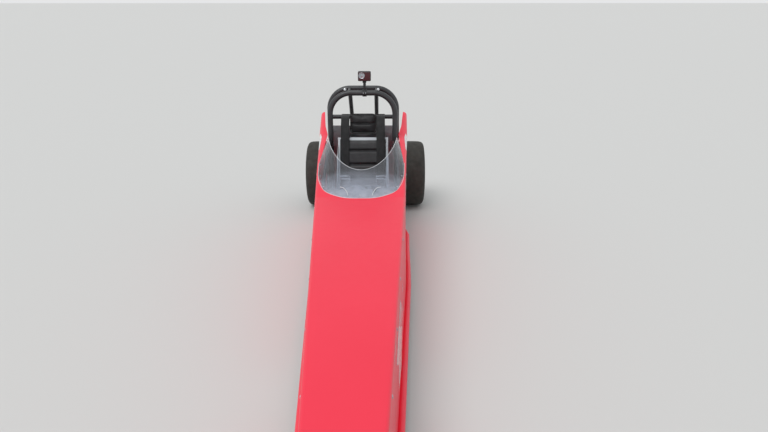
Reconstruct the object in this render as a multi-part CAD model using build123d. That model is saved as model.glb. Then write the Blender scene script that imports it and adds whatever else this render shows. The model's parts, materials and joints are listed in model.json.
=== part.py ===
from build123d import *
import math
import os

# A junior drag racing car: a long, narrow, rear-engined single-seater at about half scale.
# It stands with its nose towards -Y and its left side towards +X, +Z is up, and the origin
# is on the ground at the middle of its length. Lengths are millimetres, angles are degrees.
# Places along the car are written as "ahead", the distance in front of the rear axle.

# Overall sizes
WHEELBASE = 3810.0
NOSE_OVERHANG = 420.0
REAR_TYRE_RADIUS = 228.6
REAR_TYRE_WIDTH = 208.0
REAR_TRACK = 618.0
FRONT_TYRE_RADIUS = 250.0
FRONT_TYRE_WIDTH = 50.0
FRONT_TRACK = 530.0
REAR_AXLE_Y = (WHEELBASE + NOSE_OVERHANG - REAR_TYRE_RADIUS) / 2

# Clearances
WELD_GAP = 0.3
PANEL_GAP = 0.6
RUNNING_GAP = 0.05
MOVING_GAP = 5.0

# Frame tubes
RAIL_RADIUS = 11.0
RAIL_HEIGHT = 94.0
UPPER_RAIL_RADIUS = 9.5
UPRIGHT_RADIUS = 8.0
UPRIGHT_INSET = 10.0
CAGE_RADIUS = 15.9
REAR_RAIL_X = 170.0
RAIL_BEND = 60.0
RAIL_KNEE_BEND = 40.0
RAIL_EASE = 600.0
RAIL_FRONT = WHEELBASE + 120.0
RAIL_KICK = (175.0, 325.0)
TAIL = 150.0
TAIL_TUBE_AHEAD = RAIL_RADIUS - TAIL
TAIL_POST_AHEAD = -110.0
TAB_X = 116.0
TAB_THICK = 8.0
TAB_PIN_AHEAD = -200.0
TAB_EDGE = 13.0
TAB_BORE = 5.0
TAB_BOSS = 24.0
REAR_RAIL_TOP = 560.0
REAR_RAIL_BEND = 300.0
REAR_RAIL_HIGH = 420.0
REAR_RAIL_LOW = 350.0
CROSS_PLACES = (TAIL_TUBE_AHEAD, 250.0, 430.0, 520.0, 860.0)
FIRST_UPRIGHT = 1180.0
UPRIGHT_BAYS = 5
UPRIGHT_PLACES = tuple(
    FIRST_UPRIGHT + bay * (WHEELBASE - FIRST_UPRIGHT) / UPRIGHT_BAYS
    for bay in range(UPRIGHT_BAYS + 1)
)

# Body skin
SKIN = 2.0
BEAD_RADIUS = RAIL_RADIUS + PANEL_GAP + SKIN
HOOD_CORNER = 14.0
COWL_AHEAD = 1285.0
PANEL_SPLIT = 950.0
PANEL_REAR = 350.0
NOSE_SEAM = WHEELBASE + 150.0

# Roll cage
FRONT_HOOP_AHEAD = 660.0
FRONT_HOOP_TOP = 927.0
FRONT_HOOP_WIDTH = 412.0
REAR_HOOP_AHEAD = 520.0
REAR_HOOP_TOP = 932.0
REAR_HOOP_WIDTH = 436.0
HOOP_CORNER = 125.0
BRACE_X = 80.0
BRACE_RADIUS = 12.9
SHOULDER_BAR_HEIGHT = 744.0

# Seat: the sheet's line from its front edge to its top, as (ahead, height)
SEAT_LINE = ((1080.0, 140.0), (806.0, 95.2), (625.0, 640.0))
SEAT_BEND = 45.0
SEAT_WIDTH = 300.0
SEAT_SHEET = 3.0
PAD_THICK = 24.0
PAD_WIDTH = 270.0
HEAD_REST = (156.0, 46.0, 120.0)
HEAD_REST_HEIGHT = 712.0
FIREWALL_TOP = 690.0
# The upper edge of the seat's wing, from the seat's top, as (ahead, height)
WING_EDGE = ((640.0, 600.0), (720.0, 560.0), (860.0, 260.0), (1040.0, 210.0))

# Harness
STRAP_WIDTH = 50.0
STRAP_THICK = 3.0
SHOULDER_STRAP_X = 106.0
STRAP_BEND = 14.0
LAP_RISE = 96.0
BUCKLE_RADIUS = 30.0
BUCKLE_HEIGHT = 18.0

# Steering
STEER_LOCK = 18.0
# The steering shaft's two ends, as (ahead, height); its wheel sits on the rear one.
STEERING_REAR = (1075.0, 430.0)
STEERING_FRONT = (1420.0, 400.0)
STEERING_SHAFT_RADIUS = 9.0
STEERING_SHAFT_LENGTH = 330.0
DASH_PLACES = (1225.0, 1390.0)
GRIP_RADIUS = 11.0
GRIP_BEND = 16.0
# The left half of the steering wheel's open rim, as (x, up), from its foot to its top
GRIP_EDGE = ((50.0, -52.0), (112.0, -40.0), (104.0, 46.0), (50.0, 26.0))
KINGPIN_X = 200.0
KINGPIN_RADIUS = 8.0
ARM_WIDTH = 22.0
KINGPIN_BOSS_RADIUS = 14.0
KINGPIN_BOSS_HEIGHT = 90.0
STRUT_PANEL_GAP = 1.5
EAR = 9.0
EAR_GAP = 0.5
TIE_EYE_HEIGHT = 15.0
TIE_EYE_RADIUS = 11.0
STEERING_ARM = 90.0
TIE_PIN_X = KINGPIN_X
TIE_PIN_RADIUS = 5.0
TIE_ROD_RADIUS = 7.0
SPINDLE_RADIUS = 9.0

# Rear axle and drive
AXLE_RADIUS = 15.9
BEARING_RADIUS = 38.0
CRANK_RADIUS = 14.0
JACKSHAFT_RADIUS = 9.5
REAR_RIM_RADIUS = 101.6
CHAIN_PITCH = 9.525
ROLLER_RADIUS = 2.9
AXLE_TEETH = 60
JACKSHAFT_TEETH = 12
CHAIN_X = 62.0
JACKSHAFT_AHEAD = 150.0
JACKSHAFT_HEIGHT = 320.0
CRANK_AHEAD = 330.0
CRANK_HEIGHT = 212.0
BELT_X = 122.0
BELT_WIDTH = 22.0
PRIMARY_RADIUS = 62.0
PRIMARY_GROOVE = 42.7
SECONDARY_RADIUS = 88.0
SECONDARY_GROOVE = 68.7
BELT_GAP = 0.3
BELT_THICK = 9.0
BRAKE_DISC_X = -100.0
BRAKE_DISC_RADIUS = 88.0
BRAKE_DISC_THICK = 5.0

# Onboard camera
CAMERA_X = 13.0
CAMERA_STEM = 50.0
CAMERA_CASE = (74.0, 40.0, 54.0)

# Body stations, one row each: ahead of the rear axle, half width at the shoulder,
# height of the top edge, radius of the shoulder.
BODY_STATIONS = (
    (PANEL_REAR, 272.0, 740.0, 24.0),
    (REAR_HOOP_AHEAD, 268.0, 687.0, 36.0),
    (620.0, 264.0, 656.0, 52.0),
    (PANEL_SPLIT, 246.0, 572.0, HOOD_CORNER),
    (COWL_AHEAD, 229.0, 488.0, HOOD_CORNER),
    (NOSE_SEAM, 51.0, 239.0, HOOD_CORNER),
)

# The lower rails' line, one row each: ahead of the rear axle, distance outside the body's
# half width at the shoulder.
FOOT_LINE = (
    (PANEL_REAR, -24.0),
    (700.0, -24.0),
    (840.0, 10.0),
    (1110.0, 15.0),
    (1500.0, 26.0),
    (NOSE_SEAM, 26.0),
)
RAIL_BENDS = (700.0, 840.0)
RAIL_EASES = (PANEL_SPLIT, 1110.0, COWL_AHEAD, 1500.0)
RAIL_PLACES = RAIL_BENDS + RAIL_EASES

# The edge of the cockpit's opening, one row each: half width, ahead of the rear axle, radius
# of the corner.
OPENING_EDGE = (
    (229.0, 1080.0, 300.0),
    (186.0, 1232.0, 70.0),
    (80.0, COWL_AHEAD + 3, 200.0),
)

# The windscreen's sections, one row each: ahead of the rear axle, half width at the foot,
# height of the foot above the body's top there, height of the arch above its foot.
SCREEN_ROWS = (
    (COWL_AHEAD + 11, 52.0, 1.2, 3.0),
    (COWL_AHEAD - 7, 112.0, 1.2, 5.5),
    (1240.0, 172.0, 1.2, 11.0),
    (1190.0, 203.0, 1.2, 19.0),
    (1100.0, 227.0, 1.2, 36.0),
    (PANEL_SPLIT, 236.0, 1.2, 66.0),
    (690.0, 211.0, 2.0, 119.0),
)
SCREEN_CUT = (204.0, 490.0)
SCREEN_CUT_AHEAD = 600.0


def at(x, ahead, z):
    """A point x to the car's left, ahead of the rear axle, z above the ground."""
    return Vector(x, REAR_AXLE_Y - ahead, z)


def between_rows(table, ahead):
    """The columns after the first, read off a table at one place along the car."""
    for near, far in zip(table, table[1:]):
        if ahead <= far[0]:
            break
    share = (ahead - near[0]) / (far[0] - near[0])
    return [a + share * (b - a) for a, b in zip(near[1:], far[1:])]


def body_at(ahead):
    """Half width, top height and shoulder radius of the body at one place along it."""
    return between_rows(BODY_STATIONS, ahead)


def section_places(rear, front):
    """The two ends of a panel, and every place between them where its lines turn."""
    turns = {row[0] for row in BODY_STATIONS + FOOT_LINE if rear + 1 < row[0] < front - 1}
    return [rear] + sorted(turns) + [front]


def rail_x(ahead):
    """Distance of a lower rail's centre line from the middle of the car."""
    kick_rear, kick_front = RAIL_KICK
    line = [(-TAIL, REAR_RAIL_X), (kick_rear, REAR_RAIL_X)]
    for place in (kick_front,) + RAIL_PLACES + (NOSE_SEAM,):
        line.append((place, body_at(place)[0] + between_rows(FOOT_LINE, place)[0]))
    return between_rows(line, ahead)[0]


def upper_rail_at(ahead):
    """Half spacing and height of the upper rails, tucked under the hood's corners."""
    half, top, _ = body_at(ahead)
    return half - HOOD_CORNER - UPPER_RAIL_RADIUS - 4, top - SKIN - UPPER_RAIL_RADIUS - 6


def bar(points, radius, bend=0.0):
    """A round bar along straight runs, with an arc at each corner: one radius, or a list."""
    if bend:
        path = FilletPolyline(*points, radius=bend)
    else:
        path = Polyline(*points)
    return sweep(Plane(path @ 0, z_dir=path % 0) * Circle(radius), path=path)


def rod(start, end, radius):
    """A straight round bar between two points."""
    run = end - start
    return extrude(Plane(start, z_dir=run.normalized()) * Circle(radius), amount=run.length)


def across(x, ahead, z, radius, length):
    """A cylinder along X, centred on a point."""
    return Pos(*at(x, ahead, z)) * Rot(0, 90, 0) * Cylinder(radius, length)


def block(x, ahead, z, size_x, size_ahead, size_z, corner=0.0):
    """A box centred on a point, with its upright edges rounded."""
    body = Box(size_x, size_ahead, size_z)
    if corner:
        body = fillet(body.edges().filter_by(Axis.Z), corner)
    return Pos(*at(x, ahead, z)) * body


def mirrored(solid):
    """The same piece on the other side of the car."""
    return mirror(solid, about=Plane.YZ)


def station_plane(ahead):
    """A plane across the car, its x to the car's left and its y up."""
    return Plane(at(0, ahead, 0), x_dir=(1, 0, 0), z_dir=(0, -1, 0))


def loft_stations(profile, places):
    """A straight-sided loft through one profile drawn at several places along the car."""
    return loft([station_plane(ahead) * profile(ahead) for ahead in places], ruled=True)


def turned(profile_points, x, ahead, z):
    """A piece turned about an axle along X, from (along the axle, radius) points."""
    face = make_face(Plane.XY * Polyline(*profile_points, close=True))
    ring = revolve(face, Axis.X)
    return Pos(*at(x, ahead, z)) * ring


# Frame

class Tube:
    """A round frame tube, and the room that its neighbours leave round it where they meet."""

    def __init__(self, points, radius, bend=0.0):
        self.points = points
        self.radius = radius
        self.bend = bend

    def grown(self, gap):
        """The tube's solid, thicker by a gap all round."""
        return bar(self.points, self.radius + gap, self.bend)

    def coped(self, *others):
        """The tube cut to sit on the tubes that it meets."""
        solid = self.grown(0)
        for other in others:
            solid -= other.grown(WELD_GAP)
        return solid.solids().sort_by(SortBy.VOLUME)[-1]

    def twin(self):
        """The same tube on the other side of the car."""
        return Tube([Vector(-p.X, p.Y, p.Z) for p in self.points], self.radius, self.bend)


def lower_rail():
    """The left lower rail: narrow between the rear tyres, wide at the cockpit, narrow in front."""
    places = (-TAIL,) + RAIL_KICK + RAIL_PLACES + (RAIL_FRONT,)
    points = [at(rail_x(place), place, RAIL_HEIGHT) for place in places]
    bends = [RAIL_BEND] * len(RAIL_KICK) + [RAIL_KNEE_BEND] * len(RAIL_BENDS)
    bends += [RAIL_EASE] * len(RAIL_EASES)
    return Tube(points, RAIL_RADIUS, bends)


def upper_rail():
    """The left upper rail, from the rear hoop's leg to the nose, under the hood's corner."""
    leg = hoop_leg_x(REAR_HOOP_WIDTH)
    kick = upper_rail_at(FRONT_HOOP_AHEAD)
    places = (COWL_AHEAD, RAIL_FRONT)
    ahead_points = [at(upper_rail_at(place)[0], place, upper_rail_at(place)[1]) for place in places]
    return Tube([at(leg, REAR_HOOP_AHEAD, kick[1])] + ahead_points, UPPER_RAIL_RADIUS, RAIL_BEND)


def rear_rail():
    """The left rear upper tube, from the rear hoop's leg down to the tail."""
    return Tube(
        [
            at(hoop_leg_x(REAR_HOOP_WIDTH), REAR_HOOP_AHEAD, REAR_RAIL_TOP),
            at(REAR_RAIL_X, REAR_RAIL_BEND, REAR_RAIL_HIGH),
            at(REAR_RAIL_X, -TAIL, REAR_RAIL_LOW),
        ],
        RAIL_RADIUS,
        RAIL_BEND,
    )


def rear_rail_height(ahead):
    """Height of the rear upper tubes behind their bend."""
    share = (ahead + TAIL) / (REAR_RAIL_BEND + TAIL)
    return REAR_RAIL_LOW + share * (REAR_RAIL_HIGH - REAR_RAIL_LOW)


def hoop_leg_x(width):
    """Distance of a hoop's leg from the middle of the car."""
    return width / 2 - CAGE_RADIUS


def hoop(ahead, top, width, foot):
    """A roll hoop: up the left leg, over the rounded top and down the right leg."""
    x = hoop_leg_x(width)
    z = top - CAGE_RADIUS
    corners = [at(x, ahead, foot), at(x, ahead, z), at(-x, ahead, z), at(-x, ahead, foot)]
    return Tube(corners, CAGE_RADIUS, HOOP_CORNER)


def cross_tube(ahead):
    """A tube between the lower rails at one place."""
    ends = [at(side * rail_x(ahead), ahead, RAIL_HEIGHT) for side in (-1, 1)]
    return Tube(ends, UPRIGHT_RADIUS)


def seated_cross_tube(ahead):
    """A cross tube cut to sit on the short straight length of rail at each of its ends."""
    solid = cross_tube(ahead).grown(0)
    for side in (-1, 1):
        ends = [
            at(side * rail_x(place), place, RAIL_HEIGHT)
            for place in (ahead - 2 * UPRIGHT_RADIUS, ahead + 2 * UPRIGHT_RADIUS)
        ]
        solid -= Tube(ends, RAIL_RADIUS).grown(WELD_GAP)
    return solid.solids().sort_by(SortBy.VOLUME)[-1]


def upright(ahead):
    """The left tube from a cross tube up to the upper rail, just inside the side panel."""
    x, z = upper_rail_at(ahead)
    foot_x = rail_x(ahead) - RAIL_RADIUS - UPRIGHT_RADIUS - UPRIGHT_INSET
    return Tube([at(foot_x, ahead, RAIL_HEIGHT), at(x, ahead, z)], UPRIGHT_RADIUS)


def tail_bar():
    """The upper cross tube at the tail, which the cage braces land on."""
    z = rear_rail_height(TAIL_TUBE_AHEAD)
    ends = [at(side * REAR_RAIL_X, TAIL_TUBE_AHEAD, z) for side in (-1, 1)]
    return Tube(ends, RAIL_RADIUS)


def tail_tabs():
    """An ear with a bored boss on each side of the lowest tail tube, for a wheelie bar's fork."""
    reach = TAIL_TUBE_AHEAD - TAB_PIN_AHEAD
    tube_edge = UPRIGHT_RADIUS + WELD_GAP
    ear = make_face(
        Polyline((0, -tube_edge), (0, tube_edge), (reach, TAB_EDGE), (reach, -TAB_EDGE), close=True)
    )
    plate_plane = Plane(
        at(TAB_X - TAB_THICK / 2, TAIL_TUBE_AHEAD, RAIL_HEIGHT), x_dir=(0, 1, 0), z_dir=(1, 0, 0)
    )
    tab = extrude(plate_plane * ear, amount=TAB_THICK)
    tab += across(TAB_X, TAB_PIN_AHEAD, RAIL_HEIGHT, TAB_EDGE, TAB_BOSS)
    tab -= across(TAB_X, TAB_PIN_AHEAD, RAIL_HEIGHT, TAB_BORE, 2 * TAB_BOSS)
    tab -= cross_tube(TAIL_TUBE_AHEAD).grown(WELD_GAP)
    tab = tab.solids().sort_by(SortBy.VOLUME)[-1]
    return [tab, mirrored(tab)]


def frame_pieces():
    """The welded tube frame and the roll cage."""
    pieces = {}
    lower = lower_rail()
    upper = upper_rail()
    rear = rear_rail()
    rear_hoop = hoop(REAR_HOOP_AHEAD, REAR_HOOP_TOP, REAR_HOOP_WIDTH, RAIL_HEIGHT)
    front_foot = upper_rail_at(FRONT_HOOP_AHEAD)[1]
    front_hoop = hoop(FRONT_HOOP_AHEAD, FRONT_HOOP_TOP, FRONT_HOOP_WIDTH, front_foot)

    rails = [lower.coped(), upper.coped(rear_hoop), rear.coped(rear_hoop)]
    pieces["frame_rails"] = rails + [mirrored(rail) for rail in rails]
    pieces["rear_hoop"] = [rear_hoop.coped(cross_tube(REAR_HOOP_AHEAD))]
    pieces["front_hoop"] = [front_hoop.coped(upper, upper.twin())]

    braces = []
    for ahead in UPRIGHT_PLACES:
        post = upright(ahead).coped(cross_tube(ahead), upper)
        braces += [post, mirrored(post)]
    post_ends = [
        at(REAR_RAIL_X, TAIL_POST_AHEAD, height)
        for height in (RAIL_HEIGHT, rear_rail_height(TAIL_POST_AHEAD))
    ]
    tail_post = Tube(post_ends, UPRIGHT_RADIUS).coped(lower, rear)
    braces += [tail_post, mirrored(tail_post)]
    for ahead in CROSS_PLACES + UPRIGHT_PLACES:
        braces.append(seated_cross_tube(ahead))
    braces.append(tail_bar().coped(rear, rear.twin()))
    pieces["frame_braces"] = braces

    top = REAR_HOOP_TOP - CAGE_RADIUS
    brace_foot = at(BRACE_X, TAIL_TUBE_AHEAD, rear_rail_height(TAIL_TUBE_AHEAD))
    brace = Tube([at(BRACE_X, REAR_HOOP_AHEAD, top), brace_foot], BRACE_RADIUS)
    brace = brace.coped(rear_hoop, tail_bar())
    leg = hoop_leg_x(REAR_HOOP_WIDTH)
    shoulder_bar = Tube(
        [
            at(-leg, REAR_HOOP_AHEAD, SHOULDER_BAR_HEIGHT),
            at(leg, REAR_HOOP_AHEAD, SHOULDER_BAR_HEIGHT),
        ],
        BRACE_RADIUS,
    ).coped(rear_hoop)
    tie = Tube(
        [
            at(BRACE_X, REAR_HOOP_AHEAD, top),
            at(BRACE_X, FRONT_HOOP_AHEAD, FRONT_HOOP_TOP - CAGE_RADIUS),
        ],
        UPRIGHT_RADIUS,
    ).coped(rear_hoop, front_hoop)
    pieces["cage_braces"] = [brace, mirrored(brace), shoulder_bar, tie, mirrored(tie)]
    return pieces


# Body skin

def side_profile(ahead, with_shoulder):
    """A side panel's section: shoulder, leaning wall, and the bead wrapped round the rail."""
    half, top, shoulder = body_at(ahead)
    foot = Vector(rail_x(ahead), RAIL_HEIGHT)
    outer_bead = BEAD_RADIUS
    inner_bead = BEAD_RADIUS - SKIN

    def on_bead(radius, angle):
        turn = math.radians(angle)
        return foot + Vector(radius * math.cos(turn), radius * math.sin(turn))

    wall_top = top - shoulder
    outer_start = Vector(half, wall_top)
    inner_start = Vector(half - SKIN, wall_top)
    outer = [
        Line(outer_start, on_bead(outer_bead, 140)),
        ThreePointArc(on_bead(outer_bead, 140), on_bead(outer_bead, 25), on_bead(outer_bead, -90)),
    ]
    knee = on_bead(outer_bead, 180) + Vector(0.3, SKIN)
    inner = [
        Line(on_bead(outer_bead, -90), on_bead(inner_bead, -90)),
        ThreePointArc(on_bead(inner_bead, -90), on_bead(inner_bead, 45), on_bead(inner_bead, 180)),
        Line(on_bead(inner_bead, 180), knee),
        Line(knee, inner_start),
    ]
    if not with_shoulder:
        edges = outer + inner + [Line(inner_start, outer_start)]
        return make_face(edges)
    centre = Vector(half - shoulder, wall_top)
    diagonal = math.sqrt(0.5)
    rim_outer = centre + Vector(0, shoulder)
    rim_inner = centre + Vector(0, shoulder - SKIN)
    shoulder_arcs = [
        ThreePointArc(
            inner_start,
            centre + Vector(diagonal, diagonal) * (shoulder - SKIN),
            rim_inner,
        ),
        Line(rim_inner, rim_outer),
        ThreePointArc(rim_outer, centre + Vector(diagonal, diagonal) * shoulder, outer_start),
    ]
    return make_face(outer + inner + shoulder_arcs)


def hood_profile(ahead):
    """The hood's section: a flat top with a rounded corner and a short lip on each side."""
    half, top, corner = body_at(ahead)
    low = top - corner + PANEL_GAP
    inner = corner - SKIN
    diagonal = math.sqrt(0.5)
    edges = []
    for side in (-1, 1):
        centre = Vector(side * (half - corner), low)
        edges += [
            ThreePointArc(
                centre + Vector(side * corner, 0),
                centre + Vector(side * diagonal, diagonal) * corner,
                centre + Vector(0, corner),
            ),
            ThreePointArc(
                centre + Vector(side * inner, 0),
                centre + Vector(side * diagonal, diagonal) * inner,
                centre + Vector(0, inner),
            ),
            Line(centre + Vector(side * corner, 0), centre + Vector(side * inner, 0)),
        ]
    for depth in (0, SKIN):
        height = low + corner - depth
        edges.append(Line((corner - half, height), (half - corner, height)))
    return make_face(edges)


def cockpit_opening():
    """The plan of the hole in the hood, a wide U that is rounded at its front, as a tall cutter."""
    rear = (body_at(PANEL_SPLIT)[0] - HOOD_CORNER / 2, PANEL_SPLIT - 50.0)
    left = [at(half, ahead, 0) for half, ahead in [rear] + [row[:2] for row in OPENING_EDGE]]
    right = [Vector(-corner.X, corner.Y, 0) for corner in reversed(left)]
    radii = [row[2] for row in OPENING_EDGE]
    outline = FilletPolyline(*left, *right, radius=radii + radii[::-1], close=False)
    base = Line(right[-1], left[0])
    return extrude(make_face([outline, base]), amount=800)


def nose_profile(ahead, half, top, foot, low, corner, inset):
    """A rounded trapezium: the nose's section, drawn smaller by an inset for its inside."""
    sketch = make_face(
        Polyline(
            (-foot + inset, low + inset),
            (foot - inset, low + inset),
            (half - inset, top - inset),
            (-half + inset, top - inset),
            close=True,
        )
    )
    return station_plane(ahead) * fillet(sketch.vertices(), corner)


def body_pieces(struts_room):
    """The skin: hood, side panels, cockpit sides, belly pan and nose."""
    pieces = {}
    seam = PANEL_GAP / 2
    fore = loft_stations(
        lambda place: side_profile(place, False),
        section_places(PANEL_SPLIT + seam, NOSE_SEAM - seam),
    )
    fore = fore - struts_room
    for place in UPRIGHT_PLACES:
        fore -= cross_tube(place).grown(PANEL_GAP)
    fore = fore.solids().sort_by(SortBy.VOLUME)[-1]
    pieces["side_panel_left"] = [fore]
    pieces["side_panel_right"] = [mirrored(fore)]

    aft = loft_stations(
        lambda place: side_profile(place, True),
        section_places(PANEL_REAR, PANEL_SPLIT - seam),
    )
    for place in CROSS_PLACES[2:]:
        aft -= cross_tube(place).grown(PANEL_GAP)
    aft = aft.solids().sort_by(SortBy.VOLUME)[-1]
    pieces["cockpit_side_left"] = [aft]
    pieces["cockpit_side_right"] = [mirrored(aft)]

    hood = loft_stations(hood_profile, (PANEL_SPLIT + seam, COWL_AHEAD, NOSE_SEAM - seam))
    pieces["hood"] = [hood - cockpit_opening()]

    # The belly pan lies between the lips of the side panels, under the lower rails.
    edge_gap = 0.5
    pan_places = (PANEL_REAR,) + RAIL_PLACES + (NOSE_SEAM - seam,)
    left = [at(rail_x(place) - edge_gap, place, 0) for place in pan_places]
    right = [at(edge_gap - rail_x(place), place, 0) for place in reversed(pan_places)]
    low = RAIL_HEIGHT - BEAD_RADIUS
    pan = Pos(0, 0, low) * extrude(make_face(Polyline(*left, *right, close=True)), amount=SKIN)
    pieces["belly_pan"] = [pan]

    # Nose sections, one row each: ahead of the rear axle, half width of the top, height of
    # the top, half width of the foot, height of the foot, corner radius.
    half, top, _ = body_at(NOSE_SEAM)
    tip = WHEELBASE + NOSE_OVERHANG
    rows = (
        (NOSE_SEAM + seam, half, top, rail_x(NOSE_SEAM) + BEAD_RADIUS, low, HOOD_CORNER),
        (NOSE_SEAM + 160, half - 9, top - 15, half + 24, low + 3, HOOD_CORNER),
        (tip - 25, half - 24, top - 42, half - 5, low + 25, HOOD_CORNER),
        (tip, half - 38, top - 62, half - 24, low + 48, 9.0),
    )
    outer = loft([nose_profile(*row, 0.0) for row in rows], ruled=True)
    inner = loft([nose_profile(*row, 2 * SKIN) for row in rows[:3]], ruled=True)
    inner = inner - Pos(*at(0, tip, 0)) * Box(400, 60, 800)
    pieces["nose_cone"] = [outer - inner]
    return pieces


def windscreen_piece():
    """The clear screen: arched sections over the cowl, cut by a long rounded U."""
    sections = []
    for ahead, half, lift, rise in SCREEN_ROWS:
        foot = body_at(ahead)[1] + lift
        outer = ThreePointArc((-half, foot), (0, foot + rise), (half, foot))
        inner_half = half - SKIN
        inner = ThreePointArc((inner_half, foot), (0, foot + rise - SKIN), (-inner_half, foot))
        ends = [Line((half, foot), (inner_half, foot)), Line((-inner_half, foot), (-half, foot))]
        sections.append(station_plane(ahead) * make_face([outer, inner] + ends))
    screen = loft(sections, ruled=True)
    cutter = Pos(*at(0, SCREEN_CUT_AHEAD, 0)) * extrude(Ellipse(*SCREEN_CUT), amount=1100)
    screen = screen - cutter
    return screen.solids().sort_by(SortBy.VOLUME)[-1]


# Cockpit

def beside(line, distance):
    """A bent line of (ahead, height) points moved sideways, towards the driver."""
    moved = []
    for index, (ahead, height) in enumerate(line):
        normals = []
        for first, second in zip(line[max(index - 1, 0):index + 1], line[max(index, 1):index + 2]):
            run_ahead, run_up = second[0] - first[0], second[1] - first[1]
            length = math.hypot(run_ahead, run_up)
            normals.append((run_up / length, -run_ahead / length))
        middle = [sum(values) / len(normals) for values in zip(*normals)]
        scale = distance / (middle[0] ** 2 + middle[1] ** 2)
        moved.append((ahead + middle[0] * scale, height + middle[1] * scale))
    return moved


def bent_sheet(line, bend, width, thick):
    """A sheet of one width, bent along a line of (ahead, height) points."""
    path = FilletPolyline(*[at(0, ahead, height) for ahead, height in line], radius=bend)
    edge = Plane(path @ 0, x_dir=(1, 0, 0), z_dir=path % 0)
    return sweep(edge * Rectangle(width, thick), path=path)


def seat_shell_piece():
    """The bent aluminium bucket: base, back and side wings, as one thin sheet."""
    sheet = bent_sheet(SEAT_LINE, SEAT_BEND, SEAT_WIDTH, SEAT_SHEET)
    lower_edge = FilletPolyline(
        *[(REAR_AXLE_Y - ahead, height) for ahead, height in SEAT_LINE], radius=SEAT_BEND)
    wing_line = SEAT_LINE[-1:] + WING_EDGE + SEAT_LINE[:1]
    upper_edge = Polyline(*[(REAR_AXLE_Y - ahead, height) for ahead, height in wing_line])
    wing = make_face([lower_edge, upper_edge])
    wing = extrude(Plane.YZ.offset(SEAT_WIDTH / 2 - SEAT_SHEET) * wing, amount=SEAT_SHEET)
    return sheet + wing + mirrored(wing)


def seat_pad_piece():
    """The padded liner that lies in the bucket, one closed soft solid."""
    offset = SEAT_SHEET / 2 + WELD_GAP + PAD_THICK / 2
    line = beside(SEAT_LINE, offset)
    return bent_sheet(line, SEAT_BEND - offset, PAD_WIDTH, PAD_THICK)


def harness_pieces():
    """Two shoulder straps over the seat's back, two lap straps and the round buckle."""
    face = SEAT_SHEET / 2 + WELD_GAP + PAD_THICK
    middle = face + WELD_GAP + STRAP_THICK / 2
    front, corner, top = [Vector(*point) for point in beside(SEAT_LINE, middle)]
    up_back = (top - corner).normalized()
    bar_top = SHOULDER_BAR_HEIGHT + BRACE_RADIUS + WELD_GAP + STRAP_THICK / 2
    line = [
        Vector(REAR_HOOP_AHEAD, bar_top),
        Vector(REAR_HOOP_AHEAD + 2 * STRAP_BEND, bar_top),
        top + up_back * STRAP_BEND,
        corner + up_back * 2 * STRAP_WIDTH,
    ]
    shoulder = bent_sheet([(point.X, point.Y) for point in line], STRAP_BEND, STRAP_WIDTH, STRAP_THICK)
    straps = [Pos(side * SHOULDER_STRAP_X, 0, 0) * shoulder for side in (-1, 1)]

    # The lap straps cross the base one strap's width ahead of the seat's corner.
    along_base = (front - corner).normalized()
    place = corner + along_base * 1.5 * STRAP_WIDTH
    forward = Vector(0, -along_base.X, along_base.Y)
    across_base = Plane(at(0, place.X, place.Y), x_dir=(1, 0, 0), z_dir=forward)
    wing_x = SEAT_WIDTH / 2 - SEAT_SHEET - WELD_GAP - STRAP_THICK / 2
    run = across_base * FilletPolyline(
        (BUCKLE_RADIUS + WELD_GAP, 0), (wing_x, 0), (wing_x, LAP_RISE), radius=STRAP_BEND)
    start = Plane(run @ 0, x_dir=forward, z_dir=run % 0)
    lap = sweep(start * Rectangle(STRAP_WIDTH, STRAP_THICK), path=run)
    seat_up = Plane(at(0, place.X, place.Y), x_dir=(1, 0, 0), z_dir=across_base.y_dir)
    lift = (BUCKLE_HEIGHT - STRAP_THICK) / 2
    buckle = seat_up * (Pos(0, 0, lift) * Cylinder(BUCKLE_RADIUS, BUCKLE_HEIGHT))
    return straps + [lap, mirrored(lap), buckle]


def steering_axis():
    """The steering shaft's rear end and its direction, towards the driver."""
    rear = at(0, *STEERING_REAR)
    front = at(0, *STEERING_FRONT)
    return rear, (rear - front).normalized()


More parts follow.
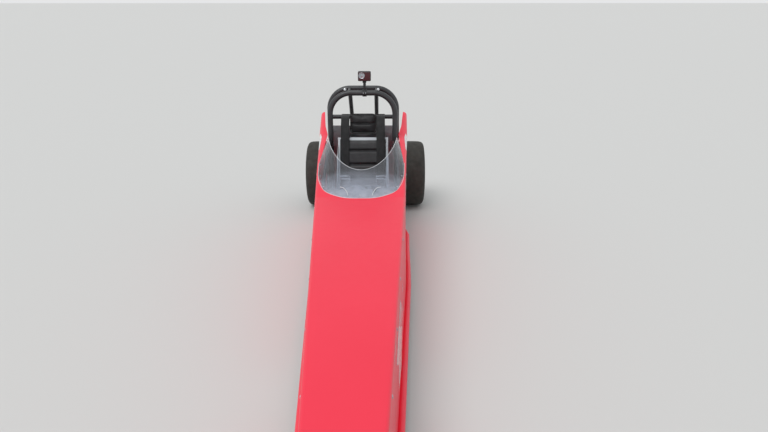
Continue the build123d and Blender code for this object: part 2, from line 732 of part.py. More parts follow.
def cockpit_pieces():
    """Seat, pads, harness, steering wheel and shaft, dash plates and firewall."""
    pieces = {}
    pieces["seat_shell"] = [seat_shell_piece()]

    wall_x = hoop_leg_x(REAR_HOOP_WIDTH) - CAGE_RADIUS - WELD_GAP
    low = RAIL_HEIGHT + UPRIGHT_RADIUS + WELD_GAP
    middle = (low + FIREWALL_TOP) / 2
    firewall = block(0, REAR_HOOP_AHEAD, middle, 2 * wall_x, SKIN, FIREWALL_TOP - low)
    pieces["firewall"] = [firewall]

    rear, axis = steering_axis()
    wheel_plane = Plane(rear, x_dir=(1, 0, 0), z_dir=axis)
    right_edge = [(-x, up) for x, up in GRIP_EDGE]
    grip = FilletPolyline(*right_edge, *reversed(GRIP_EDGE), radius=GRIP_BEND)
    start = Plane(grip @ 0, z_dir=grip % 0)
    rim = sweep(start * Circle(GRIP_RADIUS), path=grip)
    plate = Pos(0, 0, -3) * Box(112, 84, 6)
    hub = Pos(0, 0, -20) * Cylinder(22, 34)
    wheel = wheel_plane * (rim + Pos(0, -12, 0) * plate + hub)
    pieces["steering_wheel"] = [wheel]
    shaft = wheel_plane * (
        Pos(0, 0, -37 - STEERING_SHAFT_LENGTH / 2)
        * Cylinder(STEERING_SHAFT_RADIUS, STEERING_SHAFT_LENGTH)
    )
    pieces["steering_shaft"] = [shaft]
    plates = []
    for ahead in DASH_PLACES:
        reach = (ahead - STEERING_REAR[0]) / axis.Y
        bore = Cylinder(STEERING_SHAFT_RADIUS + RUNNING_GAP, 40)
        ring = Pos(0, 0, -reach) * (Cylinder(20, 24) - bore)
        half = upper_rail_at(ahead)[0]
        top = upper_rail_at(ahead)[1] + 4
        plate = block(0, ahead, top - 50, 2 * half, 3, 100)
        plate -= upper_rail().grown(WELD_GAP)
        plate -= upper_rail().twin().grown(WELD_GAP)
        plate -= wheel_plane * (Pos(0, 0, -reach) * Cylinder(19, 40))
        plate = plate.solids().sort_by(SortBy.VOLUME)[-1]
        plates.append(plate + wheel_plane * ring)
    pieces["dash_panel"] = plates

    rest_width, rest_thick, rest_height = HEAD_REST
    rest_ahead = REAR_HOOP_AHEAD + BRACE_RADIUS + WELD_GAP + rest_thick / 2
    rest = block(0, rest_ahead, HEAD_REST_HEIGHT, rest_width, rest_thick, rest_height, 18)
    pieces["seat_pads"] = [seat_pad_piece(), rest]
    pieces["harness"] = harness_pieces()
    return pieces


# Front end

def front_struts():
    """The left front wheel's three carrier tubes and kingpin boss, and room round the tubes."""
    ahead = WHEELBASE
    boss_low = FRONT_TYRE_RADIUS - KINGPIN_BOSS_HEIGHT / 2
    centre = at(KINGPIN_X, ahead, FRONT_TYRE_RADIUS)
    boss = Pos(*centre) * Cylinder(KINGPIN_BOSS_RADIUS, KINGPIN_BOSS_HEIGHT)
    post = upright(ahead)
    post_x = (post.points[0].X + post.points[1].X) / 2
    # Tubes, one row each: foot x, foot ahead, foot z, head height above the boss's low end.
    rows = (
        (post_x - 12, ahead, 196.0, 70.0),
        (rail_x(ahead), ahead, RAIL_HEIGHT, 46.0),
        (rail_x(ahead - 230), ahead - 230, RAIL_HEIGHT, 52.0),
    )
    tubes = [
        Tube([at(x, place, z), at(KINGPIN_X, ahead, boss_low + head)], UPRIGHT_RADIUS)
        for x, place, z, head in rows
    ]
    rooms = [tube.grown(STRUT_PANEL_GAP) for tube in tubes]
    carrier = boss
    for tube in tubes:
        carrier += tube.grown(0)
    lower_room = lower_rail().grown(WELD_GAP)
    post_room = post.grown(WELD_GAP)
    bore = Pos(*centre) * Cylinder(KINGPIN_RADIUS + RUNNING_GAP, KINGPIN_BOSS_HEIGHT + 20)
    carrier = carrier - lower_room - post_room - bore
    carrier = carrier.solids().sort_by(SortBy.VOLUME)[-1]
    return carrier, rooms


def steering_arm_height():
    """Height of the middle of the steering arm, level with the knuckle's lower ear."""
    return FRONT_TYRE_RADIUS - KINGPIN_BOSS_HEIGHT / 2 - EAR_GAP - EAR / 2


def tie_rod_height():
    """Height of the tie rod, just under the steering arms."""
    return steering_arm_height() - EAR / 2 - EAR_GAP - TIE_EYE_HEIGHT / 2


def tie_rod_room():
    """The space the tie rod sweeps through the side panels, with a moving gap."""
    swing = STEERING_ARM * (1 - math.cos(math.radians(STEER_LOCK)))
    radius = TIE_ROD_RADIUS + swing + MOVING_GAP
    return rod(
        at(-150, WHEELBASE + STEERING_ARM, tie_rod_height()),
        at(150, WHEELBASE + STEERING_ARM, tie_rod_height()),
        radius,
    )


def knuckle_piece():
    """The left knuckle: kingpin, yoke, spindle and steering arm."""
    ahead = WHEELBASE
    centre = at(KINGPIN_X, ahead, FRONT_TYRE_RADIUS)
    half = KINGPIN_BOSS_HEIGHT / 2 + EAR_GAP
    yoke_width = 2 * KINGPIN_BOSS_RADIUS - 4
    knuckle = Pos(*centre) * Cylinder(KINGPIN_RADIUS, 2 * half + 2 * EAR)
    for side in (-1, 1):
        lug = Cylinder(KINGPIN_BOSS_RADIUS, EAR)
        lug += Pos(KINGPIN_BOSS_RADIUS, 0, 0) * Box(2 * KINGPIN_BOSS_RADIUS, yoke_width, EAR)
        knuckle += Pos(*centre) * Pos(0, 0, side * (half + EAR / 2)) * lug
    web_x = KINGPIN_BOSS_RADIUS + 3.0
    web = Pos(web_x + 5, 0, 0) * Box(10, yoke_width, 2 * half + 2 * EAR)
    knuckle += Pos(*centre) * web
    spindle_end = FRONT_TRACK / 2 + 34
    knuckle += rod(
        at(KINGPIN_X + web_x, ahead, FRONT_TYRE_RADIUS),
        at(spindle_end, ahead, FRONT_TYRE_RADIUS),
        SPINDLE_RADIUS,
    )
    arm_z = steering_arm_height()
    knuckle += flat_arm(KINGPIN_X, ahead, TIE_PIN_X, ahead + STEERING_ARM, arm_z, EAR)
    pin_length = 2 * TIE_EYE_HEIGHT
    pin_z = arm_z + EAR / 2 - pin_length / 2
    knuckle += Pos(*at(TIE_PIN_X, ahead + STEERING_ARM, pin_z)) * Cylinder(TIE_PIN_RADIUS, pin_length)
    return knuckle


def flat_arm(x_start, ahead_start, x_end, ahead_end, z, thick):
    """A flat arm with round ends between two upright axes."""
    start = at(x_start, ahead_start, 0)
    end = at(x_end, ahead_end, 0)
    run = end - start
    turn = math.degrees(math.atan2(run.Y, run.X))
    middle = (start + end) * 0.5
    shape = SlotCenterToCenter(run.length, ARM_WIDTH, rotation=turn)
    return Pos(middle.X, middle.Y, z - thick / 2) * extrude(shape, amount=thick)


def tie_rod_piece():
    """The rod between the two steering arms, with an eye at each end."""
    ahead = WHEELBASE + STEERING_ARM
    body = rod(
        at(-TIE_PIN_X + 6, ahead, tie_rod_height()), at(TIE_PIN_X - 6, ahead, tie_rod_height()),
        TIE_ROD_RADIUS,
    )
    for side in (-1, 1):
        centre = at(side * TIE_PIN_X, ahead, tie_rod_height())
        body += Pos(*centre) * Cylinder(TIE_EYE_RADIUS, TIE_EYE_HEIGHT)
    for side in (-1, 1):
        centre = at(side * TIE_PIN_X, ahead, tie_rod_height())
        body -= Pos(*centre) * Cylinder(TIE_PIN_RADIUS + RUNNING_GAP, 2 * TIE_EYE_HEIGHT)
    return body


def front_wheel_pieces():
    """The left front wheel: a spun disc wheel and its narrow slick tyre."""
    x = FRONT_TRACK / 2
    z = FRONT_TYRE_RADIUS
    rim = FRONT_TYRE_RADIUS - 32
    hub_half = 27.0
    bore = SPINDLE_RADIUS + RUNNING_GAP
    disc = turned(
        [
            (-hub_half, bore), (-hub_half, 24), (-20, 34), (-9, rim - 30), (-16, rim - 8),
            (-16, rim), (16, rim), (16, rim - 8), (9, rim - 30), (20, 34), (hub_half, 24),
            (hub_half, bore),
        ],
        x, WHEELBASE, z,
    )
    half = FRONT_TYRE_WIDTH / 2
    radius = FRONT_TYRE_RADIUS
    profile = [
        (-16, rim + WELD_GAP), (-half + 2, rim + 8), (-half, radius - 16), (-half + 8, radius - 4),
        (-9, radius), (9, radius), (half - 8, radius - 4), (half, radius - 16),
        (half - 2, rim + 8), (16, rim + WELD_GAP),
    ]
    tyre = turned(profile, x, WHEELBASE, z)
    return disc, tyre


# Rear axle

def rear_wheel_pieces():
    """The left rear wheel and its wide slick tyre."""
    x = REAR_TRACK / 2
    z = REAR_TYRE_RADIUS
    rim = REAR_RIM_RADIUS
    half = REAR_TYRE_WIDTH / 2
    bead_half = half - 8
    wheel = turned(
        [
            (-14, AXLE_RADIUS + WELD_GAP), (-14, 40), (-6, 44), (-6, rim - 22),
            (-bead_half, rim - 8), (-bead_half, rim + 10), (-bead_half + 3, rim + 10),
            (-bead_half + 4, rim), (bead_half - 4, rim), (bead_half - 3, rim + 10),
            (bead_half, rim + 10), (bead_half, rim - 8), (4, rim - 22), (4, 44), (14, 40),
            (14, AXLE_RADIUS + WELD_GAP),
        ],
        x, 0, z,
    )
    radius = REAR_TYRE_RADIUS
    tyre = turned(
        [
            (-bead_half + 5, rim + WELD_GAP), (-bead_half - 1 + 5, rim + 11),
            (-half + 1, rim + 20), (-half, radius - 55), (-half + 6, radius - 22),
            (-half + 24, radius - 5), (-half + 45, radius), (half - 45, radius),
            (half - 24, radius - 5), (half - 6, radius - 22), (half, radius - 55),
            (half - 1, rim + 20), (bead_half - 4, rim + 11), (bead_half - 5, rim + WELD_GAP),
        ],
        x, 0, z,
    )
    return wheel, tyre


def ring_of_holes(count, ring_radius, hole_radius, phase=0.0):
    """Round holes spaced evenly on a circle, as one flat cutter."""
    return [
        Pos(
            ring_radius * math.cos(2 * math.pi * index / count + phase),
            ring_radius * math.sin(2 * math.pi * index / count + phase),
        ) * Circle(hole_radius)
        for index in range(count)
    ]


def sprocket(teeth, thick, x, ahead, z, bore, windows=()):
    """A chain sprocket: a disc with a round seat for each roller, and lightening holes."""
    pitch_radius = CHAIN_PITCH / (2 * math.sin(math.pi / teeth))
    disc = Circle(pitch_radius + 2.2) - Circle(bore)
    for hole in ring_of_holes(teeth, pitch_radius, ROLLER_RADIUS) + list(windows):
        disc -= hole
    solid = Pos(0, 0, -thick / 2) * extrude(disc, amount=thick)
    return Pos(*at(x, ahead, z)) * Rot(0, 90, 0) * solid


def loop_band(x, width, first, second, thick):
    """A closed band round two pulleys; first and second are (ahead, z, radius)."""
    def outline(extra):
        (s1, z1, r1), (s2, z2, r2) = first, second
        gap = math.hypot(s2 - s1, z2 - z1)
        base = math.atan2(z2 - z1, s2 - s1)
        lean = math.acos((r1 - r2) / gap)
        edges = []
        ends = []
        for side in (1, -1):
            turn = base + side * lean
            direction = Vector(math.cos(turn), math.sin(turn))
            ends.append((
                Vector(s1, z1) + direction * (r1 + extra),
                Vector(s2, z2) + direction * (r2 + extra),
            ))
            edges.append(Line(*ends[-1]))
        away = Vector(math.cos(base), math.sin(base))
        edges.append(ThreePointArc(ends[0][0], Vector(s1, z1) - away * (r1 + extra), ends[1][0]))
        edges.append(ThreePointArc(ends[0][1], Vector(s2, z2) + away * (r2 + extra), ends[1][1]))
        return make_face(edges)

    plane = Plane(at(x - width / 2, 0, 0), x_dir=(0, -1, 0), z_dir=(-1, 0, 0))
    return extrude(plane * (outline(thick) - outline(0)), amount=-width)


def pulley(x, ahead, z, radius, bore, groove_radius):
    """Two cone-faced sheaves on one hub."""
    half = BELT_WIDTH / 2
    flare = 7.0
    return turned(
        [
            (-half - flare - 6, bore), (-half - flare - 6, 26), (-half - flare - 4, radius),
            (-half - flare, radius), (-half - 0.6, groove_radius), (-half - 0.6, 24),
            (half + 0.6, 24), (half + 0.6, groove_radius), (half + flare, radius),
            (half + flare + 4, radius), (half + flare + 6, 26), (half + flare + 6, bore),
        ],
        x, ahead, z,
    )


def axle_pieces():
    """The live axle with its sprocket and brake disc, and what carries it."""
    pieces = {}
    end = REAR_TRACK / 2 + 40
    pieces["rear_axle"] = [across(0, 0, REAR_TYRE_RADIUS, AXLE_RADIUS, 2 * end)]
    bore = AXLE_RADIUS + WELD_GAP
    windows = ring_of_holes(6, 61.0, 15.0)
    big = sprocket(AXLE_TEETH, 4.2, CHAIN_X, 0, REAR_TYRE_RADIUS, bore, windows)
    hub = across(CHAIN_X - 17.1, 0, REAR_TYRE_RADIUS, 30, 30) - across(
        CHAIN_X - 17.1, 0, REAR_TYRE_RADIUS, bore, 40)
    pieces["axle_sprocket"] = [big + hub]
    disc = Circle(BRAKE_DISC_RADIUS) - Circle(bore)
    for ring_radius, phase in ((64.0, 0.0), (76.0, math.pi / 16)):
        for hole in ring_of_holes(16, ring_radius, 3.5, phase):
            disc -= hole
    for hole in ring_of_holes(6, 43.0, 8.0):
        disc -= hole
    disc = extrude(disc, amount=BRAKE_DISC_THICK / 2, both=True)
    disc = Pos(*at(BRAKE_DISC_X, 0, REAR_TYRE_RADIUS)) * Rot(0, 90, 0) * disc
    hub_x = BRAKE_DISC_X + BRAKE_DISC_THICK / 2 + 15
    disc_hub = across(hub_x, 0, REAR_TYRE_RADIUS, 28, 30)
    disc_hub -= across(hub_x, 0, REAR_TYRE_RADIUS, bore, 40)
    pieces["brake_disc"] = [disc + disc_hub]

    low = RAIL_HEIGHT + RAIL_RADIUS + WELD_GAP
    plate = block(REAR_RAIL_X, 0, (low + REAR_RAIL_HIGH) / 2, 8, 90, REAR_RAIL_HIGH - low)
    plate = (plate - rear_rail().grown(WELD_GAP)).solids().sort_by(SortBy.VOLUME)[-1]
    plate += across(REAR_RAIL_X, 0, REAR_TYRE_RADIUS, BEARING_RADIUS, 26)
    # A lightening hole half as high as the room below the bearing, and one above it
    rooms = (
        (low, REAR_TYRE_RADIUS - BEARING_RADIUS),
        (REAR_TYRE_RADIUS + BEARING_RADIUS, rear_rail_height(0) - RAIL_RADIUS),
    )
    for bottom, top in rooms:
        plate -= across(REAR_RAIL_X, 0, (bottom + top) / 2, (top - bottom) / 4, 20)
    plate -= across(REAR_RAIL_X, 0, REAR_TYRE_RADIUS, AXLE_RADIUS + RUNNING_GAP, 60)
    pieces["axle_carriers"] = [plate, mirrored(plate)]

    caliper = block(BRAKE_DISC_X, -86, REAR_TYRE_RADIUS + 12, 44, 46, 70, 4)
    bracket_top = rear_rail_height(TAIL_TUBE_AHEAD) - RAIL_RADIUS - WELD_GAP
    bracket_low = REAR_TYRE_RADIUS - 10
    bracket_middle = (bracket_top + bracket_low) / 2
    caliper += block(BRAKE_DISC_X, -124, bracket_middle, 30, 36, bracket_top - bracket_low)
    caliper -= block(BRAKE_DISC_X, -70, REAR_TYRE_RADIUS, BRAKE_DISC_THICK + 4, 60, 200)
    caliper -= tail_bar().grown(WELD_GAP)
    pieces["brake_caliper"] = [caliper.solids().sort_by(SortBy.VOLUME)[-1]]
    return pieces


# Engine and drive

def engine_pieces():
    """Engine, clutch, belt, jackshaft, chain, exhaust, carburettor, tank and their carriers."""
    pieces = {}
    plate_low = RAIL_HEIGHT + UPRIGHT_RADIUS + WELD_GAP
    plate_thick = 8.0
    plate_rear = JACKSHAFT_AHEAD - 30
    plate_front = 445.0
    middle = (plate_rear + plate_front) / 2
    plate = block(0, middle, plate_low + plate_thick / 2, 260, plate_front - plate_rear, plate_thick)
    pieces["engine_plate"] = [plate]
    base = plate_low + plate_thick
    case_top = 300.0
    case = block(0, CRANK_AHEAD, (base + case_top) / 2, 150, 170, case_top - base, 22)
    case += across(0, CRANK_AHEAD, CRANK_HEIGHT, CRANK_RADIUS, 292)
    pieces["crankcase"] = [case]

    cylinder_top = 430.0
    cylinder = Pos(*at(0, CRANK_AHEAD, (case_top + cylinder_top) / 2)) * Cylinder(
        42, cylinder_top - case_top)
    for index in range(7):
        z = case_top + 16 + index * 16
        cylinder += block(0, CRANK_AHEAD, z, 126, 126, 5, 16)
    head = block(0, CRANK_AHEAD, cylinder_top + 10, 126, 126, 20, 16)
    for index in range(7):
        x = -48 + index * 16
        head += block(x, CRANK_AHEAD, cylinder_top + 32, 5, 118, 28)
    pieces["cylinder"] = [cylinder + head]

    cover = across(-98, CRANK_AHEAD, CRANK_HEIGHT, 84, 45)
    cover -= across(-98, CRANK_AHEAD, CRANK_HEIGHT, CRANK_RADIUS + WELD_GAP, 80)
    pieces["flywheel_cover"] = [cover]

    pieces["drive_clutch"] = [
        pulley(BELT_X, CRANK_AHEAD, CRANK_HEIGHT, PRIMARY_RADIUS, CRANK_RADIUS + WELD_GAP,
               PRIMARY_GROOVE)
    ]
    pieces["driven_pulley"] = [
        pulley(BELT_X, JACKSHAFT_AHEAD, JACKSHAFT_HEIGHT, SECONDARY_RADIUS,
               JACKSHAFT_RADIUS + WELD_GAP, SECONDARY_GROOVE)
    ]
    jackshaft = across(60, JACKSHAFT_AHEAD, JACKSHAFT_HEIGHT, JACKSHAFT_RADIUS, 178)
    jackshaft += sprocket(
        JACKSHAFT_TEETH, 4.2, CHAIN_X, JACKSHAFT_AHEAD, JACKSHAFT_HEIGHT, JACKSHAFT_RADIUS - 1)
    pieces["jackshaft"] = [jackshaft]
    primary = (CRANK_AHEAD, CRANK_HEIGHT, PRIMARY_GROOVE + BELT_GAP)
    secondary = (JACKSHAFT_AHEAD, JACKSHAFT_HEIGHT, SECONDARY_GROOVE + BELT_GAP)
    pieces["drive_belt"] = [loop_band(BELT_X, BELT_WIDTH, primary, secondary, BELT_THICK)]

    big = CHAIN_PITCH / (2 * math.sin(math.pi / AXLE_TEETH)) - 3
    small = CHAIN_PITCH / (2 * math.sin(math.pi / JACKSHAFT_TEETH)) - 3
    axle = (0.0, REAR_TYRE_RADIUS, big)
    jack = (JACKSHAFT_AHEAD, JACKSHAFT_HEIGHT, small)
    plates = [
        loop_band(CHAIN_X + side * 3.2, 1.6, axle, jack, 6.5) for side in (-1, 1)
    ]
    pieces["chain"] = plates

    stand = []
    stand_low = base + WELD_GAP
    stand_top = JACKSHAFT_HEIGHT + 22
    for x in (-15.0, 86.0):
        middle = (stand_low + stand_top) / 2
        web = block(x, JACKSHAFT_AHEAD, middle, 10, 44, stand_top - stand_low)
        web -= across(x, JACKSHAFT_AHEAD, JACKSHAFT_HEIGHT, JACKSHAFT_RADIUS + RUNNING_GAP, 30)
        stand.append(web)
    pieces["engine_plate"] += stand

    header = bar(
        [
            at(0, CRANK_AHEAD - 63.3, 392), at(0, CRANK_AHEAD - 110, 392),
            at(-70, 150, 430), at(-120, 20, 470), at(-135, -100, 500),
        ],
        15, 40,
    )
    header += Pos(*at(0, CRANK_AHEAD - 66.3, 392)) * Box(58, 6, 44)
    pieces["exhaust_pipe"] = [header]
    intake_z = 395.0
    carb = across(-83.6, CRANK_AHEAD, intake_z, 20, 40)
    carb += across(-66.1, CRANK_AHEAD, intake_z, 29, 5)
    carb += block(-118, CRANK_AHEAD, intake_z + 4, 34, 46, 58, 6)
    carb += Pos(*at(-118, CRANK_AHEAD, intake_z - 34)) * Cylinder(19, 24)
    carb += across(-148, CRANK_AHEAD, intake_z, 30, 26)
    pieces["carburettor"] = [carb]

    tank = across(0, REAR_HOOP_AHEAD - SKIN / 2 - WELD_GAP - 55, 600, 55, 230)
    pieces["fuel_tank"] = [tank]
    return pieces


def camera_pieces():
    """The small onboard camera and the clamp that holds it on the cage."""
    pieces = {}
    hoop_z = FRONT_HOOP_TOP - CAGE_RADIUS
    clamp = across(CAMERA_X, FRONT_HOOP_AHEAD, hoop_z, CAGE_RADIUS + 5, 24)
    clamp -= across(CAMERA_X, FRONT_HOOP_AHEAD, hoop_z, CAGE_RADIUS + WELD_GAP, 40)
    stem_foot = FRONT_HOOP_TOP + 2
    clamp += block(
        CAMERA_X, FRONT_HOOP_AHEAD, stem_foot + CAMERA_STEM / 2, 16, 16, CAMERA_STEM)
    width, depth, height = CAMERA_CASE
    case_z = stem_foot + CAMERA_STEM + WELD_GAP + height / 2
    case = block(CAMERA_X, FRONT_HOOP_AHEAD, case_z, width, depth, height, 8)
    pieces["onboard_camera"] = [clamp, case]
    return pieces


def whole_car():
    """Every node of the car, as lists of solids."""
    pieces = frame_pieces()
    struts, rooms = front_struts()
    panel_room = tie_rod_room()
    for room in rooms:
        panel_room += room
    pieces.update(body_pieces(panel_room))
    pieces["windscreen"] = [windscreen_piece()]
    pieces.update(cockpit_pieces())
    pieces["front_struts"] = [struts, mirrored(struts)]
    knuckle = knuckle_piece()
    disc, tyre = front_wheel_pieces()
    wheel, slick = rear_wheel_pieces()
    left_parts = {
        "knuckle": knuckle,
        "front_wheel": disc,
        "front_tyre": tyre,
        "rear_tyre": slick,
    }
    for name, solid in left_parts.items():
        pieces[name + "_left"] = [solid]
        pieces[name + "_right"] = [mirrored(solid)]
    pieces["rear_wheels"] = [wheel, mirrored(wheel)]
    pieces["tie_rod"] = [tie_rod_piece()]
    pieces["tail_tabs"] = tail_tabs()
    pieces.update(axle_pieces())
    pieces.update(engine_pieces())
    pieces.update(camera_pieces())
    return pieces


def solids_of(item):
    """The plain solids of a piece, whatever it is wrapped in."""
    return list(item.solids())


def main():
    os.makedirs("parts", exist_ok=True)
    for name, items in whole_car().items():
        solids = [solid for item in items for solid in solids_of(item)]
        shape = solids[0] if len(solids) == 1 else Compound(children=solids)
        export_step(shape, os.path.join("parts", name + ".step"))


main()
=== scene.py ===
"""The looks of a junior drag racing car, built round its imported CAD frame.

The car stands with its nose towards -Y, its left side towards +X and +Z up. Lengths in the
code are metres unless a name ends in _mm. Places along the car are written as "ahead", the
distance in millimetres in front of the rear axle, as in the part's own source.
"""
import json
import logging
import math
from collections.abc import Callable, Iterable, Sequence
from dataclasses import dataclass, field
from enum import Enum
from typing import Any

import bmesh
import bpy
from mathutils import Matrix, Vector
from mathutils.bvhtree import BVHTree

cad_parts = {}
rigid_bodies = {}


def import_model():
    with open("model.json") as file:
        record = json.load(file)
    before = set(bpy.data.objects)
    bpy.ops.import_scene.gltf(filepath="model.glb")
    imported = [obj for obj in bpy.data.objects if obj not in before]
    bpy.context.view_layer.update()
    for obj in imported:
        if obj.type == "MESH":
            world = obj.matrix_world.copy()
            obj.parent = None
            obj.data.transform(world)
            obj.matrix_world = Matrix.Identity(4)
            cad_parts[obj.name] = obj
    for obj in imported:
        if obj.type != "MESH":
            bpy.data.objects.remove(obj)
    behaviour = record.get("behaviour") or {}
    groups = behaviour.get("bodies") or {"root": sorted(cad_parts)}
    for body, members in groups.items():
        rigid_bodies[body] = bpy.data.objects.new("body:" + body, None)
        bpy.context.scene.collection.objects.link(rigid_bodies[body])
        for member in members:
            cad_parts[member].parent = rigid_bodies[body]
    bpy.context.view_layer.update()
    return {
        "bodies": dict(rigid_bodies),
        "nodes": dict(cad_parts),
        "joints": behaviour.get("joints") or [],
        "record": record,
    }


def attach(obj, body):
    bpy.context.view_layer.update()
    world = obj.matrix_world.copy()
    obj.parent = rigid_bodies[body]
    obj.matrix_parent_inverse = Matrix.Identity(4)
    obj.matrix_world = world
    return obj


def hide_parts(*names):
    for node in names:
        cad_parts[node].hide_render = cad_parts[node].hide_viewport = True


LOG = logging.getLogger("drag_car")
MM = 0.001

# Places shared with the part's source, in millimetres.
WHEELBASE = 3810.0
REAR_AXLE_Y = 2000.7
REAR_TYRE_RADIUS = 228.6
FRONT_TYRE_RADIUS = 250.0
AXLE = (0.0, REAR_TYRE_RADIUS)
SPINDLES = (WHEELBASE, FRONT_TYRE_RADIUS)
CHAIN_PITCH = 9.525
BODY_STATIONS = (
    # ahead, half width, top height, shoulder radius
    (350.0, 272.0, 740.0, 24.0),
    (520.0, 268.0, 687.0, 36.0),
    (620.0, 264.0, 656.0, 52.0),
    (950.0, 246.0, 572.0, 14.0),
    (1285.0, 229.0, 488.0, 14.0),
    (3960.0, 51.0, 239.0, 14.0),
)
FOOT_LINE = (
    # ahead, distance of the lower rail outside the body's half width
    (350.0, -24.0), (700.0, -24.0), (840.0, 10.0), (1110.0, 15.0), (1500.0, 26.0), (3960.0, 26.0))
RAIL_TURNS = (325.0, 700.0, 840.0, 950.0, 1110.0, 1285.0, 1500.0, 3960.0)
RAIL_HEIGHT = 94.0
RAIL_RADIUS = 11.0
CAGE_RADIUS = 12.9
BRACE_RADIUS = 8.0
TAIL_TAB_AHEAD = -139.0
REAR_RAIL_X = 170.0
BEAD_RADIUS = 13.6
HOOD_CORNER = 14.0
NOSE_SEAM = 3960.3
NOSE_TIP = 4230.0
SCREEN_ROWS = (
    # ahead, half width at the foot, foot above the body's top, arch above the foot
    (1296.0, 52.0, 1.2, 3.0), (1278.0, 112.0, 1.2, 5.5), (1240.0, 172.0, 1.2, 11.0),
    (1190.0, 203.0, 1.2, 19.0), (1100.0, 227.0, 1.2, 36.0), (950.0, 236.0, 1.2, 66.0),
    (690.0, 211.0, 2.0, 119.0))
SCREEN_CUT = (204.0, 490.0)
SCREEN_CUT_AHEAD = 600.0
HOOP_TUBE = 15.9
SHOULDER_BAR_HEIGHT = 744.0
FRONT_HOOP = (660.0, 927.0, 412.0)
REAR_HOOP = (520.0, 932.0, 436.0)


# Directions of the car.
LEFT = Vector((1.0, 0.0, 0.0))
UP = Vector((0.0, 0.0, 1.0))
DOWN = -UP
FORWARD = Vector((0.0, -1.0, 0.0))
REARWARD = -FORWARD

Spot = tuple[Vector, Vector]


class Body(Enum):
    """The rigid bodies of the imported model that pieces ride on."""

    CHASSIS = "chassis"
    REAR_AXLE = "rear_axle"
    JACKSHAFT = "jackshaft"
    KNUCKLE_LEFT = "knuckle_left"
    KNUCKLE_RIGHT = "knuckle_right"
    FRONT_LEFT = "front_wheel_left"
    FRONT_RIGHT = "front_wheel_right"
    STEERING = "steering"


class Side(Enum):
    """The car's two sides, with the sign of X on each."""

    LEFT = 1
    RIGHT = -1


def at(x: float, ahead: float, z: float) -> Vector:
    """Turn a place in the part's millimetres into a point of the scene.

    Args:
        x: Distance to the car's left.
        ahead: Distance in front of the rear axle.
        z: Height above the ground.

    Returns:
        The point in metres.
    """
    return Vector((x, REAR_AXLE_Y - ahead, z)) * MM


def between_rows(table: Sequence[tuple[float, ...]], place: float) -> list[float]:
    """Read the columns after the first off a table sorted by its first column.

    Args:
        table: Rows whose first column rises or falls steadily.
        place: The value to look up in the first column.

    Returns:
        The other columns' values there.
    """
    rows = sorted(table)
    near, far = rows[0], rows[1]
    for near, far in zip(rows, rows[1:]):
        if place <= far[0]:
            break
    share = (place - near[0]) / (far[0] - near[0])
    return [a + share * (b - a) for a, b in zip(near[1:], far[1:])]


def body_at(ahead: float) -> tuple[float, float, float]:
    """Read the body's half width, top height and shoulder radius at one place along it."""
    half, top, shoulder = between_rows(BODY_STATIONS, ahead)
    return half, top, shoulder


def rail_x(ahead: float) -> float:
    """Give a lower rail's distance from the middle of the car, in millimetres.

    Args:
        ahead: Millimetres ahead of the rear axle.

    Returns:
        The distance.
    """
    line = [(-150.0, REAR_RAIL_X), (175.0, REAR_RAIL_X)]
    line += [(place, body_at(place)[0] + between_rows(FOOT_LINE, place)[0]) for place in RAIL_TURNS]
    return between_rows(line, ahead)[0]


def wall_point(ahead: float, z: float, side: Side, lift_mm: float = 0.0) -> Vector:
    """Find a point on a side panel's leaning wall.

    Args:
        ahead: Distance in front of the rear axle, in millimetres.
        z: Height above the ground.
        side: Which side of the car.
        lift_mm: How far the point stands off the wall.

    Returns:
        The point in metres.
    """
    half, top, shoulder = body_at(ahead)
    turn = math.radians(140.0)
    foot_x = rail_x(ahead) + BEAD_RADIUS * math.cos(turn)
    foot_z = RAIL_HEIGHT + BEAD_RADIUS * math.sin(turn)
    share = (top - shoulder - z) / (top - shoulder - foot_z)
    return at(side.value * (half + share * (foot_x - half) + lift_mm), ahead, z)


def screen_point(ahead: float, x: float, lift_mm: float = 0.0) -> Vector:
    """Find a point on the outer face of the windscreen.

    Args:
        ahead: Distance in front of the rear axle, in millimetres.
        x: Distance to the car's left.
        lift_mm: How far the point stands above the sheet.

    Returns:
        The point in metres.
    """
    half, lift, rise = between_rows(SCREEN_ROWS, ahead)
    bow = (half * half + rise * rise) / (2 * rise)
    x = max(-half, min(half, x))
    foot = body_at(ahead)[1] + lift
    return at(x, ahead, foot + rise - bow + math.sqrt(bow * bow - x * x) + lift_mm)


def colour(code: str) -> tuple[float, float, float, float]:
    """Turn an sRGB hex colour into linear red, green, blue and alpha.

    Args:
        code: The colour as #RRGGBB.

    Returns:
        The four linear values.
    """
    parts = [int(code[i:i + 2], 16) / 255 for i in (1, 3, 5)]
    linear = [c / 12.92 if c <= 0.04045 else ((c + 0.055) / 1.055) ** 2.4 for c in parts]
    return (*linear, 1.0)


def add(
    tree: bpy.types.NodeTree,
    kind: str,
    inputs: dict[str | int, Any] | None = None,
    **settings: Any,
) -> bpy.types.Node:
    """Add a node with its settings, values and links.

    Args:
        tree: The node tree that gets the node.
        kind: The node's type name.
        inputs: Values or output sockets, keyed by the input's name or number.
        settings: Properties of the node itself.

    Returns:
        The new node.
    """
    made = tree.nodes.new(kind)
    for name, value in settings.items():
        setattr(made, name, value)
    for key, value in (inputs or {}).items():
        if isinstance(value, bpy.types.NodeSocket):
            tree.links.new(value, made.inputs[key])
        else:
            made.inputs[key].default_value = value
    return made


# Finishes

Socket = bpy.types.NodeSocket


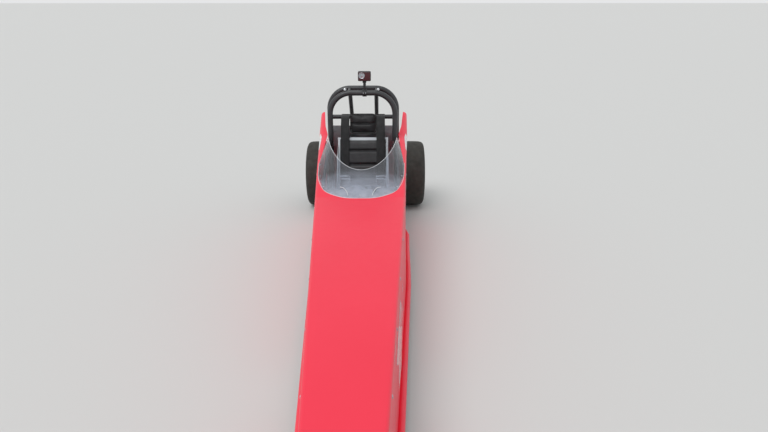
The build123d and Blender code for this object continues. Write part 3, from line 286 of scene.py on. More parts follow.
@dataclass(frozen=True)
class Finish:
    """A surface as a maker names it, with its pattern sizes in millimetres.

    The base class gives a mottled colour, uneven gloss and a fine relief. A finish that has
    more to show overrides tint, relief or closure.
    """

    name: str
    base: str
    shade: str
    mottle_mm: float = 90.0
    mottle: float = 0.5
    metallic: float = 0.0
    rough: tuple[float, float] = (0.4, 0.5)
    rough_mm: float = 30.0
    grain_mm: float = 1.5
    relief_mm: float = 0.03
    stretch: tuple[float, float, float] = (1.0, 1.0, 1.0)
    coat: float = 0.0
    coat_rough: float = 0.04
    sheen: float = 0.0
    ior: float = 1.5
    wear: str | None = None
    wear_mm: float = 1.5

    def place(self, tree: bpy.types.NodeTree) -> Socket:
        """Give the coordinates that the patterns follow."""
        place = add(tree, "ShaderNodeTexCoord")
        return add(tree, "ShaderNodeMapping", {0: place.outputs["Object"], "Scale": self.stretch}).outputs[0]

    def noise(self, tree: bpy.types.NodeTree, place: Socket, size_mm: float, detail: float = 4.0) -> Socket:
        """Add a noise whose patches have a real size.

        Args:
            tree: The material's tree.
            place: The coordinates it follows.
            size_mm: The size of one patch.
            detail: How many finer layers it carries.

        Returns:
            The noise's value, about 0.3 to 0.7.
        """
        made = add(tree, "ShaderNodeTexNoise",
                   {"Vector": place, "Scale": 1 / (size_mm * MM), "Detail": detail})
        return made.outputs["Fac"]

    def remap(self, tree: bpy.types.NodeTree, value: Socket, low: float, high: float,
              start: float = 0.35, end: float = 0.65) -> Socket:
        """Stretch a value from start..end to low..high, held at its ends."""
        made = add(tree, "ShaderNodeMapRange", {0: value, 1: start, 2: end, 3: low, 4: high}, clamp=True)
        return made.outputs[0]

    def mix(self, tree: bpy.types.NodeTree, share: Any, first: Any, second: Any) -> Socket:
        """Mix two colours by a share, each a socket or a value."""
        made = add(tree, "ShaderNodeMix", {0: share, 6: first, 7: second}, data_type="RGBA")
        return made.outputs[2]

    def maths(self, tree: bpy.types.NodeTree, operation: str, *values: Any) -> Socket:
        """Add a Math node for one operation on sockets or numbers."""
        return add(tree, "ShaderNodeMath", dict(enumerate(values)), operation=operation).outputs[0]

    def edges(self, tree: bpy.types.NodeTree, radius_mm: float) -> Socket:
        """Find the edges of a shape: 1 on an edge of that radius, 0 on flats.

        Args:
            tree: The material's tree.
            radius_mm: The rounding that counts as an edge.

        Returns:
            The mask's socket.
        """
        bevel = add(tree, "ShaderNodeBevel", {"Radius": radius_mm * MM}, samples=4)
        facing = add(tree, "ShaderNodeNewGeometry")
        turn = add(
            tree, "ShaderNodeVectorMath",
            {0: bevel.outputs[0], 1: facing.outputs["Normal"]}, operation="DOT_PRODUCT",
        )
        return self.remap(tree, turn.outputs["Value"], 1.0, 0.0, 0.75, 0.97)

    def tint(self, tree: bpy.types.NodeTree, place: Socket) -> Socket:
        """Give the surface's colour.

        Args:
            tree: The material's tree.
            place: The coordinates it follows.

        Returns:
            The colour's socket.
        """
        share = self.remap(tree, self.noise(tree, place, self.mottle_mm), 0.0, self.mottle)
        shown = self.mix(tree, share, colour(self.base), colour(self.shade))
        if self.wear:
            rubbed = self.noise(tree, place, 14.0)
            worn = self.maths(tree, "MULTIPLY", self.edges(tree, self.wear_mm),
                              self.remap(tree, rubbed, 0.0, 1.0, 0.45, 0.6))
            shown = self.mix(tree, worn, shown, colour(self.wear))
        return shown

    def relief(self, tree: bpy.types.NodeTree, place: Socket) -> Socket:
        """Give the height of the surface's fine relief, 0 to 1."""
        return self.noise(tree, place, self.grain_mm, 3.0)

    def gloss(self, tree: bpy.types.NodeTree, place: Socket) -> Socket:
        """Give the surface's roughness."""
        low, high = self.rough
        return self.remap(tree, self.noise(tree, place, self.rough_mm), low, high)

    def closure(self, tree: bpy.types.NodeTree, shader: bpy.types.Node) -> Socket:
        """Give the output that goes to the surface."""
        return shader.outputs[0]

    def material(self) -> bpy.types.Material:
        """Build the material, or give it back if it has been built.

        Returns:
            The material, which is shared by all pieces that name it.
        """
        known = bpy.data.materials.get(self.name)
        if known:
            return known
        made = bpy.data.materials.new(self.name)
        made.use_nodes = True
        tree = made.node_tree
        tree.nodes.clear()
        place = self.place(tree)
        bump = add(
            tree, "ShaderNodeBump", {"Height": self.relief(tree, place), "Distance": self.relief_mm * MM})
        shader = add(tree, "ShaderNodeBsdfPrincipled", {
            "Base Color": self.tint(tree, place),
            "Roughness": self.gloss(tree, place),
            "Metallic": self.metallic,
            "IOR": self.ior,
            "Coat Weight": self.coat,
            "Coat Roughness": self.coat_rough,
            "Sheen Weight": self.sheen,
            "Normal": bump.outputs[0],
        })
        add(tree, "ShaderNodeOutputMaterial", {"Surface": self.closure(tree, shader)})
        return made


@dataclass(frozen=True)
class ClearSheet(Finish):
    """Polycarbonate: clear, faintly blue-grey, with a painted sky reflection that thickens towards its
    front.
    """

    reflection_colour: str = "#C3C9D6"
    reflection_front_ahead: float = 1296.0
    reflection_rear_ahead: float = 1085.0
    reflection_most: float = 0.54
    reflection_least: float = 0.02

    def painted_reflection(self, tree: bpy.types.NodeTree, shader: bpy.types.Node) -> Socket:
        """Lay a painted sky reflection over the clear sheet: a patchy pale film, thicker towards its front.

        Args:
            tree: The material's tree.
            shader: The node that shades the surface.

        Returns:
            The shader's output with the painted reflection on it.
        """
        # Painted reflection: a pale diffuse film, strongest at the sheet's front and fading rearwards, made
        # patchy by noise.
        where = add(tree, "ShaderNodeTexCoord")
        axes = add(tree, "ShaderNodeSeparateXYZ", {0: where.outputs["Object"]})
        front, rear = at(0.0, self.reflection_front_ahead, 0.0).y, at(0.0, self.reflection_rear_ahead, 0.0).y
        share = self.remap(tree, axes.outputs["Y"], self.reflection_most, self.reflection_least, front, rear)
        patchiness = self.remap(tree, self.noise(tree, where.outputs["Object"], 55.0, 6.0), 0.7, 1.15)
        # This pale diffuse shader paints the sky's reflection on the sheet.
        dust = add(tree, "ShaderNodeBsdfDiffuse", {"Color": colour(self.reflection_colour)})
        return add(tree, "ShaderNodeMixShader",
                   {0: self.maths(tree, "MULTIPLY", share, patchiness), 1: shader.outputs[0],
                    2: dust.outputs[0]}).outputs[0]

    def closure(self, tree: bpy.types.NodeTree, shader: bpy.types.Node) -> Socket:
        """Let lamps through the sheet, so that the cockpit under it is lit.

        Args:
            tree: The material's tree.
            shader: The node that shades the surface.

        Returns:
            The output that goes to the surface.
        """
        shader.inputs["Transmission Weight"].default_value = 1.0
        rays = add(tree, "ShaderNodeLightPath")
        clear = add(tree, "ShaderNodeBsdfTransparent", {"Color": colour("#F0F3F5")})
        return add(tree, "ShaderNodeMixShader", {
            0: rays.outputs["Is Shadow Ray"], 1: self.painted_reflection(tree, shader), 2: clear.outputs[0]}).outputs[0]


@dataclass(frozen=True)
class SlickRubber(Finish):
    """A drag tyre's compound: a scuffed grey-brown tread band between darker, smoother sidewalls."""

    axle_height_mm: float = REAR_TYRE_RADIUS
    axle_ahead: float = 0.0
    tread_mm: float = 215.0

    def band(self, tree: bpy.types.NodeTree) -> Socket:
        """Find the tread: 1 beyond its radius from the axle, 0 on the sidewalls.

        Args:
            tree: The material's tree.

        Returns:
            The mask's socket.
        """
        place = add(tree, "ShaderNodeTexCoord")
        centre = at(0.0, self.axle_ahead, self.axle_height_mm)
        spot = add(tree, "ShaderNodeMapping",
                   {0: place.outputs["Object"], "Location": -centre, "Scale": (0.0, 1.0, 1.0)})
        reach = add(tree, "ShaderNodeVectorMath", {0: spot.outputs[0]}, operation="LENGTH").outputs["Value"]
        edge = self.tread_mm * MM
        return self.remap(tree, reach, 0.0, 1.0, edge - 0.006, edge + 0.003)

    def tint(self, tree: bpy.types.NodeTree, place: Socket) -> Socket:
        """Dust and scuffs on the tread, a cleaner dark on the walls.

        Args:
            tree: The material's tree.
            place: The coordinates it follows.

        Returns:
            The colour's socket.
        """
        band = self.band(tree)
        dust = self.remap(tree, self.noise(tree, place, 35.0, 6.0), 0.25, 1.0, 0.3, 0.7)
        grit = self.remap(tree, self.noise(tree, place, 2.5, 2.0), 0.5, 1.0, 0.4, 0.75)
        scuffed = self.maths(tree, "MULTIPLY", self.maths(tree, "MULTIPLY", dust, grit), band)
        return self.mix(tree, scuffed, colour(self.base), colour(self.shade))

    def relief(self, tree: bpy.types.NodeTree, place: Socket) -> Socket:
        """The pebbled wear of the tread, which fades out on the sidewalls."""
        pebbles = self.noise(tree, place, self.grain_mm, 5.0)
        return self.maths(tree, "MULTIPLY", pebbles, self.maths(tree, "ADD", self.band(tree), 0.15))


@dataclass(frozen=True)
class Webbing(Finish):
    """Woven strap: two sets of threads read from the strap's own UV map, in metres."""

    thread_mm: float = 1.8

    def place(self, tree: bpy.types.NodeTree) -> Socket:
        """Follow the strap's own map, so that the weave runs along it."""
        return add(tree, "ShaderNodeUVMap", uv_map="along").outputs[0]

    def relief(self, tree: bpy.types.NodeTree, place: Socket) -> Socket:
        """Diagonal ribs crossed by the weft, as on a twill webbing.

        Args:
            tree: The material's tree.
            place: The coordinates it follows.

        Returns:
            The height's socket.
        """
        scale = 1 / (self.thread_mm * MM) / 20
        turned = add(tree, "ShaderNodeMapping", {0: place, "Rotation": (0.0, 0.0, math.radians(32))})
        ribs = add(tree, "ShaderNodeTexWave", {0: turned.outputs[0], "Scale": scale * 3.2},
                   bands_direction="X")
        weft = add(tree, "ShaderNodeTexWave", {0: place, "Scale": scale * 3.2}, bands_direction="Y")
        return self.maths(tree, "MULTIPLY", ribs.outputs["Fac"], weft.outputs["Fac"])

    def tint(self, tree: bpy.types.NodeTree, place: Socket) -> Socket:
        """Paint shade into the gaps between threads: the weave's low places get the darker colour."""
        threads = self.relief(tree, place)
        # Painted shade: low places of the weave's relief take the darker colour.
        return self.mix(tree, self.remap(tree, threads, 1.0, 0.0, 0.1, 0.7), colour(self.base),
                        colour(self.shade))


@dataclass(frozen=True)
class HeatTint(Finish):
    """Stainless pipe, straw and blue near its hot end, plain at its tail."""

    hot: tuple[float, float, float] = (0.0, 0.0, 0.0)
    reach_mm: float = 320.0

    def tint(self, tree: bpy.types.NodeTree, place: Socket) -> Socket:
        """Run the oxide colours out from the hot end, with uneven edges.

        Args:
            tree: The material's tree.
            place: The coordinates it follows.

        Returns:
            The colour's socket.
        """
        where = add(tree, "ShaderNodeTexCoord")
        away = add(tree, "ShaderNodeVectorMath", {0: where.outputs["Object"], 1: self.hot},
                   operation="DISTANCE")
        wander = self.remap(tree, self.noise(tree, place, 40.0), -0.02, 0.02)
        reach = self.maths(tree, "ADD", away.outputs["Value"], wander)
        share = self.remap(tree, reach, 0.0, 1.0, 0.0, self.reach_mm * MM)
        ramp = add(tree, "ShaderNodeValToRGB", {0: share})
        stops = ((0.0, "#5A5E6B"), (0.22, "#4D5B86"), (0.42, "#7A5A72"), (0.6, "#B08A4E"), (1.0, self.base))
        for index, (where_at, code) in enumerate(stops):
            if index < 2:
                stop = ramp.color_ramp.elements[index]
                stop.position = where_at
            else:
                stop = ramp.color_ramp.elements.new(where_at)
            stop.color = colour(code)
        return ramp.outputs[0]


@dataclass(frozen=True)
class Finishes:
    """Every finish on the car, named for what it is made of and how it was made."""

    # Two-pack gloss red under clear coat: deep colour, a faint orange peel, sky in its gloss.
    body_paint: Finish = Finish(
        "gloss_red_two_pack_paint", "#FA314C", "#F32944", mottle_mm=420.0, mottle=0.4,
        rough=(0.42, 0.46), grain_mm=6.0, relief_mm=0.02, coat=0.22, coat_rough=0.2, ior=1.42)
    # Powder coat, baked: satin black with a fine peel.
    frame_coat: Finish = Finish(
        "satin_black_powder_coat", "#26272A", "#34363A", mottle_mm=60.0, mottle=0.6,
        rough=(0.34, 0.5), grain_mm=2.2, relief_mm=0.05, coat=0.25, coat_rough=0.25)
    # 5052 sheet, mill-rolled and rubbed with an abrasive pad: long fine lines, dull patches.
    rubbed_sheet: Finish = Finish(
        "rubbed_aluminium_sheet", "#C6CACE", "#A9AEB3", mottle_mm=120.0, mottle=0.8, metallic=1.0,
        rough=(0.28, 0.42), rough_mm=50.0, grain_mm=1.4, relief_mm=0.012, stretch=(1.0, 0.06, 1.0))
    # Spun and polished rim alloy: bright, with brake dust dulling it in patches.
    polished_alloy: Finish = Finish(
        "polished_spun_alloy", "#D4D7DA", "#9FA2A4", mottle_mm=35.0, mottle=0.35, metallic=1.0,
        rough=(0.14, 0.3), rough_mm=25.0, grain_mm=1.0, relief_mm=0.006)
    # Sand-cast alloy: a grainy skin, mottled darker at random, rubbed bright on its edges.
    cast_alloy: Finish = Finish(
        "sand_cast_alloy", "#A3A6A8", "#6F7274", mottle_mm=25.0, mottle=0.9, metallic=0.85,
        rough=(0.42, 0.62), rough_mm=9.0, grain_mm=1.3, relief_mm=0.12, wear="#C9CCCE", wear_mm=1.2)
    # Bright zinc plate: bluish steel, slightly cloudy.
    zinc_steel: Finish = Finish(
        "bright_zinc_plated_steel", "#B9BEC4", "#8E9398", mottle_mm=14.0, mottle=0.6, metallic=1.0,
        rough=(0.22, 0.38), rough_mm=8.0, grain_mm=0.9, relief_mm=0.01)
    # Hardened chain and sprocket steel under a film of oil and dust.
    oiled_steel: Finish = Finish(
        "oiled_hardened_steel", "#6C6A66", "#3A3733", mottle_mm=8.0, mottle=0.9, metallic=0.9,
        rough=(0.25, 0.5), rough_mm=5.0, grain_mm=0.8, relief_mm=0.02)
    # Ground cast-iron rotor, faintly mottled.
    ground_iron: Finish = Finish(
        "ground_rotor_iron", "#8F9296", "#6B6E72", mottle_mm=12.0, mottle=0.5, metallic=1.0,
        rough=(0.25, 0.4), grain_mm=1.0, relief_mm=0.015)
    # Black anodised or painted spun disc: smooth and deep, dusted lightly.
    black_disc: Finish = Finish(
        "gloss_black_spun_disc", "#101113", "#191A1C", mottle_mm=70.0, mottle=0.5, metallic=0.0,
        rough=(0.34, 0.4), grain_mm=4.0, relief_mm=0.004, coat=0.35, coat_rough=0.2)
    # Glass-filled nylon: charcoal, with a moulded spark texture.
    moulded_nylon: Finish = Finish(
        "moulded_black_nylon", "#1C1D1F", "#2A2B2D", mottle_mm=30.0, mottle=0.5,
        rough=(0.45, 0.6), grain_mm=0.9, relief_mm=0.06, wear="#4A4B4D", wear_mm=0.8)
    # Dull red plastic of the camera's front plate.
    red_nylon: Finish = Finish(
        "moulded_dark_red_nylon", "#4C1820", "#381218", mottle_mm=20.0, mottle=0.6,
        rough=(0.35, 0.5), grain_mm=0.9, relief_mm=0.03)
    # Marine vinyl over foam: soft sheen and a pressed leather grain.
    seat_vinyl: Finish = Finish(
        "black_marine_vinyl", "#232325", "#303033", mottle_mm=45.0, mottle=0.6,
        rough=(0.42, 0.58), rough_mm=18.0, grain_mm=1.6, relief_mm=0.16, sheen=0.15)
    # Bonded polyester thread: grey against the vinyl, so that the seams read.
    seam_thread: Finish = Finish(
        "bonded_grey_thread", "#6E7074", "#56585C", mottle_mm=3.0, mottle=0.6, rough=(0.6, 0.75),
        grain_mm=0.5, relief_mm=0.05, sheen=0.2)
    # Polyester harness webbing, black and pale yellow; the darker colour of each is painted shade in the
    # weave's gaps.
    black_webbing: Finish = Webbing(
        "woven_black_webbing", "#232427", "#0E0F10", rough=(0.7, 0.85), relief_mm=0.35, sheen=0.3)
    yellow_webbing: Finish = Webbing(
        "woven_pale_yellow_webbing", "#D9CC86", "#A99C5A", rough=(0.7, 0.85), relief_mm=0.35, sheen=0.3)
    # Suede-like grip tape on the steering wheel.
    grip_suede: Finish = Finish(
        "black_grip_suede", "#1E1E20", "#2D2D2F", mottle_mm=9.0, mottle=0.8, rough=(0.85, 0.95),
        grain_mm=0.7, relief_mm=0.12, sheen=0.6)
    # Extruded rubber edging and hose.
    edge_rubber: Finish = Finish(
        "extruded_black_rubber", "#1A1A1A", "#262626", mottle_mm=12.0, mottle=0.6,
        rough=(0.55, 0.7), grain_mm=1.0, relief_mm=0.03)
    # Moulded variator belt: fabric-backed rubber, dusty grey on its flanks.
    belt_rubber: Finish = Finish(
        "fabric_backed_belt_rubber", "#222223", "#3B3A38", mottle_mm=6.0, mottle=0.8,
        rough=(0.7, 0.85), grain_mm=0.8, relief_mm=0.1)
    # Natural clear fuel hose, faintly yellow.
    fuel_hose: Finish = Finish(
        "amber_fuel_hose", "#C9B27A", "#A88F55", mottle_mm=20.0, mottle=0.5, rough=(0.25, 0.35),
        grain_mm=1.5, relief_mm=0.01, coat=0.6, coat_rough=0.1)
    # High-tension lead in silicone.
    plug_lead: Finish = Finish(
        "dark_red_silicone_lead", "#7D1B1E", "#611316", mottle_mm=15.0, mottle=0.5,
        rough=(0.4, 0.55), grain_mm=1.0, relief_mm=0.02)
    # Glazed ceramic and machined brass.
    plug_ceramic: Finish = Finish(
        "glazed_plug_ceramic", "#EDEBE4", "#DDD9CF", mottle_mm=10.0, rough=(0.12, 0.2), grain_mm=2.0,
        relief_mm=0.004, coat=0.6)
    turned_brass: Finish = Finish(
        "turned_brass", "#C9A45A", "#A8803C", mottle_mm=8.0, metallic=1.0, rough=(0.2, 0.35),
        grain_mm=0.8, relief_mm=0.01)
    # Oiled cotton-gauze of the intake filter.
    filter_gauze: Finish = Finish(
        "oiled_filter_gauze", "#8C3A34", "#6A2A26", mottle_mm=6.0, mottle=0.8, rough=(0.75, 0.9),
        grain_mm=0.9, relief_mm=0.2, sheen=0.2)
    # Cut vinyl film, white and pale pink, laid on the paint.
    white_film: Finish = Finish(
        "white_cast_vinyl_film", "#EFF0F0", "#DCDEDF", mottle_mm=120.0, mottle=0.6,
        rough=(0.22, 0.32), grain_mm=5.0, relief_mm=0.01, coat=0.5, coat_rough=0.08)
    pink_film: Finish = Finish(
        "pale_pink_vinyl_film", "#E79AA2", "#D98189", mottle_mm=120.0, mottle=0.6,
        rough=(0.22, 0.32), grain_mm=5.0, relief_mm=0.01, coat=0.5, coat_rough=0.08)
    # The camera's coated lens.
    lens_glass: Finish = Finish(
        "dark_coated_lens_glass", "#0B0C12", "#14162A", mottle_mm=10.0, rough=(0.03, 0.06),
        grain_mm=8.0, relief_mm=0.001, coat=1.0, coat_rough=0.01, ior=1.6)
    # Clear screen sheet.
    clear_sheet: Finish = ClearSheet(
        "clear_polycarbonate_sheet", "#E2E7F0", "#CFD6E4", mottle_mm=160.0, mottle=0.5,
        rough=(0.0, 0.05), rough_mm=60.0, grain_mm=60.0, relief_mm=0.02, ior=1.42)
    # Sawn and flame-polished edge of the clear sheet: it gathers light, so its pale colour is a painted
    # highlight along the edge.
    edge_highlight: Finish = Finish(
        "flame_polished_sheet_edge", "#E4E8EA", "#C9CFD3", mottle_mm=30.0, mottle=0.5,
        rough=(0.12, 0.25), grain_mm=3.0, relief_mm=0.01, coat=0.5, coat_rough=0.1)
    # Rear slick: soft compound, grey-brown where it has been run.
    rear_rubber: Finish = SlickRubber(
        "run_in_slick_compound", "#252522", "#423F3A", rough=(0.72, 0.88), grain_mm=3.0,
        relief_mm=0.25, axle_height_mm=REAR_TYRE_RADIUS, tread_mm=214.0)
    front_rubber: Finish = SlickRubber(
        "front_runner_compound", "#232423", "#4A4A44", rough=(0.6, 0.8), grain_mm=2.0,
        relief_mm=0.12, axle_height_mm=FRONT_TYRE_RADIUS, axle_ahead=WHEELBASE, tread_mm=245.0)
    # Heat-tinted stainless exhaust.
    hot_pipe: Finish = HeatTint(
        "heat_tinted_stainless", "#B7B4AE", "#B7B4AE", metallic=1.0, rough=(0.2, 0.34),
        rough_mm=15.0, grain_mm=1.0, relief_mm=0.01, hot=tuple(at(0.0, 267.0, 392.0)))


FINISH = Finishes()


def dress(obj: bpy.types.Object, *finishes: Finish) -> None:
    """Give an object its finishes, in the order of its material slots.

    Args:
        obj: The object to change.
    """
    obj.data.materials.clear()
    for finish in finishes:
        obj.data.materials.append(finish.material())


# Shape helpers

def mesh_object(name: str, build: bmesh.types.BMesh, smooth: bool = True) -> bpy.types.Object:
    """Turn a bmesh into an object of the scene.

    Args:
        name: The piece's name.
        build: The finished bmesh, which is freed here.
        smooth: Whether its faces are shaded smooth.

    Returns:
        The new object, at the origin.
    """
    data = bpy.data.meshes.new(name)
    bmesh.ops.recalc_face_normals(build, faces=build.faces)
    build.to_mesh(data)
    build.free()
    for face in data.polygons:
        face.use_smooth = smooth
    obj = bpy.data.objects.new(name, data)
    bpy.context.scene.collection.objects.link(obj)
    return obj


def finished(
    obj: bpy.types.Object,
    body: Body,
    slot: str,
    *finishes: Finish,
    replaces: Sequence[str] = (),
    sharp: float | None = 35.0,
) -> None:
    """Dress a piece and put it on its body.

    Args:
        obj: The piece.
        body: The rigid body that carries it.
        slot: The record's material slot. Not used.
        finishes: Its finishes, in slot order.
        replaces: CAD nodes that it stands for.
        sharp: The angle in degrees past which an edge stays sharp, or None.
    """
    dress(obj, *finishes)
    if sharp is not None:
        obj.data.set_sharp_from_angle(angle=math.radians(sharp))
    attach(obj, body.value)
    if replaces:
        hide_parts(*replaces)
    LOG.info("%s: %d faces on %s", obj.name, len(obj.data.polygons), body.value)


def piece(
    name: str,
    build: bmesh.types.BMesh,
    slot: str,
    *finishes: Finish,
    body: Body = Body.CHASSIS,
    smooth: bool = True,
    replaces: Sequence[str] = (),
    sharp: float | None = 35.0,
) -> None:
    """Turn a bmesh into a finished piece.

    Args:
        name: The piece's name.
        build: The finished bmesh, which is freed here.
        slot: The record's material slot.
        finishes: Its finishes, in slot order.
        body: The rigid body that carries it.
        smooth: Whether its faces are shaded smooth.
        replaces: CAD nodes that it stands for.
        sharp: The angle in degrees past which an edge stays sharp, or None.
    """
    finished(mesh_object(name, build, smooth), body, slot, *finishes, replaces=replaces, sharp=sharp)


def bridge(build: bmesh.types.BMesh, rings: Sequence[Sequence[bmesh.types.BMVert]],
           capped: bool = True) -> None:
    """Join closed rings of corners in order, and close the two ends if they are capped.

    Args:
        build: The bmesh that gets the faces.
        rings: The rings, all with the same number of corners.
        capped: Whether the first and the last ring get a face.
    """
    for first, second in zip(rings, rings[1:]):
        for k in range(len(first)):
            n = (k + 1) % len(first)
            build.faces.new((first[k], first[n], second[n], second[k]))
    if capped:
        build.faces.new(list(reversed(rings[0])))
        build.faces.new(rings[-1])


def lathe(
    build: bmesh.types.BMesh,
    profile: Sequence[tuple[float, float]],
    place: Matrix,
    steps: int = 64,
    material: int = 0,
    closed: bool = False,
) -> None:
    """Turn a profile about the X axis of a placed frame.

    Args:
        build: The bmesh that gets the faces.
        profile: Points of (along the axle, radius) in millimetres. A radius of 0 closes an end.
        place: Where the frame stands.
        steps: How many steps round.
        material: The faces' material slot.
        closed: Whether the profile's last point joins its first.
    """
    rings = []
    for along, radius in profile:
        if radius <= 0:
            rings.append([build.verts.new(place @ Vector((along * MM, 0, 0)))])
            continue
        ring = []
        for index in range(steps):
            turn = 2 * math.pi * index / steps
            ring.append(build.verts.new(place @ Vector((
                along * MM, radius * MM * math.cos(turn), radius * MM * math.sin(turn)))))
        rings.append(ring)
    pairs = list(zip(rings, rings[1:]))
    if closed:
        pairs.append((rings[-1], rings[0]))
    for first, second in pairs:
        for index in range(steps):
            after = (index + 1) % steps
            corners = [
                first[index % len(first)], first[after % len(first)],
                second[after % len(second)], second[index % len(second)],
            ]
            unique = list(dict.fromkeys(corners))
            if len(unique) > 2:
                build.faces.new(unique).material_index = material


def softened(points: Sequence[tuple[float, float]], radius: float, cuts: int = 4,
             closed: bool = False) -> list[tuple[float, float]]:
    """Round the corners of a profile.

    Args:
        points: The profile's corners.
        radius: How far from each corner the rounding starts.
        cuts: How many points round each corner.
        closed: Whether the first and last corners are rounded too.

    Returns:
        The rounded profile.
    """
    shaped: list[tuple[float, float]] = []
    count = len(points)
    for index, corner in enumerate(points):
        if not closed and index in (0, count - 1):
            shaped.append(corner)
            continue
        here = Vector(corner)
        before = Vector(points[index - 1])
        after = Vector(points[(index + 1) % count])
        reach = min(radius, 0.45 * (before - here).length, 0.45 * (after - here).length)
        start = here + (before - here).normalized() * reach
        end = here + (after - here).normalized() * reach
        for step in range(cuts + 1):
            t = step / cuts
            spot = start * (1 - t) ** 2 + here * 2 * t * (1 - t) + end * t ** 2
            shaped.append((spot.x, spot.y))
    return shaped


def placed(x: float, ahead: float, z: float) -> Matrix:
    """Give a frame at a place of the car."""
    return Matrix.Translation(at(x, ahead, z))


def aimed(origin: Vector, direction: Vector) -> Matrix:
    """Give a frame whose X axis points along a direction."""
    turn = direction.to_track_quat("X", "Z").to_matrix().to_4x4()
    return Matrix.Translation(origin) @ turn


def tube(
    build: bmesh.types.BMesh,
    path: Sequence[Vector],
    radius: float | Callable[[float], float],
    steps: int = 12,
) -> None:
    """Sweep a round section along a path, with closed ends.

    Args:
        build: The bmesh that gets the faces.
        path: Points in metres.
        radius: Its radius in metres, or a function of the share along the path.
        steps: How many sides it has.
    """
    side = None
    rings = []
    count = len(path)
    for index, spot in enumerate(path):
        run = (path[min(index + 1, count - 1)] - path[max(index - 1, 0)]).normalized()
        if side is None:
            side = run.orthogonal().normalized()
        side = (side - run * side.dot(run)).normalized()
        other = run.cross(side)
        size = radius(index / (count - 1)) if callable(radius) else radius
        rings.append([
            build.verts.new(spot + (side * math.cos(a) + other * math.sin(a)) * size)
            for a in (2 * math.pi * k / steps for k in range(steps))
        ])
    bridge(build, rings)


def smooth_path(points: Sequence[Vector], steps: int = 8) -> list[Vector]:
    """Run a Catmull-Rom curve through points.

    Args:
        points: The points it passes through.
        steps: How many steps between two points.

    Returns:
        The finer points.
    """
    full = [points[0] * 2 - points[1], *points, points[-1] * 2 - points[-2]]
    shaped = []
    for index in range(1, len(full) - 2):
        a, b, c, d = full[index - 1:index + 3]
        for step in range(steps):
            t = step / steps
            shaped.append(0.5 * (
                2 * b + (c - a) * t + (2 * a - 5 * b + 4 * c - d) * t * t
                + (3 * b - a - 3 * c + d) * t ** 3))
    shaped.append(points[-1].copy())
    return shaped


def hose(build: bmesh.types.BMesh, spots: Sequence[tuple[float, float, float]], radius_mm: float,
         steps: int) -> None:
    """Run a smooth hose or lead through places of the car.

    Args:
        build: The bmesh that gets the faces.
        spots: Places as (x, ahead, height) in millimetres.
        radius_mm: Its radius.
        steps: How many sides it has.
    """
    tube(build, smooth_path([at(*spot) for spot in spots], 8), radius_mm * MM, steps)


def hexagon(build: bmesh.types.BMesh, place: Matrix, size_mm: float, height_mm: float) -> None:
    """Add a bolt head with a washer and a chamfered top, standing along X of a placed frame.

    Args:
        build: The bmesh that gets the faces.
        place: Where the frame stands.
        size_mm: The width across the flats.
        height_mm: How high the head stands.
    """
    lathe(build, [(0.0, 0.0), (0.0, size_mm * 0.72), (0.9, size_mm * 0.72), (0.9, 0.0)], place, 16)
    corner = size_mm / math.sqrt(3)
    rings = []
    for along, radius in ((0.9, corner), (height_mm - 0.6, corner), (height_mm, corner * 0.88)):
        rings.append([
            build.verts.new(place @ (Vector((along, radius * math.cos(a), radius * math.sin(a))) * MM))
            for a in (math.pi * k / 3 for k in range(6))
        ])
    build.faces.new(rings[-1])
    bridge(build, rings, capped=False)


# Geometry Nodes kit

@dataclass
class RepeatTree:
    """A Geometry Nodes tree with named inputs, ended by Realize Instances and Set Material."""

    name: str
    inputs: dict[str, str]
    tree: bpy.types.NodeTree = field(init=False)
    ids: dict[str, str] = field(init=False, default_factory=dict)

    def __post_init__(self) -> None:
        """Make the empty tree and its sockets."""
        self.tree = bpy.data.node_groups.new(self.name, "GeometryNodeTree")
        for label, kind in {"Geometry": "Geometry", **self.inputs, "Material": "Material"}.items():
            made = self.tree.interface.new_socket(name=label, in_out="INPUT",
                                                  socket_type="NodeSocket" + kind)
            self.ids[label] = made.identifier
        self.tree.interface.new_socket(name="Geometry", in_out="OUTPUT", socket_type="NodeSocketGeometry")
        self.start = self.tree.nodes.new("NodeGroupInput")

    def given(self, label: str) -> Socket:
        """Give the socket of one named input."""
        return self.start.outputs[label]

    def node(self, kind: str, inputs: dict[str | int, Any] | None = None, **settings: Any) -> bpy.types.Node:
        """Add a node to this tree."""
        return add(self.tree, kind, inputs, **settings)

    def close(self, geometry: Socket) -> None:
        """Realize the instances, set the material and end the tree.

        Args:
            geometry: The socket that carries the instances.
        """
        real = self.node("GeometryNodeRealizeInstances", {0: geometry})
        dressed = self.node("GeometryNodeSetMaterial",
                            {0: real.outputs[0], "Material": self.given("Material")})
        self.node("NodeGroupOutput", {0: dressed.outputs[0]})

    def run(self, name: str, source: bpy.types.Object, finish: Finish, **values: Any) -> bpy.types.Object:
        """Run the tree on an object and keep its result as a plain mesh.

        Args:
            name: The new piece's name.
            source: The object whose geometry goes in. It is removed afterwards.
            finish: The finish that the tree sets.
            values: Values of the named inputs, with underscores for spaces.

        Returns:
            The new object.
        """
        modifier = source.modifiers.new(self.name, "NODES")
        modifier.node_group = self.tree
        modifier[self.ids["Material"]] = finish.material()
        for label, value in values.items():
            modifier[self.ids[label.replace("_", " ")]] = value
        shown = source.evaluated_get(bpy.context.evaluated_depsgraph_get())
        data = bpy.data.meshes.new_from_object(shown)
        data.name = name
        obj = bpy.data.objects.new(name, data)
        bpy.context.scene.collection.objects.link(obj)
        for gone in [source] + [v for v in values.values() if isinstance(v, bpy.types.Object)]:
            bpy.data.objects.remove(gone)
        return obj


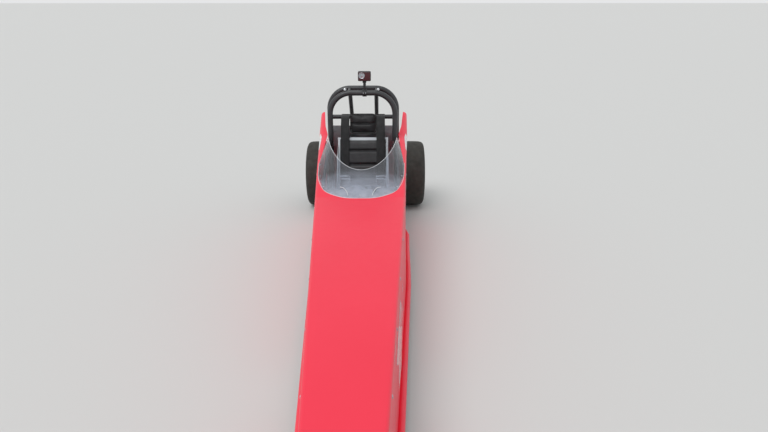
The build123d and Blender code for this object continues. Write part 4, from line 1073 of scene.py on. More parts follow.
class Trees:
    """The car's Geometry Nodes trees, each built once."""

    def __init__(self) -> None:
        """Build every tree."""
        self.spots = self.spot_tree()
        self.stitches = self.stitch_tree()

    def spot_tree(self) -> RepeatTree:
        """Stand one small shape on each point, its X axis along the point's aim.

        Returns:
            The tree.
        """
        kit = RepeatTree("fasteners_on_points", {"Fastener": "Object", "Scale": "Float"})
        shape = kit.node("GeometryNodeObjectInfo", {"Object": kit.given("Fastener")})
        aim = kit.node("GeometryNodeInputNamedAttribute", {"Name": "aim"}, data_type="FLOAT_VECTOR")
        turn = kit.node("FunctionNodeAlignRotationToVector", {"Vector": aim.outputs[0]}, axis="X")
        up = kit.node("GeometryNodeInputNamedAttribute", {"Name": "up"}, data_type="FLOAT_VECTOR")
        level = kit.node(
            "FunctionNodeAlignRotationToVector",
            {"Rotation": turn.outputs[0], "Vector": up.outputs[0]}, axis="Z", pivot_axis="X")
        spread = kit.node("GeometryNodeInstanceOnPoints", {
            "Points": kit.given("Geometry"), "Instance": shape.outputs["Geometry"],
            "Rotation": level.outputs[0], "Scale": kit.given("Scale")})
        kit.close(spread.outputs[0])
        return kit

    def sew(self, name: str, line: Sequence[Vector], spacing_mm: float,
            length_mm: float) -> bpy.types.Object:
        """Lay a row of stitches along a line of points.

        Args:
            name: The row's name.
            line: Points along the row, in metres.
            spacing_mm: From one stitch to the next.
            length_mm: How long a stitch is.

        Returns:
            The row of stitches.
        """
        return self.stitches.run(
            name, curve_source("seam", line), FINISH.seam_thread,
            Spacing=spacing_mm * MM, Length=length_mm * MM, Thread=1.0 * MM)

    def stitch_tree(self) -> RepeatTree:
        """Lay short raised stitches along a curve at a real spacing.

        Returns:
            The tree.
        """
        kit = RepeatTree("thread_stitches", {"Spacing": "Float", "Length": "Float", "Thread": "Float"})
        points = kit.node("GeometryNodeCurveToPoints",
                          {0: kit.given("Geometry"), "Length": kit.given("Spacing")}, mode="LENGTH")
        thread = kit.node("GeometryNodeMeshUVSphere", {"Segments": 8, "Rings": 5, "Radius": 0.5})
        size = kit.node("ShaderNodeCombineXYZ",
                        {"X": kit.given("Thread"), "Y": kit.given("Thread"), "Z": kit.given("Length")})
        spread = kit.node("GeometryNodeInstanceOnPoints", {
            0: points.outputs["Points"], "Instance": thread.outputs[0],
            "Rotation": points.outputs["Rotation"], "Scale": size.outputs[0]})
        kit.close(spread.outputs[0])
        return kit


def point_source(name: str, spots: Iterable[tuple[Vector, Vector]],
                 ups: Iterable[Vector] | None = None) -> bpy.types.Object:
    """Make a mesh of bare points that carry the direction each one faces.

    Args:
        name: The object's name.
        spots: Pairs of a point and its outward direction.
        ups: The direction that each shape's Z leans towards, or None for the world's up.

    Returns:
        The object.
    """
    pairs = list(spots)
    uppers = list(ups) if ups is not None else [UP] * len(pairs)
    data = bpy.data.meshes.new(name)
    data.from_pydata([spot for spot, _ in pairs], [], [])
    for label, values in (("aim", [aim for _, aim in pairs]), ("up", uppers)):
        stored = data.attributes.new(label, "FLOAT_VECTOR", "POINT")
        for index, value in enumerate(values):
            stored.data[index].vector = value
    obj = bpy.data.objects.new(name, data)
    bpy.context.scene.collection.objects.link(obj)
    return obj


def curve_source(name: str, points: Sequence[Vector]) -> bpy.types.Object:
    """Make a poly curve through points, for the trees that follow a path.

    Args:
        name: The new object's name.
        points: The points, in metres.

    Returns:
        The curve's object.
    """
    data = bpy.data.curves.new(name, "CURVE")
    data.dimensions = "3D"
    spline = data.splines.new("POLY")
    spline.points.add(len(points) - 1)
    for stored, spot in zip(spline.points, points):
        stored.co = (*spot, 1.0)
    obj = bpy.data.objects.new(name, data)
    bpy.context.scene.collection.objects.link(obj)
    return obj


def ring_spots(x: float, centre: tuple[float, float], ring: float, count: int, side: float,
               phase: float = 0.5) -> list[Spot]:
    """Space spots evenly round a ring, on a face that looks along the car's X axis.

    Args:
        x: The face's distance to the car's left, in millimetres.
        centre: The ring's middle as (ahead, height).
        ring: The ring's radius.
        count: How many spots there are.
        side: 1 where the face looks to the car's left and -1 where it looks to its right.
        phase: How far round the first spot is, as a share of the spacing.

    Returns:
        Pairs of a point and its outward direction.
    """
    turns = [2 * math.pi * (index + phase) / count for index in range(count)]
    return [(at(x, centre[0] + ring * math.cos(turn), centre[1] + ring * math.sin(turn)), LEFT * side)
            for turn in turns]


class Fastener(Enum):
    """The kinds of small fastener on the car."""

    DOMED_RIVET = "domed_rivet"
    BUTTON_SCREW = "button_screw"
    QUARTER_TURN = "quarter_turn"
    HEX_BOLT = "hex_bolt"

    def shape(self) -> bpy.types.Object:
        """Build one of this kind at the origin, standing along X, a few dozen faces.

        Returns:
            The object that the trees repeat.
        """
        build = bmesh.new()
        here = Matrix.Identity(4)
        if self is Fastener.DOMED_RIVET:
            lathe(build, [(-0.2, 3.0), (0.35, 2.9), (1.0, 1.9), (1.3, 0.7), (1.35, 0.0)], here, 10)
        elif self is Fastener.BUTTON_SCREW:
            lathe(build, [(-0.2, 5.2), (0.6, 5.2), (0.9, 4.2), (2.0, 3.8), (2.7, 2.6), (2.8, 1.5),
                          (1.6, 1.4), (1.6, 0.0)], here, 12)
        elif self is Fastener.QUARTER_TURN:
            lathe(build, [(-0.2, 8.5), (0.8, 8.3), (1.5, 6.9), (1.1, 6.5), (1.1, 5.8), (2.2, 5.6),
                          (2.6, 4.8), (2.6, 0.0)], here, 16)
            slot_size = Matrix.Diagonal((1.0, 9.6, 1.5, 1.0))
            slot_place = Matrix.Translation((2.4 * MM, 0, 0)) @ slot_size
            bmesh.ops.create_cube(build, size=1.0 * MM, matrix=slot_place)
        else:
            hexagon(build, here, 10.0, 6.5)
        return mesh_object("shape_" + self.value, build)


def fasten(trees: Trees, name: str, body: Body, spots: Iterable[Spot], kind: Fastener | bpy.types.Object,
           scale: float = 1.0, ups: Iterable[Vector] | None = None, finish: Finish = FINISH.zinc_steel,
           slot: str = "steel") -> None:
    """Stand one small shape on each spot, as one finished piece.

    Args:
        trees: The Geometry Nodes trees.
        name: The piece's name.
        body: The rigid body that carries it.
        spots: Pairs of a point and its outward direction.
        kind: The kind of fastener, or the object to repeat.
        scale: Its size against the kind's own.
        ups: The direction that each shape's Z leans towards, or None for the world's up.
        finish: Its finish.
        slot: The record's material slot.
    """
    shape = kind.shape() if isinstance(kind, Fastener) else kind
    made = trees.spots.run(name, point_source("spots", spots, ups), finish, Fastener=shape, Scale=scale)
    finished(made, body, slot, finish, sharp=30.0)


# Stage

@dataclass
class Stage:
    """The pale floor, the even studio light and the camera that took the photograph's view."""

    camera_height: float = 1.484
    camera_ahead_mm: float = 4158.0
    camera_x: float = 0.104
    pitch_deg: float = 20.9
    yaw_deg: float = -0.35
    focal_px: float = 600.0
    frame_px: float = 768.0
    floor_half: float = 60.0
    sun_strength: float = 1.35
    sky_strength: float = 0.66

    def camera(self) -> None:
        """Stand the camera where the photograph was taken."""
        data = bpy.data.cameras.new("main_camera")
        data.sensor_width = 36.0
        data.lens = self.focal_px / self.frame_px * data.sensor_width
        data.clip_end = 300.0
        obj = bpy.data.objects.new("main_camera", data)
        obj.location = (self.camera_x, (REAR_AXLE_Y - self.camera_ahead_mm) * MM, self.camera_height)
        obj.rotation_euler = (math.radians(90.0 - self.pitch_deg), 0.0, math.radians(self.yaw_deg))
        bpy.context.scene.collection.objects.link(obj)
        bpy.context.scene.camera = obj

    def lights(self) -> None:
        """Light the car as an overcast sky would: one wide soft sun and an even world."""
        data = bpy.data.lights.new("soft_sun", "SUN")
        data.energy = self.sun_strength
        data.angle = math.radians(40.0)
        obj = bpy.data.objects.new("soft_sun", data)
        obj.rotation_euler = (math.radians(28.0), math.radians(-20.0), 0.0)
        bpy.context.scene.collection.objects.link(obj)
        world = bpy.data.worlds.new("studio")
        bpy.context.scene.world = world
        world.use_nodes = True
        tree = world.node_tree
        tree.nodes.clear()
        rays = add(tree, "ShaderNodeLightPath")
        direct = add(tree, "ShaderNodeMath", {
            0: rays.outputs["Is Camera Ray"], 1: rays.outputs["Is Transmission Ray"]}, operation="MAXIMUM")
        seen = add(tree, "ShaderNodeMath", {
            0: direct.outputs[0], 1: rays.outputs["Is Glossy Ray"]}, operation="MAXIMUM")
        dim = add(tree, "ShaderNodeBackground", {0: colour("#F4F6F8"), 1: self.sky_strength})
        pale = add(tree, "ShaderNodeBackground", {0: colour("#E6E7E8"), 1: 1.0})
        both = add(tree, "ShaderNodeMixShader", {0: seen.outputs[0], 1: dim.outputs[0], 2: pale.outputs[0]})
        add(tree, "ShaderNodeOutputWorld", {0: both.outputs[0]})

    def floor(self) -> None:
        """Lay the plain pale floor."""
        build = bmesh.new()
        bmesh.ops.create_grid(build, x_segments=1, y_segments=1, size=self.floor_half)
        obj = mesh_object("floor", build, smooth=False)
        made = bpy.data.materials.new("pale_floor")
        made.use_nodes = True
        shader = made.node_tree.nodes["Principled BSDF"]
        shader.inputs["Base Color"].default_value = colour("#D6D6D4")
        shader.inputs["Roughness"].default_value = 0.9
        obj.data.materials.append(made)

    def set_up(self) -> None:
        """Make the camera, the lights and the floor."""
        bpy.context.scene.view_settings.view_transform = "Standard"
        self.camera()
        self.lights()
        self.floor()


# Running gear

@dataclass
class RearWheels:
    """The slicks, bead-ring bolts and hub nuts of the two driven wheels."""

    track_mm: float = 618.0
    width_mm: float = 208.0
    rim_mm: float = 101.6
    bolts: int = 12
    bolt_ring_mm: float = 103.0
    nuts: int = 4
    nut_ring_mm: float = 34.0

    def tyre_profile(self) -> list[tuple[float, float]]:
        """Give the tyre's closed section: crowned tread, round shoulders, beads on the rim.

        Returns:
            Points of (along the axle, radius) in millimetres.
        """
        half = self.width_mm / 2
        radius = REAR_TYRE_RADIUS
        rim = self.rim_mm
        outer = [(-half + 14, rim + 1.0), (-half + 12, rim + 9), (-half + 5, rim + 14),
                 (-half + 3, rim + 17), (-half + 4.5, rim + 19.5), (-half + 1.2, rim + 24),
                 (-half - 0.0, radius - 62), (-half + 0.4, radius - 44), (-half + 3.0, radius - 26),
                 (-half + 9.5, radius - 13), (-half + 20, radius - 5.5), (-half + 36, radius - 1.8),
                 (-half + 62, radius - 0.5), (0.0, radius)]
        inner = [(x + 7.0 if x < -half + 30 else x, r - 7.0) for x, r in outer[4:]]
        left = outer + [(-x, r) for x, r in reversed(outer[:-1])]
        lining = inner + [(-x, r) for x, r in reversed(inner[:-1])]
        return left + list(reversed(lining))

    def tyre(self, side: Side) -> None:
        """Build one slick, replacing its CAD solid.

        Args:
            side: Which side of the car.
        """
        label = side.name.lower()
        build = bmesh.new()
        lathe(build, self.tyre_profile(), placed(side.value * self.track_mm / 2, *AXLE), 128, closed=True)
        piece("rear_slick_" + label, build, "tyre_rubber", FINISH.rear_rubber, body=Body.REAR_AXLE,
              replaces=["rear_tyre_" + label], sharp=40.0)

    def rim(self, side: Side, trees: Trees) -> None:
        """Build one rim's hardware: the bead ring's bolts and the hub's nuts.

        Args:
            side: Which side of the car.
            trees: The trees that repeat small pieces.
        """
        label = side.name.lower()
        for name, out, ring, count, scale in (
                ("rear_rim_ring_bolts_", self.width_mm / 2 - 7.8, self.bolt_ring_mm, self.bolts, 0.62),
                ("rear_hub_nuts_", 14.0, self.nut_ring_mm, self.nuts, 1.0)):
            x = side.value * (self.track_mm / 2 + out)
            fasten(trees, name + label, Body.REAR_AXLE, ring_spots(x, AXLE, ring, count, side.value),
                   Fastener.HEX_BOLT, scale)

    def make(self, trees: Trees) -> None:
        """Build both wheels' looks.

        Args:
            trees: The trees that repeat small pieces.
        """
        for side in Side:
            self.tyre(side)
            self.rim(side, trees)


@dataclass
class FrontWheels:
    """The tyres, hub screws and bright hub collars of the two steered disc wheels."""

    track_mm: float = 530.0
    width_mm: float = 50.0
    rim_mm: float = 218.0

    def tyre_profile(self) -> list[tuple[float, float]]:
        """Give the tyre's closed section, with two fine rain grooves.

        Returns:
            Points of (along the axle, radius) in millimetres.
        """
        half = self.width_mm / 2
        radius = FRONT_TYRE_RADIUS
        rim = self.rim_mm
        outer = [(-15.8, rim + 0.4), (-half + 2.4, rim + 6), (-half + 0.8, rim + 10), (-half, radius - 18),
                 (-half + 1.0, radius - 12), (-half + 4, radius - 6.5), (-half + 8.5, radius - 2.8),
                 (-14.0, radius - 1.0), (-9.5, radius - 0.35), (-9.0, radius - 1.6), (-7.6, radius - 1.6),
                 (-7.1, radius - 0.25), (0.0, radius)]
        return outer + [(-x, r) for x, r in reversed(outer[:-1])]

    def make(self, trees: Trees) -> None:
        """Build both wheels' tyres, hub screws and hub collars.

        Args:
            trees: The trees that repeat small pieces.
        """
        for side in Side:
            body = Body.FRONT_LEFT if side is Side.LEFT else Body.FRONT_RIGHT
            label = side.name.lower()
            build = bmesh.new()
            lathe(build, self.tyre_profile(), placed(side.value * self.track_mm / 2, *SPINDLES), 128,
                  closed=True)
            piece("front_runner_" + label, build, "tyre_rubber", FINISH.front_rubber, body=body,
                  replaces=["front_tyre_" + label], sharp=32.0)
            hub = self.track_mm / 2 + 27.0
            screws = ring_spots(side.value * (hub - 3.2), SPINDLES, 28.5, 6, side.value, 0.0)
            fasten(trees, "front_hub_screws_" + label, body, screws, Fastener.BUTTON_SCREW, 0.7)
            build = bmesh.new()
            lathe(build, softened([
                (0.4, 12.4), (0.4, 21.5), (3.0, 21.5), (9.0, 20.0), (11.0, 17.0), (11.0, 12.0), (9.2, 11.6)],
                1.2, 3), aimed(at(side.value * hub, *SPINDLES), LEFT * side.value), 48)
            collar = mesh_object("front_hub_collar_" + label, build)
            modifier = collar.modifiers.new("thickness", "SOLIDIFY")
            modifier.thickness = 0.8 * MM
            finished(collar, body, "rim_alloy", FINISH.polished_alloy, sharp=40.0)


# Body skin

@dataclass
class BodySkin:
    """What is laid on or screwed to the painted panels."""

    film_mm: float = 0.2
    film_cell_mm: float = 7.0
    film_lift_mm: float = 0.3
    turn_pitch_mm: float = 330.0
    # The nose's half width at the top, half width at the foot and half height, each with the
    # power that shapes its run to the tip.
    nose_girth: tuple[tuple[float, float], ...] = ((51.0, 3.2), (90.6, 2.6), (79.3, 2.8))
    nose_middle: float = 159.7
    nose_droop: float = 9.0
    nose_steps: int = 22
    nose_lined_steps: int = 15
    nose_wall_mm: float = 3.0
    nose_blunt: float = 0.9994
    nose_corner_steps: int = 8

    def __post_init__(self) -> None:
        """Read the painted panels of each side, so that films can be laid on them."""
        self.panels: dict[Side, list[BVHTree]] = {}
        for side in Side:
            label = side.name.lower()
            self.panels[side] = []
            for node in ("side_panel_" + label, "cockpit_side_" + label):
                data = bpy.data.objects[node].data
                points = [vert.co.copy() for vert in data.vertices]
                faces = [tuple(face.vertices) for face in data.polygons]
                self.panels[side].append(BVHTree.FromPolygons(points, faces))

    def on_panel(self, ahead: float, z: float, side: Side, lift_mm: float) -> Vector:
        """Find the place just off a side panel's outer face, seen from the side.

        Args:
            ahead: Millimetres ahead of the rear axle.
            z: The height in millimetres.
            side: Which side of the car.
            lift_mm: How far off the face.

        Returns:
            The place, in metres.
        """
        origin = at(side.value * 600.0, ahead, z)
        for tree in self.panels[side]:
            hit, out, _, _ = tree.ray_cast(origin, Vector((-side.value, 0.0, 0.0)))
            if hit:
                return hit + out * math.copysign(lift_mm * MM, out.x * side.value)
        return wall_point(ahead, z, side, lift_mm)

    def film(self, name: str, outline: Sequence[tuple[float, float]], side: Side, finish: Finish) -> None:
        """Lay a cut piece of vinyl on a side wall.

        Args:
            name: The piece's name.
            outline: Its corners as (ahead, height) in millimetres.
            side: Which wall it lies on.
            finish: Its colour.
        """
        build = bmesh.new()
        build.faces.new([build.verts.new((ahead, z, 0.0)) for ahead, z in outline])
        for axis in (0, 1):
            low = min(point[axis] for point in outline)
            high = max(point[axis] for point in outline)
            cuts = int((high - low) / self.film_cell_mm)
            for index in range(cuts):
                spot = [0.0, 0.0, 0.0]
                spot[axis] = low + (index + 1) * (high - low) / (cuts + 1)
                normal = [0.0, 0.0, 0.0]
                normal[axis] = 1.0
                geometry = build.verts[:] + build.edges[:] + build.faces[:]
                bmesh.ops.bisect_plane(build, geom=geometry, plane_co=spot, plane_no=normal)
        bmesh.ops.triangulate(build, faces=build.faces[:])
        for vert in build.verts:
            vert.co = self.on_panel(vert.co.x, vert.co.y, side, self.film_lift_mm)
        obj = mesh_object(name, build)
        if sum(face.normal.x * face.area for face in obj.data.polygons) * side.value < 0:
            obj.data.flip_normals()
        thick = obj.modifiers.new("thickness", "SOLIDIFY")
        thick.thickness = self.film_mm * MM
        thick.offset = 1.0
        kept_result(obj)
        finished(obj, Body.CHASSIS, "red_paint", finish, sharp=30.0)

    def stripes(self) -> None:
        """Lay the plain stripes and patches along both side walls."""
        for side in Side:
            label = side.name.lower()
            self.film("pink_side_flash_" + label,
                      [(2085, 344), (2220, 311), (2140, 250), (2025, 192), (1780, 176), (1930, 214)], side,
                      FINISH.pink_film)
            self.film("white_side_flash_" + label, [
                (2222, 311), (2425, 276), (2330, 214), (2400, 150), (2185, 108), (2027, 192), (2142, 250)],
                side, FINISH.white_film)
            self.film("white_edge_pinstripe_" + label, [
                (2350, 368), (2455, 362), (2535, 353), (2455, 357)], side, FINISH.white_film)
            self.film("small_white_fleck_" + label, [
                (1845, 292), (1890, 276), (1884, 268), (1850, 280)], side, FINISH.white_film)
            self.film("white_rear_patch_" + label, [
                (985, 546), (1105, 514), (1085, 452), (1010, 448)], side, FINISH.white_film)
            self.film("white_shoulder_flash_" + label,
                      [(575, 652), (650, 634), (765, 604), (745, 578), (650, 600), (590, 618)], side,
                      FINISH.white_film)
            self.film("white_shoulder_fleck_" + label,
                      [(500, 462), (640, 446), (950, 400), (1020, 371), (930, 376), (600, 424)], side,
                      FINISH.white_film)
            self.film("white_tail_sweep_" + label, [
                (362, 600), (420, 560), (560, 520), (700, 500), (560, 498), (420, 530), (362, 560)],
                side, FINISH.white_film)

    def screen_fixings(self, trees: Trees) -> None:
        """Screw the clear sheet down and edge it: screws, polished rim and front beading drawn in pale
        painted highlight, two ties.

        Args:
            trees: The trees that repeat small pieces.
        """
        spots = []
        for ahead, x in ((1276.0, 0.0), (1251.0, 128.0), (1192.0, 190.0), (1090.0, 218.0), (975.0, 226.0)):
            for side in ((1.0,) if x == 0.0 else (1.0, -1.0)):
                here = screen_point(ahead, side * x)
                across = screen_point(ahead, side * x - 6.0) - here
                along = screen_point(ahead - 6.0, side * x) - here
                up = across.cross(along)
                up = up if up.z > 0 else -up
                spots.append((here, up.normalized()))
        fasten(trees, "screen_screws", Body.CHASSIS, spots, Fastener.BUTTON_SCREW, 0.95)

        rim = []
        half_width, half_length = SCREEN_CUT
        for index in range(97):
            turn = math.radians(11.0 + index * 158.0 / 96)
            x = half_width * math.cos(turn)
            rim.append(screen_point(SCREEN_CUT_AHEAD + half_length * math.sin(turn), x, -1.0))
        # The rim is a thin pale tube: a painted highlight along the sheet's cut edge.
        build = bmesh.new()
        tube(build, rim, 1.5 * MM, 8)
        piece("screen_polished_rim", build, "clear_screen", FINISH.edge_highlight)

        foot = []
        left = [(half, ahead) for ahead, half, _, _ in SCREEN_ROWS[:-1]]
        line = [(-half, ahead) for half, ahead in reversed(left)] + left
        for x, ahead in line:
            foot.append(at(x, ahead, body_at(ahead)[1] + 1.4))
        # The foot bead is a thin pale tube too: a painted highlight along the sheet's front foot.
        build = bmesh.new()
        tube(build, smooth_path(foot, 8), 1.3 * MM, 6)
        piece("screen_foot_bead", build, "clear_screen", FINISH.edge_highlight)

        build = bmesh.new()
        for side in (1, -1):
            hook = [(62, 1277, 2.5), (66, 1262, 9.0), (74, 1246, 15.5), (84, 1232, 19.0), (96, 1224, 19.5),
                    (104, 1220, 16.0)]
            tube(build,
                 smooth_path([screen_point(a, side * x, lift * 0.35 + 1.0) for x, a, lift in hook], 6),
                 1.3 * MM, 8)
        piece("screen_tie_loops", build, "red_paint", FINISH.white_film)

    def panel_fasteners(self, trees: Trees) -> None:
        """Quarter-turns along the hood's lip and domed rivets along the belly pan.

        Args:
            trees: The trees that repeat small pieces.
        """
        spots = []
        ups = []
        for side in Side:
            out = Vector((side.value, 0.0, 0.12)).normalized()
            ahead = 1010.0
            while ahead < 3930.0:
                top = body_at(ahead)[1] - 14.0 - 17.0
                spots.append((self.on_panel(ahead, top, side, 0.0), out))
                ups.append(Vector((0.0, 1.0, 0.25)))
                ahead += self.turn_pitch_mm
            for ahead in (390.0, 560.0, 740.0, 910.0):
                spots.append((self.on_panel(ahead, 150.0, side, 0.0), out))
                ups.append(Vector((0.0, 1.0, 0.4)))
        fasten(trees, "panel_quarter_turns", Body.CHASSIS, spots, Fastener.QUARTER_TURN, 0.9, ups)
        spots = []
        for side in (1, -1):
            ahead = 380.0
            while ahead < 3940.0:
                spots.append((at(side * (rail_x(ahead) - 9.0), ahead, RAIL_HEIGHT - BEAD_RADIUS), DOWN))
                ahead += 110.0
        fasten(trees, "belly_pan_rivets", Body.CHASSIS, spots, Fastener.DOMED_RIVET, 1.0,
               [REARWARD] * len(spots), FINISH.rubbed_sheet, "sheet_aluminium")

    def nose_corners(self, share: float, inset: float) -> tuple[list[Vector], float]:
        """Give the nose's four corners at a share of its length, and the radius that rounds them.

        Args:
            share: Where along the nose, from 0 at its seam to 1 at its tip.
            inset: How far inside the outer face, in millimetres.

        Returns:
            The corners in order round the section, and the radius.
        """
        half, foot, tall = (full * math.sqrt(1.0 - share ** power) - inset
                            for full, power in self.nose_girth)
        ahead = NOSE_SEAM + share * (NOSE_TIP - NOSE_SEAM)
        middle = self.nose_middle - self.nose_droop * share
        corners = [at(-foot, ahead, middle - tall), at(foot, ahead, middle - tall),
                   at(half, ahead, middle + tall), at(-half, ahead, middle + tall)]
        return corners, min(HOOD_CORNER + 12.0 * share, 0.9 * half, 0.9 * tall) * MM

    def nose_ring(self, build: bmesh.types.BMesh, share: float, inset: float) -> list[bmesh.types.BMVert]:
        """Draw one section of the nose, a trapezium with round corners.

        Args:
            build: The bmesh that gets the faces.
            share: Where along the nose, from 0 at its seam to 1 at its tip.
            inset: How far inside the outer face, in millimetres.

        Returns:
            The section's corners in order.
        """
        corners, radius = self.nose_corners(share, inset)
        ring = []
        for index, corner in enumerate(corners):
            before = (corners[index - 1] - corner).normalized()
            after = (corners[(index + 1) % 4] - corner).normalized()
            half_turn = before.angle(after) / 2
            centre = corner + (before + after).normalized() * radius / math.sin(half_turn)
            start = (corner + before * radius / math.tan(half_turn) - centre).normalized()
            end = (corner + after * radius / math.tan(half_turn) - centre).normalized()
            for step in range(self.nose_corner_steps + 1):
                turned = start.slerp(end, step / self.nose_corner_steps)
                ring.append(build.verts.new(centre + turned * radius))
        return ring

    def nose(self, trees: Trees) -> None:
        """Replace the flat-sided nose with one smooth, blunt shell, and screw it on.

        Args:
            trees: The trees that repeat small pieces.
        """
        build = bmesh.new()
        shares = [math.sin(math.pi / 2 * step / self.nose_steps) * self.nose_blunt
                  for step in range(self.nose_steps + 1)]
        outer = [self.nose_ring(build, share, 0.0) for share in shares]
        inner = [self.nose_ring(build, share, self.nose_wall_mm) for share in shares[:self.nose_lined_steps]]
        bridge(build, inner[::-1] + outer)
        piece("smooth_nose", build, "red_paint", FINISH.body_paint, replaces=["nose_cone"], sharp=50.0)
        spots = []
        for side in Side:
            corners, _ = self.nose_corners(0.09, 0.0)
            low, high = (corners[1], corners[2]) if side.value > 0 else (corners[0], corners[3])
            out = Vector((high.z - low.z, 0.0, abs(low.x - high.x)))
            out.x *= side.value
            spots += [(low.lerp(high, place) + out.normalized() * 0.2 * MM, out) for place in (0.25, 0.75)]
        fasten(trees, "nose_screws", Body.CHASSIS, spots, Fastener.BUTTON_SCREW)

    def make(self, trees: Trees) -> None:
        """Build everything on the skin.

        Args:
            trees: The trees that repeat small pieces.
        """
        self.nose(trees)
        self.stripes()
        self.screen_fixings(trees)
        self.panel_fasteners(trees)


# Frame

@dataclass
class FrameDetail:
    """Weld beads where the tubes meet, and the tabs and bolts on the front hoop."""

    bead_mm: float = 2.3
    step_mm: float = 2.6

    def saddle(self, foot: Vector, along: Vector, radius: float, main: Vector, main_along: Vector,
               main_radius: float) -> list[Vector]:
        """Find the line where a round tube lands on another.

        Args:
            foot: A point on the landing tube's axis, in metres, outside the main tube.
            along: Its direction, towards the main tube.
            radius: Its radius in millimetres.
            main: A point on the main tube's axis, in metres.
            main_along: The main tube's direction.
            main_radius: The main tube's radius in millimetres.

        Returns:
            The closed line's points.
        """
        along = along.normalized()
        main_along = main_along.normalized()
        side = along.cross(main_along).normalized()
        other = along.cross(side)
        run = along - main_along * along.dot(main_along)
        count = max(16, int(2 * math.pi * radius / self.step_mm))
        points = []
        for index in range(count):
            turn = 2 * math.pi * index / count
            start = foot + (side * math.cos(turn) + other * math.sin(turn)) * radius * MM
            gap = start - main
            gap = gap - main_along * gap.dot(main_along)
            a, b = run.dot(run), 2 * gap.dot(run)
            c = gap.dot(gap) - (main_radius * MM) ** 2
            reach = (-b - math.sqrt(max(b * b - 4 * a * c, 0.0))) / (2 * a)
            points.append(start + along * reach)
        return points

    def joints(self) -> list[list[Vector]]:
        """List the saddles of the joints that show: cage, tail, struts and cross tubes.

        Returns:
            For each joint, the points round it, in metres.
        """
        front_ahead, front_top, front_width = FRONT_HOOP
        rear_ahead, rear_top, rear_width = REAR_HOOP
        front_z, rear_z = front_top - HOOP_TUBE, rear_top - HOOP_TUBE
        leg = rear_width / 2 - HOOP_TUBE
        tail_z = 350.0 + 11.0 / 450.0 * 70.0
        found = []
        for side in (1, -1):
            front = at(side * 80.0, front_ahead, front_z)
            rear = at(side * 80.0, rear_ahead, rear_z)
            middle = (front + rear) / 2
            found.append(self.saddle(middle, front - rear, BRACE_RADIUS, front, LEFT, HOOP_TUBE))
            found.append(self.saddle(middle, rear - front, BRACE_RADIUS, rear, LEFT, HOOP_TUBE))
            tail = at(side * 80.0, TAIL_TAB_AHEAD, tail_z)
            middle = (rear + tail) / 2
            found.append(self.saddle(middle, rear - tail, CAGE_RADIUS, rear, LEFT, HOOP_TUBE))
            found.append(self.saddle(middle, tail - rear, CAGE_RADIUS, tail, LEFT, RAIL_RADIUS))
            bar = at(side * leg, rear_ahead, SHOULDER_BAR_HEIGHT)
            found.append(self.saddle(at(0.0, rear_ahead, SHOULDER_BAR_HEIGHT), LEFT * side, CAGE_RADIUS,
                                     bar, UP, HOOP_TUBE))
            bend = at(side * REAR_RAIL_X, 300.0, 420.0)
            land = at(side * leg, rear_ahead, 560.0)
            found.append(self.saddle(bend, land - bend, RAIL_RADIUS, land, UP, HOOP_TUBE))
            foot = at(side * (front_width / 2 - HOOP_TUBE), front_ahead, 640.0)
            rail = at(side * 202.0, front_ahead, 599.4)
            found.append(self.saddle(foot + UP * 0.08, DOWN, HOOP_TUBE, rail, Vector((0.0, -1.0, -0.2)),
                                     9.5))
            post = at(side * REAR_RAIL_X, -110.0, 200.0)
            found.append(self.saddle(post, DOWN, BRACE_RADIUS, at(side * REAR_RAIL_X, -110.0, RAIL_HEIGHT),
                                     REARWARD, RAIL_RADIUS))
            found.append(self.saddle(post, UP, BRACE_RADIUS, at(side * REAR_RAIL_X, -110.0, 356.2),
                                     Vector((0.0, 1.0, -0.155)), RAIL_RADIUS))
            for ahead in (TAIL_TAB_AHEAD, 250.0, 430.0, 520.0, 860.0):
                near = at(side * rail_x(ahead), ahead, RAIL_HEIGHT)
                run = at(side * rail_x(ahead + 10.0), ahead + 10.0, RAIL_HEIGHT) - near
                found.append(self.saddle(at(0.0, ahead, RAIL_HEIGHT), LEFT * side, BRACE_RADIUS, near, run,
                                         RAIL_RADIUS))
        return found

    def welds(self, trees: Trees) -> None:
        """Lay a rippled bead round each joint.

        Args:
            trees: The trees that repeat small pieces.
        """
        ripples = []
        for line in self.joints():
            count = len(line)
            for index, spot in enumerate(line):
                run = line[(index + 1) % count] - line[index - 1]
                ripples.append((spot, run.normalized()))
        shape = bmesh.new()
        bmesh.ops.create_icosphere(shape, subdivisions=1, radius=self.bead_mm * MM)
        source = mesh_object("shape_ripple", shape)
        beads = trees.spots.run("tube_weld_beads", point_source("ripples", ripples), FINISH.frame_coat,
                                Fastener=source, Scale=1.0)
        finished(beads, Body.CHASSIS, "frame_paint", FINISH.frame_coat, sharp=None)

    def hoop_tabs(self, trees: Trees) -> None:
        """The two small ears under the front hoop's top, with the shiny bolts that the photo shows.

        Args:
            trees: The trees that repeat small pieces.
        """
        ahead, top, _ = FRONT_HOOP
        spots = []
        build = bmesh.new()
        for side in (1, -1):
            x = side * 96.0 - 4.0
            z = top - 4.0
            centre = at(x, ahead + 1.0, z)
            spots.append((at(x, ahead + 4.0, z + 9.0), Vector((0.0, -1.0, 0.35)).normalized()))
            plate = softened([(-9.0, -12.0), (9.0, -12.0), (9.0, 16.0), (-9.0, 16.0)], 6.0, 4, closed=True)
            rings = [
                [build.verts.new(centre + Vector((px * MM, offset * MM, pz * MM))) for px, pz in plate]
                for offset in (-3.0, 1.0)
            ]
            bridge(build, rings)
        piece("hoop_ears", build, "frame_paint", FINISH.frame_coat, sharp=30.0)
        fasten(trees, "hoop_ear_bolts", Body.CHASSIS, spots, Fastener.BUTTON_SCREW, 1.5,
               finish=FINISH.polished_alloy)

    def make(self, trees: Trees) -> None:
        """Build the frame's welds and tabs."""
        self.welds(trees)
        self.hoop_tabs(trees)


# Cockpit

SEAT_LINE = ((1080.0, 140.0), (806.0, 95.2), (625.0, 640.0))
SEAT_BEND = 45.0
PAD_THICK = 24.0
PAD_WIDTH = 270.0
CLOTH_FRAMES = 20


